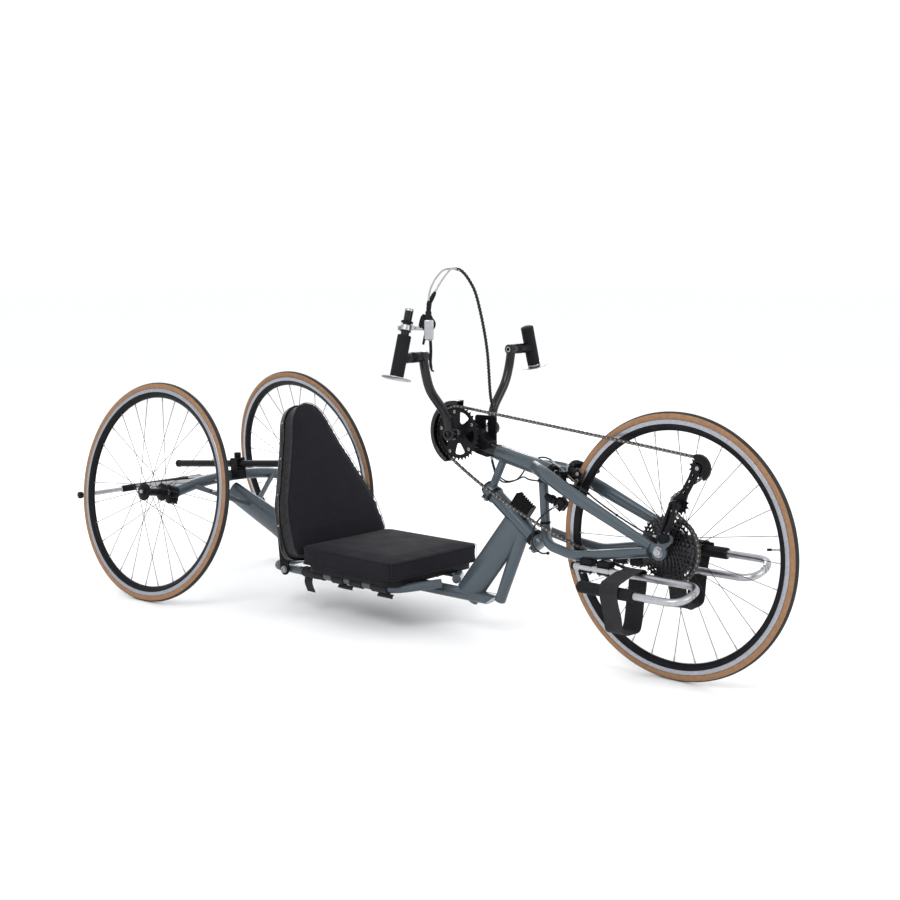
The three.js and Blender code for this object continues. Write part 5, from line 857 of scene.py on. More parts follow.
def dropout_reach(out, with_hanger):
    """How far the plate goes that way: a disc with a tail to the leg and a finger to the hanger."""
    reach = DROPOUT
    along = out.dot(toward.normalized())
    if with_hanger and along > 0.86:
        across = max(0.2, sqrt(max(0.0, 1 - along * along)))
        reach = max(reach, min(toward.length + 12, DROPOUT / across))
    tail = out.dot(V((-1, 0, 0.42)).normalized())
    return max(reach, DROPOUT + (tail - 0.8) * 90)


for sign, side in SIDES:
    leg = Form()
    leg.tube(leg_path(sign), [13, 13, 13, 6.5], [18, 18, 18, 12], bend=40, count=36, material=PAINT, steps=9)
    outline = []
    for i in range(40):
        a = TAU * i / 40
        out = V((cos(a), 0, sin(a)))
        reach = dropout_reach(out, sign < 0)
        outline.append((AXLE.x + out.x * reach, AXLE.z + out.z * reach))
    hole = circle(5.4, 20, (AXLE.x, AXLE.z))
    leg.plate([outline, hole], 8, PAINT, (0, sign * DROPOUT_SIDE, 0), X, Z, edge=0.8)
    if sign < 0:
        leg.rod(HANGER + Y * -75.4, HANGER + Y * -67.6, 12, PAINT, 36, edge=0.8)
    leg.turned(
        [(5.6, 0), (13, 0), (13.6, 0.6), (13.6, 1.2), (5.6, 1.2)], AXLE + Y * sign * 75.4, Y * sign, STEEL, 36,
        closed=True)
    leg.make(f"fork_leg_look_{side}", "fork", f"fork_leg_{side}", "frame_paint")

# Struts, each with a split clamp round the steerer
def steerer_clamp(form, middle):
    """A split clamp with its ears and two pinch bolts."""
    a, b = middle - STEER_DOWN * 12.6, middle + STEER_DOWN * 12.6
    form.rod(a, b, 22, PAINT, 44, edge=1.4)
    for side in (-1, 1):
        ear = middle - STEER_OUT * 25 + Y * side * 6.4
        form.box(ear, (21, 7.4, 13), (STEER_DOWN, Y, STEER_OUT), PAINT, edge=1.6)
    for step in (-6, 6):
        at = middle - STEER_OUT * 26.4 + STEER_DOWN * step
        hex_bolt(form, at - Y * 10, -Y, 3.8, 4.4)
        form.rod(at - Y * 10, at + Y * 11.4, 2.5, STEEL, 14)
        form.rod(at + Y * 9.6, at + Y * 12.6, 4.2, STEEL, 6)


crown_middle = along_steering(HEAD_END + GAP + CLAMP_HALF)
top_middle = along_steering(HEAD_START - GAP - CLAMP_HALF)
crown = Form()
crown.tube([(1262, 0, 489), (1274, 0, 318), crown_middle], 12.5, count=32, bend=14, material=PAINT)
for band_at, height in (((1263.4, 0, 462), 9), ((1271.6, 0, 350), 7)):
    band_profile = [(13.2, 0), (14.2, 1), (14.2, height - 1), (13.2, height)]
    crown.turned(band_profile, band_at, V((12, 0, -171)), SATIN_BLACK, 32)
steerer_clamp(crown, crown_middle)
crown.rod(along_steering(-10), crown_middle, 14.2, PAINT, 36)
crown.turned(
    [(14.4, HEAD_END), (22.6, HEAD_END), (22.6, STEER_LENGTH - 21.8), (14.4, STEER_LENGTH - 21.6)], STEER_TOP,
    STEER_DOWN, SATIN_BLACK, 40, closed=True)
crown.make("crown_strut_look", "fork", "crown_strut", "frame_paint")
rear_strut = Form()
rear_strut.tube([top_middle, (1135, 0, 512)], 11, count=32, material=PAINT)
steerer_clamp(rear_strut, top_middle)
rear_strut.turned(
    [(14.6, 0), (18.6, 0), (19.6, 1), (19.6, 5), (17, 7), (0.1, 7.6)], top_middle - STEER_DOWN * 12.8,
    -STEER_DOWN, SATIN_BLACK, 40)
hex_bolt(rear_strut, top_middle - STEER_DOWN * 20.2, -STEER_DOWN, 5.4, 2)
rear_strut.make("rear_strut_look", "fork", "rear_strut", "frame_paint")

# Lower arms with the two black clamp blocks that hold the footrest
arm_path = lambda s: [(1280, s * 10, 322), (1322, s * 48, 299), (1413, s * 60, 286), (1648, s * 73, 330)]
for sign, side in SIDES:
    arm = Form()
    arm.tube(arm_path(sign), 13, bend=24, count=32, material=PAINT, steps=8)
    for x in (1465, 1519):
        arm.box((x, sign * 72, 282), (38, 27, 15), (X, Y, Z), SATIN_BLACK, edge=1.8)
        arm.box((x, sign * 72, 264), (38, 28, 20), (X, Y, Z), SATIN_BLACK, edge=1.8)
        for dx in (-12, 12):
            for dy in (-10, 10):
                hex_bolt(arm, (x + dx, sign * 72 + dy, 253.4), -Z, 3, 3.2)
    arm.make(f"lower_arm_look_{side}", "fork", f"lower_arm_{side}", "frame_paint")

# Front axle and its quick release
front_axle = Form()
front_axle.rod(AXLE + Y * -86, AXLE + Y * 84, 4.4, STEEL, 20)
front_axle.turned(
    [(4.4, -0.4), (9.6, 0), (10, 0.8), (10, 6.5), (8, 9), (4.6, 9)], AXLE + Y * -75.8, -Y, ALLOY, 32)
front_axle.make("front_axle_look", "fork", "front_axle", "silver_metal")
release = Form()
release.turned(
    [(4.8, 0.4), (9.6, 0.4), (10, 1.2), (10, 7), (9, 8), (9.4, 9), (9.4, 17), (7, 19), (0.1, 19)],
    AXLE + Y * 75.6, Y, SATIN_BLACK, 32)
root = AXLE + Y * 88
release.tube(
    [root, root + X * 12 + Y * 2, root + X * 34 + Y * 3, root + X * 54], [5, 4.6, 5.4, 5.6], [5, 3.6, 2.8, 2.4],
    bend=6, sideway=Z, count=20, material=SATIN_BLACK)
release.make("quick_release_look", "release_lever", "quick_release_lever", "black_metal")


# Chain drive: the line is worked out from the wheels, and the links follow it
PITCH = 12.7
RING_TEETH, COG_TEETH, PULLEY_TEETH = 36, 42, 12
RING_SIDE, COG_SIDE = -46.0, -28.0
pitch_radius = lambda teeth: PITCH / 2 / sin(pi / teeth)
WHEELS = {
    "ring": dict(x=CRANK.x, z=CRANK.z, r=pitch_radius(RING_TEETH), spin=1, teeth=RING_TEETH),
    "tension": dict(x=1754.0, z=541.0, r=pitch_radius(PULLEY_TEETH), spin=1, teeth=PULLEY_TEETH),
    "guide": dict(x=1703.0, z=448.0, r=pitch_radius(PULLEY_TEETH), spin=-1, teeth=PULLEY_TEETH),
    "cog": dict(x=WHEELBASE, z=TYRE, r=pitch_radius(COG_TEETH), spin=1, teeth=COG_TEETH),
}


def heading(a, b):
    """The direction of the straight run from one wheel to the next."""
    length = hypot(b["x"] - a["x"], b["z"] - a["z"])
    return atan2(b["z"] - a["z"], b["x"] - a["x"]) + asin((b["spin"] * b["r"] - a["spin"] * a["r"]) / length)


def touch(w, angle):
    """Where a run with this direction touches the wheel."""
    return (w["x"] - w["spin"] * w["r"] * sin(angle), w["z"] + w["spin"] * w["r"] * cos(angle))


def chain_line(sag):
    """The chain's closed line from the top of the ring, with a slack lower run."""
    ring, tension, guide, cog = (WHEELS[k] for k in ("ring", "tension", "guide", "cog"))
    top, cross = heading(ring, tension), heading(tension, guide)
    drop, back = heading(guide, cog), heading(cog, ring)
    line = []

    def arc(w, start, stop):
        turn = -((start - stop) % TAU) if w["spin"] > 0 else (stop - start) % TAU
        count = int(abs(turn) * w["r"] / 0.4) + 1
        line.extend(touch(w, start + turn * i / count) for i in range(count + 1))

    arc(ring, back - sag, top)
    arc(tension, top, cross)
    arc(guide, cross, drop)
    arc(cog, drop, back + sag)
    a, d = touch(cog, back + sag), touch(ring, back - sag)
    reach = hypot(d[0] - a[0], d[1] - a[1]) / 3
    b = (a[0] + cos(back + sag) * reach, a[1] + sin(back + sag) * reach)
    c = (d[0] - cos(back - sag) * reach, d[1] - sin(back - sag) * reach)
    count = int(reach * 3 / 1.2) + 1
    for i in range(1, count):
        t = i / count
        weights = ((1 - t) ** 3, 3 * (1 - t) ** 2 * t, 3 * (1 - t) * t * t, t ** 3)
        line.append(tuple(sum(w * p[k] for w, p in zip(weights, (a, b, c, d))) for k in range(2)))
    return line


def walk(line):
    """Roller places one pitch apart along the line, and the number of links that the loop holds."""
    rollers = [line[0]]
    here = line[0]
    for i in range(1, len(line) + 1):
        a, b = line[i - 1], line[i % len(line)]
        while hypot(b[0] - here[0], b[1] - here[1]) >= PITCH:
            dx, dy, fx, fy = b[0] - a[0], b[1] - a[1], a[0] - here[0], a[1] - here[1]
            qa, qb, qc = dx * dx + dy * dy, 2 * (fx * dx + fy * dy), fx * fx + fy * fy - PITCH * PITCH
            t = (-qb + sqrt(qb * qb - 4 * qa * qc)) / (2 * qa)
            here = (a[0] + dx * t, a[1] + dy * t)
            rollers.append(here)
    rest = hypot(line[0][0] - here[0], line[0][1] - here[1])
    return rollers, len(rollers) - 1 + rest / PITCH


def solve_chain():
    """The slack is changed until the loop holds a whole, even number of links."""
    usual_sag = 0.17
    wanted = round(walk(chain_line(usual_sag))[1] / 2) * 2
    low, high = 0.0, usual_sag * 2.2
    for _ in range(24):
        middle = (low + high) / 2
        low, high = (middle, high) if walk(chain_line(middle))[1] < wanted else (low, middle)
    return walk(chain_line(low))[0][:wanted]


ROLLERS = solve_chain()


def chain_side(x):
    """The chain crosses from the ring's plane to the cog's between the two wheels."""
    ring, cog = WHEELS["ring"], WHEELS["cog"]
    share = (x - ring["x"] - ring["r"]) / (cog["x"] - cog["r"] - ring["x"] - ring["r"])
    return RING_SIDE + (COG_SIDE - RING_SIDE) * min(1, max(0, share))


def link_outline(radius, waist):
    """Half a pitch each way: two round ends drawn in at the waist."""
    pts = []
    for end in (1, -1):
        for k in range(-3, 4):
            a = k / 3 * radians(112)
            pts.append((end * (PITCH / 2 + radius * cos(a)), end * radius * sin(a)))
        pts.append((0, end * waist))
    return pts


chain = Form()
for i, here in enumerate(ROLLERS):
    after = ROLLERS[(i + 1) % len(ROLLERS)]
    a = V((here[0], chain_side(here[0]), here[1]))
    b = V((after[0], chain_side(after[0]), after[1]))
    middle, along = (a + b) / 2, (b - a).normalized()
    across = Y - along * along.y
    across.normalize()
    up = along.cross(across)
    outer = i % 2 == 0
    for s in (-1, 1):
        near, far = (2.0, 2.95) if outer else (1.05, 1.95)
        shape = link_outline(4.05, 2.9)
        rings = [[middle + along * u + up * v + across * s * side for u, v in shape] for side in (near, far)]
        chain.skin(rings, CHAIN_STEEL)
    chain.rod(a - across * 1.1, a + across * 1.1, 3.8, CHAIN_STEEL, 12)
    chain.rod(a - across * 3.25, a + across * 3.25, 1.7, STEEL, 10)
chain.make("chain_look", "fork", "chain", "chain_steel", sharp=40)


def wrapped(w, p):
    """Whether a roller lies on the wheel's pitch circle."""
    return abs(hypot(p[0] - w["x"], p[1] - w["z"]) - w["r"]) < 0.06


def phase_of(w):
    """The angle of one tooth, half a tooth beside a roller that lies on the wheel."""
    for i, a in enumerate(ROLLERS):
        b = ROLLERS[(i + 1) % len(ROLLERS)]
        if wrapped(w, a) or wrapped(w, b):
            p = a if wrapped(w, a) else b
            ahead = -w["spin"] if wrapped(w, a) else w["spin"]
            return atan2(p[1] - w["z"], p[0] - w["x"]) + ahead * pi / w["teeth"]


def tooth_outline(teeth, phase, tip=2.5):
    """Round seats for the rollers between pointed teeth."""
    radius = pitch_radius(teeth)
    pts = []
    for i in range(teeth):
        middle = phase + i / teeth * TAU
        for angle in (middle - 0.7 / radius, middle + 0.7 / radius):
            pts.append(((radius + tip) * cos(angle), (radius + tip) * sin(angle)))
        seat = middle + pi / teeth
        cx, cy = radius * cos(seat), radius * sin(seat)
        for k in range(-2, 3):
            a = seat + pi - k / 2 * radians(58)
            pts.append((cx + 4.0 * cos(a), cy + 4.0 * sin(a)))
    return pts


def window(centre_angle, inner, outer, half_in, half_out, corner=5):
    """A hole between two arms, wider outside, with rounded corners."""
    corners = [(inner, -half_in), (outer, -half_out), (outer, half_out), (inner, half_in)]
    raw = [V((r * cos(centre_angle + a), r * sin(centre_angle + a), 0)) for r, a in corners]
    raw.insert(2, V((outer * cos(centre_angle) * 1.02, outer * sin(centre_angle) * 1.02, 0)))
    pts = []
    for i, p in enumerate(raw):
        a, b = raw[i - 1], raw[(i + 1) % len(raw)]
        reach = min(corner, (a - p).length * 0.4, (b - p).length * 0.4)
        s, e = p + (a - p).normalized() * reach, p + (b - p).normalized() * reach
        for k in range(5):
            t = k / 4
            q = s.lerp(p, t).lerp(p.lerp(e, t), t)
            pts.append((q.x, q.y))
    return pts


COGS, COG_STEP = (COG_TEETH, 37, 32, 28, 24, 21, 18, 15, 12), 4.1
cassette = Form()
for index, teeth in enumerate(COGS):
    side = COG_SIDE - COG_STEP * index
    phase = phase_of(WHEELS["cog"]) if index == 0 else index * 0.07
    radius = pitch_radius(teeth)
    loops = [tooth_outline(teeth, phase, 2.3), circle(min(18.4, radius - 7), 32)]
    if teeth > 26:
        arms = 8 if teeth > 34 else 6
        loops += [
            window(i / arms * TAU + index * 0.2, radius * 0.46, radius - 9.5, 0.22, 0.27, 4)
            for i in range(arms)]
    cassette.plate(loops, 1.9, COG_STEEL, AXLE + Y * side, X, Z, edge=0.3)
cassette.turned(
    [(5.4, -24.6), (17.9, -24.6), (17.9, -62.5), (5.4, -62.5)], AXLE, Y, SATIN_BLACK, 44, closed=True)
cassette.turned(
    [(13.2, -60.5), (17.6, -61.6), (18.4, -62.6), (18.4, -64), (13.2, -64.4)], AXLE, Y, STEEL, 36, closed=True)
cassette.make("cassette_look", "cog_cluster", "cassette", "silver_metal", sharp=30)

chainring = Form()
ring_phase = phase_of(WHEELS["ring"])
windows = [window(radians(63 - 72 * i), 29, 59, 0.2, 0.33, 7) for i in range(5)]
chainring.plate(
    [tooth_outline(RING_TEETH, ring_phase), circle(61, 60)], 1.9, SATIN_BLACK, at_crank(RING_SIDE), X, Z,
    edge=0.3)
chainring.plate(
    [circle(66, 72), circle(12.6, 32), *windows], 4, SATIN_BLACK, at_crank(RING_SIDE), X, Z, edge=0.8)
for i in range(5):
    a = radians(27 + 72 * i)
    spot = at_crank(RING_SIDE - 2, 58 * cos(a), 58 * sin(a))
    hex_bolt(chainring, spot, -Y, 4.6, 1.4)
chainring.make("chainring_look", "crankset", "chainring", "black_metal", sharp=30)

for key, rides in (("guide", "upper_pulley"), ("tension", "lower_pulley")):
    w, node = WHEELS[key], f"{key}_pulley"
    spot = V((w["x"], COG_SIDE, w["z"]))
    pulley = Form()
    holes = [circle(3.1, 20), *(circle(2.6, 12, centre) for centre in circle(11.6, 5))]
    pulley.plate([tooth_outline(PULLEY_TEETH, phase_of(w), 2.2), *holes], 1.9, PLASTIC, spot, X, Z, edge=0.3)
    pulley.turned(
        [(3.1, -3.2), (6.6, -3.2), (8.4, -2.2), (8.4, 2.2), (6.6, 3.2), (3.1, 3.2)], spot, Y, PLASTIC, 28,
        closed=True)
    pulley.make(f"{node}_look", rides, node, "black_plastic", sharp=30)


# Cranks, grips and levers
CRANK_LENGTH = 214.0
for sign, side, base, knee in ((-1, "right", 77, 88), (1, "left", 100, 99)):
    at = lambda out, up=0: at_crank(sign * out, 0, up)
    arm = Form()
    arm.rod(at(base - 10), at(base + 10), 19, GLOSS_BLACK, 44, edge=2.4)
    arm.tube(
        [at(base), at(knee, 50), at(156, 122), at(172, 165), at(182, CRANK_LENGTH)], 12.5, bend=26, sideway=X,
        count=36, material=GLOSS_BLACK, steps=10)
    arm.rod(at(169, CRANK_LENGTH), at(195, CRANK_LENGTH), 14, GLOSS_BLACK, 36, edge=1.4)
    arm.rod(at(194.8, CRANK_LENGTH), at(246, CRANK_LENGTH), 6, STEEL, 24, edge=0.6)
    arm.turned(
        [(11, 0), (11, 3.6), (10, 4.8), (6.6, 5), (6, 2.4), (0.1, 2.4)], at(base + 10), Y * sign, SATIN_BLACK,
        28)
    arm.turned(
        [(7.6, 0), (7.6, 1.2), (5, 1.6), (4.6, -0.6), (0.1, -0.6)], at(169, CRANK_LENGTH), Y * -sign, STEEL, 24)
    if sign < 0:
        arm.rod(at(base), at(-92.5), 12, STEEL, 36, edge=0.8)
    arm.make(f"crank_arm_look_{side}", "crankset", f"crank_arm_{side}", "black_metal")

GRIP_TILT = radians(16.5)
GRIP_SIDE, GRIP_LIFT = 267, 5
grip_axis = lambda sign: V((0, -sign * sin(GRIP_TILT), cos(GRIP_TILT)))


def on_grip(sign, along):
    """A place on a grip's axis, measured from the grip's middle."""
    middle = V((CRANK.x, sign * GRIP_SIDE, CRANK.z + CRANK_LENGTH + GRIP_LIFT))
    return middle + grip_axis(sign) * along


for sign, side in SIDES:
    grip = Form()
    sleeve = [(12, -55.9), (16.8, -55.9), (17.8, -54.8)]
    for i in range(17):
        z = -51 + i * 6.4
        sleeve += [(17.9, z - 2.4), (18.05, z - 1.6), (18.05, z + 1.6), (17.9, z + 2.4)]
    sleeve += [(17.8, 54.8), (16.8, 55.9), (12, 56)]
    grip.turned(sleeve, on_grip(sign, 0), grip_axis(sign), FOAM, 44)
    grip.turned([
        (0.1, -59), (37.6, -59), (38.8, -58.6), (39, -57.6), (38.6, -56.8), (30, -56.2), (19, -55.7),
        (18.4, -54), (0.1, -54)
    ], on_grip(sign, 0), grip_axis(sign), ALLOY, 64)
    grip.turned([
        (6.6, 195.6), (12.6, 195.6), (13.6, 196.6), (13.6, 206), (14, 206.6), (14, 228), (13.2, 229),
        (13.2, 236), (14, 237), (14, 262)
    ], V((CRANK.x, 0, CRANK.z + CRANK_LENGTH)), Y * sign, SATIN_BLACK, 36)
    if sign < 0:
        grip.turned(
            [(11, 55), (11, 64.6), (14.6, 65), (15.2, 66), (15.2, 67.6), (11, 68.4), (11, 120)], on_grip(-1, 0),
            grip_axis(-1), GLOSS_BLACK, 32)
        grip.turned(
            [(15.6, 88), (16, 88.6), (16, 93), (15, 94), (11, 95)], on_grip(-1, 0), grip_axis(-1), SATIN_BLACK,
            32)
        grip.turned(
            [(11.2, 119.6), (12, 120.4), (12, 124), (10.6, 126.4), (7.6, 127.8), (6, 128), (0.1, 128)],
            on_grip(-1, 0), grip_axis(-1), STEEL, 36)
    else:
        grip.turned([(16.8, 55.9), (13, 57.4), (6, 58.6), (0.1, 58.8)], on_grip(1, 0), grip_axis(1), FOAM, 36)
    grip.make(f"grip_look_{side}", f"{side}_grip", f"grip_{side}", "grip_rubber", sharp=40)

# Lever bracket: a bright clamp band on the post, the upright body, its hood and two cable boots
LEVER_HEADING = radians(42)
LEVER_WAY = V((cos(LEVER_HEADING), sin(LEVER_HEADING), 0))
LEVER_SIDE = V((sin(LEVER_HEADING), -cos(LEVER_HEADING), 0))
BAND_HEIGHT, BODY_REACH = 76, 58
BAND_AT = on_grip(-1, BAND_HEIGHT)
BODY_AT = BAND_AT + LEVER_WAY * BODY_REACH
on_lever = lambda out, side, up: BODY_AT + LEVER_WAY * out + LEVER_SIDE * side + Z * up
BOOTS = {-1: (on_lever(1, 4, 74), on_lever(0.4, 5, 40)), 1: (on_lever(20, -6, 96), on_lever(4, -3, 66))}
bracket = Form()
bracket.turned(
    [(11.3, -7), (14.6, -7), (15.3, -6.2), (15.3, 6.2), (14.6, 7), (11.3, 7)], BAND_AT, grip_axis(-1), ALLOY,
    40, closed=True)
bracket.tube(
    [BAND_AT + LEVER_WAY * 13, BAND_AT + LEVER_WAY * 30, BODY_AT], [6.4, 5.6, 7], [6.6, 6.2, 8.4], bend=6,
    sideway=LEVER_SIDE, count=24, material=ALLOY, square=0.7)
bracket.box(BAND_AT - LEVER_WAY * 17, (9, 8.6, 11), (LEVER_WAY, LEVER_SIDE, Z), ALLOY, edge=1.2)
hex_bolt(bracket, BAND_AT - LEVER_WAY * 17 + LEVER_SIDE * 4.2, LEVER_SIDE, 3.2, 3)
hex_bolt(bracket, BAND_AT + LEVER_WAY * 24 + LEVER_SIDE * 5.6, LEVER_SIDE, 3.2, 2.6)
bracket.tube(
    [on_lever(4, 0, -33), on_lever(3.4, 0, -24), on_lever(0.6, 0, 14), on_lever(0.2, 0, 18)], [6, 10.6, 11, 8],
    [5.4, 8.6, 9, 7], bend=2, sideway=LEVER_SIDE, count=32, material=ALLOY, square=0.8)
bracket.tube(
    [on_lever(0.2, 0, 12), on_lever(0, 0, 17), on_lever(0, 0, 30), on_lever(0, 0, 38)], [11.6, 11.9, 9.4, 6.4],
    [9.8, 10, 8.4, 5.4], bend=3, sideway=LEVER_SIDE, count=32, material=PLASTIC)
bracket.tube(
    [on_lever(1, 24, -30), on_lever(1, 24.4, -25), on_lever(1.3, 24.6, 16), on_lever(1.3, 24.4, 21)],
    [9, 12, 12.4, 11], [3, 6, 6.4, 5], bend=2, sideway=LEVER_WAY, count=32, material=ALLOY, square=0.8)
bracket.tube(
    [on_lever(1, 18, 14), on_lever(0.6, 20, 22), on_lever(0, 10, 36), on_lever(0, 4, 44)], [12, 11.4, 8, 5.6],
    [9, 10, 9, 6], bend=6, sideway=LEVER_WAY, count=32, material=PLASTIC)
bracket.tube(
    [on_lever(-10, -2, 34), on_lever(-15, -1, 24), on_lever(-20, 0, 6), on_lever(-20, 0, -2)], [4, 6.6, 6, 3],
    [5, 8, 8, 4], bend=5, sideway=LEVER_WAY, count=24, material=PLASTIC)
for s in (-1, 1):
    top, foot = BOOTS[s]
    bracket.turned(
        [(5.2, 0), (6, 2), (6, 14), (5.2, 15), (5.2, 16.4), (5.8, 17.4), (5.4, 22), (4, 27), (3.6, 29.5)], foot,
        top - foot, PLASTIC, 24)
bracket.tube(
    [on_lever(0, 2, 30), on_lever(2, 0, 50), on_lever(5.4, -3, 69)], [6, 5, 4.6], [7, 5, 4.6], bend=8,
    sideway=LEVER_SIDE, count=24, material=PLASTIC)
bracket.rod(on_lever(0, 9, 10), on_lever(0, 22.4, 10), 5, SATIN_BLACK, 24)
hex_bolt(bracket, on_lever(0, 21.6, 10), LEVER_SIDE, 4.6, 1.4)
bracket.rod(on_lever(4.5, -10.4, -29), on_lever(4.5, 10.4, -29), 2.5, STEEL, 16, edge=0.4)
bracket.make("lever_bracket_look", "right_grip", "lever_bracket", "black_metal", sharp=40)

blade = Form()
blade.rod(on_lever(4.5, -4.6, -29), on_lever(4.5, 4.6, -29), 5, SATIN_BLACK, 28, edge=0.8)
blade.tube(
    [on_lever(4.5, 0, -30), on_lever(6, 0, -62), on_lever(4, 1, -92), on_lever(8, 1, -111)], [4, 5, 7, 11.6],
    [4, 4, 4, 2.2], bend=20, sideway=LEVER_SIDE, count=28, material=SATIN_BLACK, steps=9, square=0.85)
blade.rod(on_lever(8, -11.4, -111), on_lever(12, 11.4, -111), 2.3, SATIN_BLACK, 20, edge=1)
blade.make("brake_lever_look", "brake_trigger", "brake_lever", "black_metal", sharp=40)

shifter = Form()
shifter.turned(
    [(5.5, 11.6), (18, 11.6), (18.8, 12.4), (19, 13.4), (19, 19.4), (18, 20.8), (14, 21.4), (5.5, 21.4)],
    on_lever(0, 0, 10), LEVER_SIDE, PLASTIC, 48, closed=True)
shifter.turned(
    [(9.4, 21), (13.2, 21), (13, 21.9), (9.6, 21.9)], on_lever(0, 0, 10), LEVER_SIDE, SATIN_BLACK, 36,
    closed=True)
shifter.tube(
    [on_lever(-2, 16, 0), on_lever(-8, 15, -16), on_lever(-14, 14, -42)], [3.6, 4, 5], [4, 3.6, 3], bend=6,
    sideway=LEVER_SIDE, count=24, material=PLASTIC)
shifter.make("shift_lever_look", "shift_trigger", "shift_lever", "black_metal", sharp=40)


# Derailleur: cage, knuckles and the parallelogram between them
GUIDE, TENSION = (V((WHEELS[key]["x"], 0, WHEELS[key]["z"])) for key in ("guide", "tension"))
CAGE_WAY = (TENSION - GUIDE).normalized()
CAGE_SIDE = V((-CAGE_WAY.z, 0, CAGE_WAY.x))


def cage_outline(wide, slim, waist):
    """A long plate with two round ends and drawn-in edges."""
    length = (TENSION - GUIDE).length
    pts = []
    for centre, radius, start in ((0, wide, 180), (length, slim, 0)):
        for k in range(13):
            a = radians(start - 90 + 180 * k / 12)
            spot = GUIDE + CAGE_WAY * (centre + radius * cos(a)) + CAGE_SIDE * radius * sin(a)
            pts.append((spot.x, spot.z))
        edge = 1 if start == 180 else -1
        for share in (0.3, 0.5, 0.7):
            along = length * (share if start == 180 else 1 - share)
            spot = GUIDE + CAGE_WAY * along - CAGE_SIDE * waist * edge
            pts.append((spot.x, spot.z))
    return pts


def cage_hole(along, across, radius):
    """A round hole in a cage plate."""
    spot = GUIDE + CAGE_WAY * along + CAGE_SIDE * across
    return circle(radius, 16, (spot.x, spot.z))


cage = Form()
cage.plate(
    [cage_outline(9.4, 9, 6.6), cage_hole(0, 0, 2.4), cage_hole((TENSION - GUIDE).length, 0, 2.4)], 1.6,
    SATIN_BLACK, (0, -22.7, 0), X, Z, edge=0.3)
cage.plate([
    cage_outline(17, 14, 10.5), cage_hole(34, 0, 4), cage_hole(50, 0, 4.6), cage_hole(66, 0, 4.6),
    cage_hole(84, 0, 3.2)
], 1.8, SATIN_BLACK, (0, -33.3, 0), X, Z, edge=0.4)
for centre in (GUIDE, TENSION):
    cage.rod(centre + Y * -33, centre + Y * -21.4, 2.6, STEEL, 16)
    cage.turned(
        [(4.6, 0), (5, 0.4), (4.6, 1.4), (2.4, 1.4), (2, 0.6), (0.1, 0.6)], centre + Y * -21.9, Y, STEEL, 24)
cage.turned(
    [(4.8, 0), (5.2, 0.4), (4.8, 1.6), (2.6, 1.6), (2.2, 0.8), (0.1, 0.8)], TENSION + Y * -34.2, -Y, STEEL, 24)
cage.rod(GUIDE + Y * -33.3, GUIDE + Y * -55, 6, SATIN_BLACK, 28, edge=0.6)
HOOD_SECTION = (
    (31.2, -33), (31.2, -24.4), (33, -23.8), (33.6, -24.6), (33.6, -33.4), (33, -34.2), (10, -34.2), (10, -33))
HOOD_FROM, HOOD_TURN = -52, 172
hood = []
for k in range(15):
    a = radians(HOOD_FROM + HOOD_TURN * k / 14)
    out = CAGE_WAY * cos(a) + CAGE_SIDE * -sin(a)
    hood.append([TENSION + out * r + Y * y for r, y in HOOD_SECTION])
cage.skin(hood, PLASTIC)
cage.make("derailleur_cage_look", "cage", "derailleur_cage", "black_metal", sharp=36)

body = Form()
body.turned([
    (6.6, -34.9), (12, -34.9), (13, -35.8), (13, -46), (12.2, -47), (12.2, -48.6), (13, -49.6), (13, -58),
    (11.6, -60), (6, -60.2), (5.4, -58.8), (0.1, -58.8), (0.1, -56.4), (6.6, -56.2)
], GUIDE, Y, SATIN_BLACK, 40, closed=True)
body.turned(
    [(0.1, -76), (13, -76), (13, -91.6), (11.6, -93.6), (6.6, -94), (6, -92.4), (0.1, -92.4)], HANGER, Y,
    SATIN_BLACK, 40)
body.rod(HANGER + Y * -69.4, HANGER + Y * -77, 4, STEEL, 20)
hanger_at, guide_at = HANGER + Y * -85.5, GUIDE + Y * -54.5
across = (guide_at - hanger_at).cross(X).normalized()
for shift in (-7.2, 7.2):
    start, stop = hanger_at + X * shift, guide_at + X * shift
    body.tube(
        [start, start.lerp(stop, 0.5) + across * 1.5, stop], [4.2, 5, 4.2], [8.4, 9.6, 8], bend=14, sideway=X,
        count=24, material=SATIN_BLACK, square=0.75)
for share in (0.16, 0.84):
    spot = hanger_at.lerp(guide_at, share)
    body.rod(spot - X * 12.4, spot + X * 12.4, 3, STEEL, 18, edge=0.5)
body.box(
    hanger_at.lerp(guide_at, 0.3), (12, 9, 17), (X, across, (guide_at - hanger_at).normalized()), SATIN_BLACK,
    edge=1.6)
body.rod(HANGER + V((-15.5, -84, 1.5)), HANGER + V((-9, -84, 0.5)), 4.2, STEEL, 20, edge=0.8)
body.make("derailleur_body_look", "derailleur", "derailleur_body", "black_metal", sharp=36)


# Brakes, on the line from the front axle to the calliper's bridge
BRAKE_X, BRAKE_Z = 1385.0, 470.0
brake_angle = atan2(BRAKE_Z - TYRE, BRAKE_X - WHEELBASE)
BRAKE_OUT = V((cos(brake_angle), 0, sin(brake_angle)))
BRAKE_ALONG = V((-sin(brake_angle), 0, cos(brake_angle)))
BRIDGE = TYRE + 20
ARM_PLANE = 18.5
at_brake = lambda radius, side, along=0: AXLE + BRAKE_OUT * radius + Y * side + BRAKE_ALONG * along
calliper = Form()
calliper.tube(
    [
        at_brake(BRIDGE, -34), at_brake(BRIDGE, -20), at_brake(BRIDGE, 0), at_brake(BRIDGE, 20),
        at_brake(BRIDGE, 34)], [5.4, 7.5, 6.6, 7.5, 5.4], [8.6, 11, 10, 11, 8.6], bend=5, sideway=BRAKE_OUT,
    count=32, material=SATIN_BLACK, square=0.75)
stem_foot = on_boom(BOOM_LENGTH + 12.3)
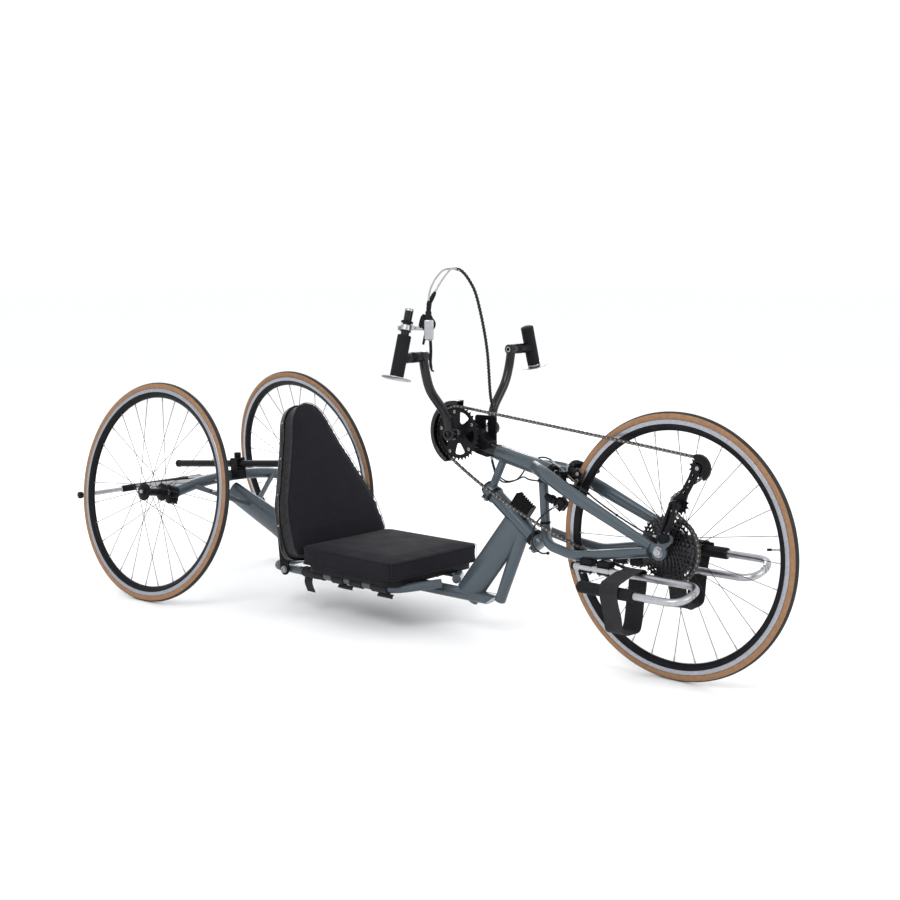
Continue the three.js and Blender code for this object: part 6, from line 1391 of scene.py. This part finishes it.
calliper.tube([stem_foot, at_brake(BRIDGE, 0)], [7, 6.4], count=24, material=SATIN_BLACK)
calliper.turned([(9.4, 0.2), (9.4, 4), (8, 5), (7, 5)], stem_foot, at_brake(BRIDGE, 0) - stem_foot, STEEL, 6)
for s in (-1, 1):
    calliper.rod(at_brake(BRIDGE, s * 24, -27), at_brake(BRIDGE, s * 24, 26.6), 3, STEEL, 20)
    calliper.turned(
        [(5.6, 0), (6, 0.5), (6, 3.4), (4.8, 4.2), (2.8, 4.2), (2.4, 2.6), (0.1, 2.6)],
        at_brake(BRIDGE, s * 24, -25.4), -BRAKE_ALONG, STEEL, 24)
arch_line = [
    at_brake(BEAD + 8, -25, -21), at_brake(TYRE + 2, -29, -23), at_brake(TYRE + 18, -22, -27),
    at_brake(TYRE + 22, 0, -29), at_brake(TYRE + 18, 22, -27), at_brake(TYRE + 2, 28, -23),
    at_brake(BEAD + 4, 26, -22)]
calliper.tube(
    arch_line, [6, 8, 10, 11, 10, 8, 5.5], [4, 5.4, 7, 7.6, 7, 5.4, 4.4], bend=14, sideway=BRAKE_ALONG,
    count=32, material=SATIN_BLACK, square=0.85)
calliper.rod(at_brake(BRIDGE, 0, -4), at_brake(BRIDGE, 0, -24), 7, SATIN_BLACK, 28, edge=1)
calliper.box(at_brake(BEAD + 5, -25, -17), (27, 4.6, 17), (BRAKE_ALONG, Y, BRAKE_OUT), SATIN_BLACK, edge=1.4)
for out, along in ((8, -24), (2, -8)):
    hex_bolt(calliper, at_brake(BEAD + out, -27.2, along), -Y, 4.6, 3.4)
hex_bolt(calliper, at_brake(TYRE + 17, -26, -27), -Y, 4.4, 3)
calliper.rod(at_brake(BEAD + 2, 26, -24), at_brake(304, 30, -33), 3, STEEL, 20)
calliper.turned(
    [(0.1, -6), (5.2, -5.6), (6.2, -4.4), (6.6, 0), (6.2, 4.4), (5.2, 5.6), (0.1, 6)], at_brake(304, 32, -33),
    Y, SATIN_BLACK, 32)
calliper.make("brake_body_look", "fork", "brake_body", "black_metal", sharp=36)
for sign, side in SIDES:
    arm = Form()
    arm.tube(
        [
            at_brake(BRIDGE + 24, sign * 14, ARM_PLANE), at_brake(BRIDGE, sign * 24, ARM_PLANE),
            at_brake(TYRE - 5.5, sign * 28.5, ARM_PLANE), at_brake(BEAD, sign * 21.5, ARM_PLANE)],
        [5.6, 7, 6.4, 5.4], [4.6, 5.4, 5, 4.4], bend=10, sideway=BRAKE_ALONG.cross(BRAKE_OUT), count=24,
        material=SATIN_BLACK, steps=8, square=0.85)
    arm.turned(
        [(3.5, -6), (8.4, -6), (8.8, -5.4), (8.8, 5.4), (8.4, 6), (3.5, 6)],
        at_brake(BRIDGE, sign * 24, ARM_PLANE), BRAKE_ALONG, SATIN_BLACK, 32, closed=True)
    pad_at = at_brake(BEAD - 1.2, sign * 17, ARM_PLANE)
    arm.box(pad_at - Y * sign * 1.6, (42, 5.2, 10), (BRAKE_ALONG, Y, BRAKE_OUT), RUBBER, edge=1)
    arm.box(pad_at + Y * sign * 1.6, (45, 4.6, 11), (BRAKE_ALONG, Y, BRAKE_OUT), SATIN_BLACK, edge=1.2)
    for k in (-1, 1):
        arm.box(
            pad_at - Y * sign * 3.4 + BRAKE_ALONG * k * 12, (2, 1.4, 9.6), (BRAKE_ALONG, Y, BRAKE_OUT),
            SATIN_BLACK, edge=0.3)
    hex_bolt(arm, pad_at + Y * sign * 3.6, Y * sign, 4, 4)
    hex_bolt(arm, at_brake(BRIDGE + 22, sign * 15, ARM_PLANE + 4.2), BRAKE_ALONG, 3.6, 2.6)
    arm.make(f"brake_arm_look_{side}", f"calliper_{side}", f"brake_arm_{side}", "black_metal", sharp=36)


# Footrests
FOOT_SIDE, FOOT_Z, FOOT_SPAN = 77.0, 266.0, 97.0
STRAP_WIDTH, STRAP_HALF_THICK, STRAP_SLACK = 52, 1.1, radians(9.2)
# Each footrest's tilt, and the places along x of the inner end, the front bend, the outer end and the strap
FOOT = {
    "right": (radians(-14.3), 1428.0, 1800.0, 1512.0, 1610.0),
    "left": (radians(18.9), 1478.0, 1850.0, 1562.0, 1635.0)}
for sign, side in SIDES:
    tilt, inner_x, front_x, outer_x, strap_x = FOOT[side]
    at = lambda x, across: V((x, sign * (FOOT_SIDE + across * cos(tilt)), FOOT_Z + across * sin(tilt)))
    hoop = Form()
    hoop.tube(
        [at(inner_x, 0), at(front_x, 0), at(front_x, FOOT_SPAN), at(outer_x, FOOT_SPAN)], 9.5, bend=46,
        sideway=at(0, 1) - at(0, 0), count=32, material=ALLOY, steps=14)
    hoop.turned([(10.1, -2), (10.1, 4), (0.1, 4)], at(inner_x - 3, 0), -X, PLASTIC, 28)
    hoop.turned([
        (9.6, 0), (13.6, 0.4), (15, 2), (15, 52), (14.4, 53), (14.4, 54), (15, 55), (15, 157), (14.2, 159.4),
        (12, 160), (9.6, 160)
    ], at(outer_x, FOOT_SPAN), X, FOAM, 36)
    hoop.turned(
        [(9.8, -3.4), (11.4, -3), (12.4, -1), (12.4, 0.6), (9.8, 0.6)], at(outer_x, FOOT_SPAN), X, PLASTIC, 32)
    hoop.make(f"foot_hoop_look_{side}", f"footrest_{side}", f"foot_hoop_{side}", "silver_metal")

    # The wide strap lies over the hoop and hangs under it as a slack loop
    outer, inner = at(strap_x, FOOT_SPAN), at(strap_x, 0)
    low = min(outer.z, inner.z) - 108
    u_out, u_in = abs(outer.y), abs(inner.y)
    quarter = pi / 2
    line = []
    for k in range(7):
        a = quarter + tilt + (-STRAP_SLACK - quarter - tilt) * k / 6
        line.append((u_out + 17.4 * cos(a), outer.z + 17.4 * sin(a) + 7 * cos(k / 6 * quarter)))
    line += [
        (u_out + 6, outer.z - 38), (u_out - 3, outer.z * 0.42 + low * 0.58), (u_out - 9, low + 16),
        (u_out - 22, low + 3), ((u_out + u_in) / 2, low + 1), (u_in + 20, low), (u_in + 8, low + 14),
        (u_in - 1, inner.z * 0.5 + low * 0.5), (u_in - 9, inner.z - 34)]
    for k in range(5):
        a = pi + STRAP_SLACK + (quarter + tilt - pi - STRAP_SLACK) * k / 4
        line.append((u_in + 12.4 * cos(a), inner.z + 12.4 * sin(a) + 5 * sin(k / 4 * quarter)))
    rise = sin(tilt) / cos(tilt)
    line += [(u_in + 24, inner.z + 24 * rise + 19), ((u_in + u_out) / 2, (inner.z + outer.z) / 2 + 24)]
    loop = smooth_path([(a, b, 0) for a, b in [*line, line[0]]], 4)[:-1]
    rings = []
    for i, p in enumerate(loop):
        before, after = loop[i - 1], loop[(i + 1) % len(loop)]
        way = (after - before).normalized()
        normal = V((way.y, -way.x, 0))
        ripple = 1.1 * sin(i * 0.9) + 0.7 * sin(i * 0.37)
        spots = []
        for j in range(13):
            across = -1 + j / 6
            curl = -1.2 * across * across + 0.5 * ripple * sin(across * 2.4 + i * 0.21)
            spots.append((across * STRAP_WIDTH / 2, curl))
        faces = [(a, c + STRAP_HALF_THICK) for a, c in spots]
        faces += [(a, c - STRAP_HALF_THICK) for a, c in reversed(spots)]
        rings.append([V((strap_x + a, sign * (p.x + normal.x * c), p.y + normal.y * c)) for a, c in faces])
    strap = Form().skin(rings, WEBBING, closed=True)
    made = strap.make(
        f"foot_strap_look_{side}", f"footrest_{side}", f"foot_strap_{side}", "black_fabric", sharp=60)


# Cables
def spiral_wrap(form, path, radius, pitch, thick, material):
    """A band wound round a line from end to end."""
    travelled, points, last = 0.0, [], path[0]
    for p, way, side in line_frames(path, V((0.3, 0.9, 0.2))):
        travelled += (p - last).length
        last = p
        up = way.cross(side)
        a = travelled / pitch * TAU
        points.append(p + side * cos(a) * radius + up * sin(a) * radius)
    form.hose(points, thick, material, count=6)


def dense(points, step):
    """A smooth line through the points, cut into equal steps."""
    line = smooth_path(points, 24)
    out, here = [line[0]], line[0]
    for p in line[1:]:
        while (p - here).length >= step:
            here = here + (p - here).normalized() * step
            out.append(here)
    return out + [line[-1]]


# The points of the harness are those of the CAD source
HARNESS = [
    (1036, -188, 928), (1042, -165, 973), (1062, -110, 1008), (1079, -70, 966), (1085, -45, 900),
    (1084, -15, 793), (1070, 14, 676), (1065, 30, 628), (1062, 30, 560), (1062, 30, 500), (1066, 34, 470),
    (1078, 34, 446)]
BRAKE_CABLE = [
    (1072, 34, 452), (1100, 34, 432), (1150, 34, 446), (1196, 26, 492), (1248, 8, 516), (1290, -6, 517),
    (1308, -12, 509)]
GEAR_CABLE = [
    (1076, 34, 450), (1110, 34, 436), (1160, 14, 446), (1205, -10, 462), (1240, -22, 459), (1310, -27, 462),
    (1345, -40, 468), (1400, -43, 462), (1440, -50, 453), (1485, -60, 434), (1560, -66, 402), (1640, -80, 378),
    (1678, -84, 373)]
PARK_CABLE = [
    (1312, -8, 396), (1284, -24, 372), (1262, -29, 345), (1254, -30, 322), (1254, -30, 288), (1281, -30, 271),
    (1331, -60, 282)]

harness_line = dense(HARNESS, 1.6)
apex = max(range(len(harness_line)), key=lambda i: harness_line[i].z)
lower = min(range(len(harness_line)), key=lambda i: (harness_line[i] - V(HARNESS[7])).length)

# Two pale housings leave the boots and meet at the top of the arch
upper_end = Form()
PALE_WAY = {-1: ((6, 100), (20, 127), (42, 148)), 1: ((31, 115), (45.5, 135), (60, 150))}
arch_top = harness_line[apex]
far_side = (arch_top - BODY_AT).dot(LEVER_SIDE)
for s, middles in PALE_WAY.items():
    top, foot = BOOTS[s]
    start = foot + (top - foot).normalized() * 28
    near_side = (start - BODY_AT).dot(LEVER_SIDE)
    spots = []
    for k, (out, up) in enumerate(middles):
        spots.append(on_lever(out, near_side + (far_side - near_side) * (k + 1) / 4, up))
    line = dense([
        start, start + (top - foot).normalized() * 9, *spots, arch_top + LEVER_SIDE * s * 1.6,
        arch_top + V((3, 9, -5)) + LEVER_SIDE * s * 1.6
    ], 2.4)
    upper_end.hose(line, 2.5, GREY_HOUSING, 14)
upper_end = upper_end.make("harness_top_look", sharp=60)
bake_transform(upper_end)

arch = Form()
run = harness_line[apex - 2:lower + 1]
arch.hose(run, 3.7, HOUSING, 14)
spiral_wrap(arch, run, 3.9, 9.5, 1.3, PLASTIC)
arch = arch.make("harness_arch_look", sharp=60)
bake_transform(arch)

lower_run = Form()
run = harness_line[lower:]
lower_run.hose(run, 3.7, HOUSING, 14)
spiral_wrap(lower_run, run[:40], 3.9, 9.5, 1.3, PLASTIC)
for share in (0.34, 0.52, 0.93):
    i = int(share * (len(run) - 2))
    lower_run.turned(
        [(3.4, -4), (4.6, -3.4), (4.9, 0), (4.6, 3.4), (3.4, 4)], run[i], run[i + 1] - run[i], SATIN_BLACK, 18)
i = int(0.72 * len(run))
lower_run.turned([(3.4, -5), (4.2, -4.4), (4.2, 4.4), (3.4, 5)], run[i], run[i + 1] - run[i], STEEL, 18)
lower_run.make("harness_lower_look", "fork", "cables", "black_plastic", sharp=60)

for name, route, radius in (("brake_cable_look", BRAKE_CABLE, 2.3), ("gear_cable_look", GEAR_CABLE, 2.2)):
    line = dense(route, 3)
    form = Form().hose(line, radius, HOUSING, 12)
    for i in (1, len(line) - 4):
        form.turned(
            [(radius, -5), (radius + 0.9, -4.6), (radius + 0.9, 4.6), (radius, 5)], line[i],
            line[i + 1] - line[i], STEEL, 14)
    if name == "gear_cable_look":
        for share in (0.45, 0.62, 0.78):
            i = int(share * len(line))
            form.turned(
                [(radius, -1.4), (radius + 1.4, -1.2), (radius + 1.4, 1.2), (radius, 1.4)], line[i],
                line[i + 1] - line[i], PLASTIC, 14)
    else:
        end = line[-1]
        barrel, anchor = V((1334, -18, 500.4)), V((1387.6, -30, 472.4))
        form.turned(
            [(2.3, -4), (3.2, -3.4), (3.2, 2), (2.4, 3), (2.4, 24), (3, 25), (3, 29), (1, 30)], end,
            barrel - end, ALLOY, 20)
        form.rod(barrel, anchor, 1, ALLOY, 10)
        form.rod(anchor + Y * 4, anchor - Y * 3, 2.6, STEEL, 16, edge=0.4)
    form.make(name, "fork", slot="black_plastic", sharp=60)

# Parking brake: a small black block under the calliper, its neck to the strut and its cable
park = Form()
lean_park = -brake_angle / 4
park_x = V((cos(lean_park), 0, sin(lean_park)))
park_z = V((-sin(lean_park), 0, cos(lean_park)))
park_at = V((1324, 0, 402))
park.box(park_at, (29, 25, 33), (park_x, Y, park_z), SATIN_BLACK, edge=3)
park.box(park_at + park_z * 6, (31, 18, 9), (park_x, Y, park_z), PLASTIC, edge=1.5)
park.rod((1267, 0, 419), park_at, 9.6, SATIN_BLACK, 28)
park.turned(
    [(9.8, 0), (12, 0.6), (12, 8), (9.8, 8.6)], (1290, 0, 412), park_at - V((1262, 0, 419)), SATIN_BLACK, 32)
for y in (-1, 1):
    hex_bolt(park, park_at + Y * y * 12.4 + park_z * -7, Y * y, 4.2, 2)
hex_bolt(park, park_at - park_z * 16.4, -park_z, 4.6, 3)
line = dense(PARK_CABLE, 3)
park.hose(line, 2.3, HOUSING, 12)
park.turned([(2.3, -5), (3.3, -4.6), (3.3, 4.6), (2.3, 5)], line[2], line[3] - line[2], STEEL, 14)
park.turned([(2.3, -2), (4.4, -1.6), (4.4, 1.6), (2.3, 2)], line[-4], line[-3] - line[-4], PLASTIC, 14)
park.make("parking_brake_look", "fork", "parking_brake", "black_metal", sharp=36)


# Seat and backrest
def grown(outline, amount):
    """The outline moved outwards along its own normals."""
    out = []
    for i, (a, b) in enumerate(outline):
        p, q = outline[i - 1], outline[(i + 1) % len(outline)]
        dx, dy = q[0] - p[0], q[1] - p[1]
        size = hypot(dx, dy)
        out.append((a + dy / size * amount, b - dx / size * amount))
    return out


def closed_curve(points, step):
    """A smooth closed line through the points, cut into near-equal steps."""
    pts = [V((*p, 0)) for p in points]
    count, line = len(pts), []
    for i in range(count):
        a, b, c, d = pts[i - 1], pts[i], pts[(i + 1) % count], pts[(i + 2) % count]
        ta = max(1e-6, (b - a).length ** 0.5)
        tb = max(1e-6, (c - b).length ** 0.5)
        tc = max(1e-6, (d - c).length ** 0.5)
        m = ((b - a) / ta - (c - a) / (ta + tb) + (c - b) / tb) * tb
        n = ((c - b) / tb - (d - b) / (tb + tc) + (d - c) / tc) * tb
        steps = max(2, int((c - b).length / step))
        for k in range(steps):
            t = k / steps
            p = b * (2 * t ** 3 - 3 * t * t + 1) + m * (t ** 3 - 2 * t * t + t)
            p = p + c * (3 * t * t - 2 * t ** 3) + n * (t ** 3 - t * t)
            line.append((p.x, p.y))
    return line


def spaced(outline, step):
    """The same outline with points on its straight runs too."""
    out = []
    for i, (a, b) in enumerate(outline):
        c, d = outline[(i + 1) % len(outline)]
        count = max(1, int(hypot(c - a, d - b) / step))
        out += [(a + (c - a) * k / count, b + (d - b) * k / count) for k in range(count)]
    return out


def rings_of(outline, levels, to_world):
    """Each level is an outward growth, a share of the way to the middle, and a height."""
    u = sum(p[0] for p in outline) / len(outline)
    v = sum(p[1] for p in outline) / len(outline)
    rings = []
    for out, share, height in levels:
        ring = grown(outline, out)
        rings.append([to_world(a + (u - a) * share, b + (v - b) * share, height) for a, b in ring])
    return rings


def take(made):
    """The modifiers' result becomes the mesh itself."""
    mesh = bpy.data.meshes.new_from_object(made.evaluated_get(bpy.context.evaluated_depsgraph_get()))
    made.modifiers.clear()
    old = made.data
    made.data = mesh
    bpy.data.meshes.remove(old)


def puff(made, freedom):
    """Air pressure fills the sewn cover; freedom gives each point's share of the most that it may move."""
    frames = 20
    voxels = made.modifiers.new("voxels", "REMESH")
    voxels.mode = "VOXEL"
    voxels.voxel_size = 5.5 * MM
    take(made)
    rest = [v.co.copy() for v in made.data.vertices]
    cloth = made.modifiers.new("cloth", "CLOTH")
    cloth.settings.quality = 4
    cloth.settings.mass = 0.3
    cloth.settings.use_pressure = True
    cloth.settings.uniform_pressure_force = 4
    cloth.settings.effector_weights.gravity = 0
    cloth.point_cache.frame_start = 1
    cloth.point_cache.frame_end = frames
    for number in range(1, frames + 1):
        bpy.context.scene.frame_set(number)
    take(made)
    bpy.context.scene.frame_set(1)
    for vertex, before in zip(made.data.vertices, rest):
        move = vertex.co - before
        limit = MOST_PUFF * MM * freedom(before)
        if move.length > limit:
            vertex.co = before + move * (limit / move.length)
    fine = made.modifiers.new("fine", "SUBSURF")
    fine.levels = fine.render_levels = 1
    take(made)


def two_cloths(made, face_way, face, side):
    """The side band is of another cloth than the broad faces."""
    made.data.materials.clear()
    made.data.materials.append(face)
    made.data.materials.append(side)
    for polygon in made.data.polygons:
        polygon.material_index = 0 if abs(polygon.normal.dot(face_way)) > 0.62 else 1
        polygon.use_smooth = True


SEAT_FRONT, SEAT_REAR, SEAT_HALF, SEAT_LOW = 885.0, 516.0, 183.0, 157.0
MOST_PUFF = 6
seat_outline = spaced(rounded(SEAT_REAR, SEAT_FRONT, -SEAT_HALF, SEAT_HALF, 20, 7), 12)
seat_point = lambda a, b, height: V((a, b, SEAT_LOW + height))
seat_levels = [
    (-7, 0, 0), (-2, 0, 0.5), (0, 0, 4), (-1.5, 0, 14), (-2.6, 0, 26), (-1.6, 0, 38), (-0.2, 0, 48),
    (-0.8, 0, 50.6), (-3, 0, 52), (-3, 0.12, 54.4), (-3, 0.4, 57), (-3, 0.75, 58.4)]
seat = Form().skin(rings_of(seat_outline, seat_levels, seat_point), CUSHION).make("seat_cushion_look")
seat_low, seat_top = (SEAT_LOW + 3) * MM, (SEAT_LOW + 49) * MM
seat_middle = V(in_frame(((SEAT_FRONT + SEAT_REAR) / 2, 0, 0)))


def seat_freedom(co):
    """The bottom rests on the board and the seams hold; the broad faces are free."""
    if co.z < seat_low:
        return 0
    inwards = min((SEAT_FRONT - SEAT_REAR) / 2 * MM - abs(co.x - seat_middle.x), SEAT_HALF * MM - abs(co.y))
    if co.z > seat_top:
        return min(1, 0.12 + inwards / 0.05)
    return min(0.3, (co.z - seat_low) / 0.03, (seat_top - co.z) / 0.03)


puff(seat, seat_freedom)
two_cloths(seat, Z, CUSHION, CUSHION)
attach(seat, "frame")
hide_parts("seat_cushion")
seams = Form()
for height, out in ((50.7, -0.9), (3.0, -0.2)):
    ring = [seat_point(a, b, height) for a, b in grown(seat_outline, out)]
    ring = ring + [ring[0]]
    seams.hose(ring, 0.9, PIPING, 8)
for sign in (-1, 1):
    upright = [seat_point(SEAT_FRONT - 5.2, sign * (SEAT_HALF - 5.2), h) for h in (4, 14, 26, 38, 50)]
    seams.hose(upright, 0.7, PIPING, 6)
seams.make("seat_seams", "frame", slot="black_fabric")

# Sling: the board under the cushion and the webbing bands round the rails
SLING_BANDS = ((532, 43), (636, 24), (711, 23), (802, 31))
sling = Form()
pan = spaced(rounded(SEAT_REAR + 12, SEAT_FRONT - 12, -SEAT_HALF + 12, SEAT_HALF - 12, 28, 6), 20)
pan_levels = [(-3, 0, 138), (-0.6, 0, 138.6), (0, 0, 141), (0, 0, 153.6), (-0.6, 0, 156), (-3, 0, 156.6)]
sling.skin(rings_of(pan, pan_levels, lambda a, b, h: V((a, b, h))), PLASTIC)
for index, (x, reach) in enumerate(SLING_BANDS):
    for sign in (-1, 1):
        loops = []
        for k in range(36):
            a = k / 36 * TAU
            r = 15.0 + 0.35 * sin(a * 3 + index * 2 + sign)
            loops.append((sign * 140 + r * cos(a), 125 + r * sin(a)))
        rings = []
        for step in range(9):
            across = -1 + step / 4
            lift = -0.5 * across * across + 0.2 * sin(step * 1.7 + index)
            rings.append([V((x + across * reach, u, v)) for u, v in grown(loops, lift + 0.8)])
        rings += [
            [V((x - across * reach, u, v)) for u, v in grown(loops, -1.4)] for across in (-1, -0.5, 0, 0.5, 1)]
        sling.skin(rings, WEBBING, closed=True)
        for edge in (4 - reach, reach - 4):
            ring = [V((x + edge, u, v)) for u, v in grown(loops, 0.9)]
            sling.hose(ring + [ring[0]], 0.35, THREAD, 5)
        sling.box((x, sign * 118, 133.6), (2 * reach - 4, 36, 2.4), (X, Y, Z), WEBBING, edge=0.8)
    sling.box((x, 0, 136.2), (2 * reach - 4, 214, 2.2), (X, Y, Z), WEBBING, edge=0.8)
tails = (
    (505, -1, 38, 0.5, 32), (664, -1, 8, 0.2, 58), (822, -1, 8, 0.2, 58), (560, 1, 16, 0.2, 36),
    (735, 1, 12, -0.1, 44))
for x, sign, drop, slant, width in tails:
    path = smooth_path([
        (x, sign * 139, 110.6), (x + slant * drop * 0.3, sign * 146, 109 - drop * 0.4),
        (x + slant * drop, sign * 147, 109 - drop),
    ], 5)
    corners = ((-0.5, 0, 0), (0.5, 0, 0), (0.5, sign * 2, -0.6), (-0.5, sign * 2, -0.6))
    section = [V((share * width, y, z)) for share, y, z in corners]
    sling.skin([[p + corner for corner in section] for p in path], WEBBING)
sling.make("seat_sling_look", "frame", "seat_sling", "black_plastic", sharp=45)


# Backrest: side, up and back are measured from the middle of its lower edge, along the reclined pad
RECLINE = radians(20.6)
BACK_UP = V((-sin(RECLINE), 0, cos(RECLINE)))
BACK_WAY = V((-cos(RECLINE), 0, -sin(RECLINE)))
back_point = lambda side, up, back: V((497, side, 218)) + BACK_UP * up + BACK_WAY * back
half = [
    (0, -46), (150.4, -46), (184, -30), (188, 30), (172, 117), (150.4, 165), (92, 298), (62, 372), (34, 402),
    (0, 411)]
back_outline = closed_curve(half + [(-a, b) for a, b in reversed(half[1:-1])], 11)
back_levels = [
    (-10, 0.02, 57.6), (-2, 0, 57.4), (-0.4, 0, 53), (-1.2, 0, 44), (-2.6, 0, 29), (-1.2, 0, 14),
    (-0.2, 0, 5.4), (-1.2, 0, 2.4), (-3.6, 0, 0.4), (-4, 0.1, -1.6), (-4, 0.4, -4), (-4, 0.75, -5.2)]
pad_point = lambda side, up, back: back_point(side, up, back + 0.13 * max(0, -up))
back = Form().skin(rings_of(back_outline, back_levels, pad_point), CUSHION).make("backrest_cushion_look")
face_at = V(in_frame(back_point(0, 0, 0)))


def back_freedom(co):
    """The shell holds the back and the lower edge; the front face and the band between the seams are free."""
    depth = (co - face_at).dot(BACK_WAY) / MM
    if depth > 40:
        return 0
    if depth < 3:
        up = (co - face_at).dot(BACK_UP) / MM
        return min(1, 0.12 + max(0, min(up + 20, 411 - up)) / 60)
    return 0.35 * min(1, (depth - 3) / 12, (42 - depth) / 12)


puff(back, back_freedom)
for vertex in back.data.vertices:
    spot = vertex.co - face_at
    depth = spot.dot(BACK_WAY) / MM
    if 5 < depth < 44 and abs(vertex.normal.dot(BACK_WAY)) < 0.75:
        along, across = spot.dot(BACK_UP) / MM, spot.y / MM
        share = min(1, (depth - 5) / 7, (44 - depth) / 7)
        fold = noise.noise(V((across * 0.11, along * 0.11, depth * 0.022)))
        fold += 0.5 * noise.noise(V((across * 0.3, along * 0.3, depth * 0.04 + 7)))
        vertex.co += vertex.normal * (fold * 2.4 * share - 0.8 * share) * MM
two_cloths(back, BACK_WAY, CUSHION, BAND)
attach(back, "backrest")
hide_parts("backrest_cushion")
back_seams = Form()
ring = [pad_point(a, b, 2.6) for a, b in grown(back_outline, -1.0)]
back_seams.hose(ring + [ring[0]], 1.0, PIPING, 8)
back_seams.make("backrest_seams", "backrest", slot="black_fabric")

# Shell: a thin glossy tray whose lip shows round the cushion, with rivets,
# the hinge brackets and the bar's clevis
shell = Form()
shell_levels = [
    (-2, 0.1, 59.4), (0.7, 0, 59.2), (0.7, 0, 42.6), (1.4, 0, 41.9), (2.8, 0, 41.9), (3.6, 0, 42.8),
    (3.6, 0, 57), (3.0, 0, 60.4), (0.6, 0, 63.2), (-2.4, 0, 64.2), (-8, 0.12, 64.3), (-8, 0.5, 64.6)]
shell.skin(rings_of(back_outline, shell_levels, back_point), GLOSS_BLACK)
outline_out = grown(back_outline, 3.6)
rivets = ((187, 60), (160, 155), (112, 265), (70, 362))
for side, up in (*rivets, *((-side, up) for side, up in rivets)):
    a, b = min(outline_out, key=lambda p: hypot(p[0] - side, p[1] - up))
    i = outline_out.index((a, b))
    p, q = outline_out[i - 1], outline_out[(i + 1) % len(outline_out)]
    way = (back_point(q[1], -q[0], 0) - back_point(p[1], -p[0], 0)).normalized()
    shell.turned([(3.4, -0.4), (3.2, 0.6), (2.2, 1.3), (0.1, 1.6)], back_point(a, b, 49), way, STEEL, 18)
PIVOT = V((422, 0, 125))
for sign in (-1, 1):
    loop = [(PIVOT.x + 17 * cos(pi + i / 14 * pi), PIVOT.z + 17 * sin(pi + i / 14 * pi)) for i in range(15)]
    for up, depth in ((6, 62), (90, 62), (90, 80), (84, 84)):
        p = back_point(0, up, depth)
        loop.append((p.x, p.z))
    shell.plate([loop, circle(4.9, 20, (PIVOT.x, PIVOT.z))], 6, SATIN_BLACK, (0, sign * 159, 0), X, Z, edge=0.8)
    at = lambda y: V((PIVOT.x, sign * y, PIVOT.z))
    shell.rod(at(128), at(162.2), 5, STEEL, 24)
    shell.turned([
        (10.6, 161.8), (10.6, 163), (8.4, 163.4), (8.4, 167.4), (7.6, 168), (4.6, 168), (4.2, 165.6),
        (0.1, 165.6)
    ], V((PIVOT.x, 0, PIVOT.z)), Y * sign, STEEL, 32)
    flange = back_point(sign * 152, 48, 64.8)
    shell.box(flange + BACK_WAY * 0.6, (70, 16, 3), (BACK_UP, Y, BACK_WAY), SATIN_BLACK, edge=0.8)
    for up in (26, 70):
        hex_bolt(shell, back_point(sign * 150, up, 66.6), BACK_WAY, 4.2, 3)
PIN = V((334, 0, bar_height(334)))
pin_up = (PIN - back_point(0, 0, 0)).dot(BACK_UP)
for sign in (-1, 1):
    loop = [back_point(0, pin_up - 20, 64), back_point(0, pin_up + 20, 64)]
    for k in range(13):
        a = radians(25 + 130 * k / 12)
        loop.append(PIN + (BACK_UP * cos(a) + BACK_WAY * sin(a)) * 13)
    shell.plate([[(p.x, p.z) for p in loop]], 6, SATIN_BLACK, (0, sign * 15.5, 0), X, Z, edge=0.8)
    shell.box(back_point(sign * 24, pin_up, 65.8), (44, 20, 3), (BACK_UP, Y, BACK_WAY), SATIN_BLACK, edge=0.8)
    for up in (-13, 13):
        hex_bolt(shell, back_point(sign * 26, pin_up + up, 67.4), BACK_WAY, 3.6, 2.8)
shell.rod(PIN - Y * 22, PIN + Y * 22, 5, STEEL, 24, edge=0.6)
for sign in (-1, 1):
    shell.rod(PIN + Y * sign * 18.6, PIN + Y * sign * 24, 8, STEEL, 6)
shell.make("backrest_shell_look", "backrest", "backrest_shell", "black_metal", sharp=36)
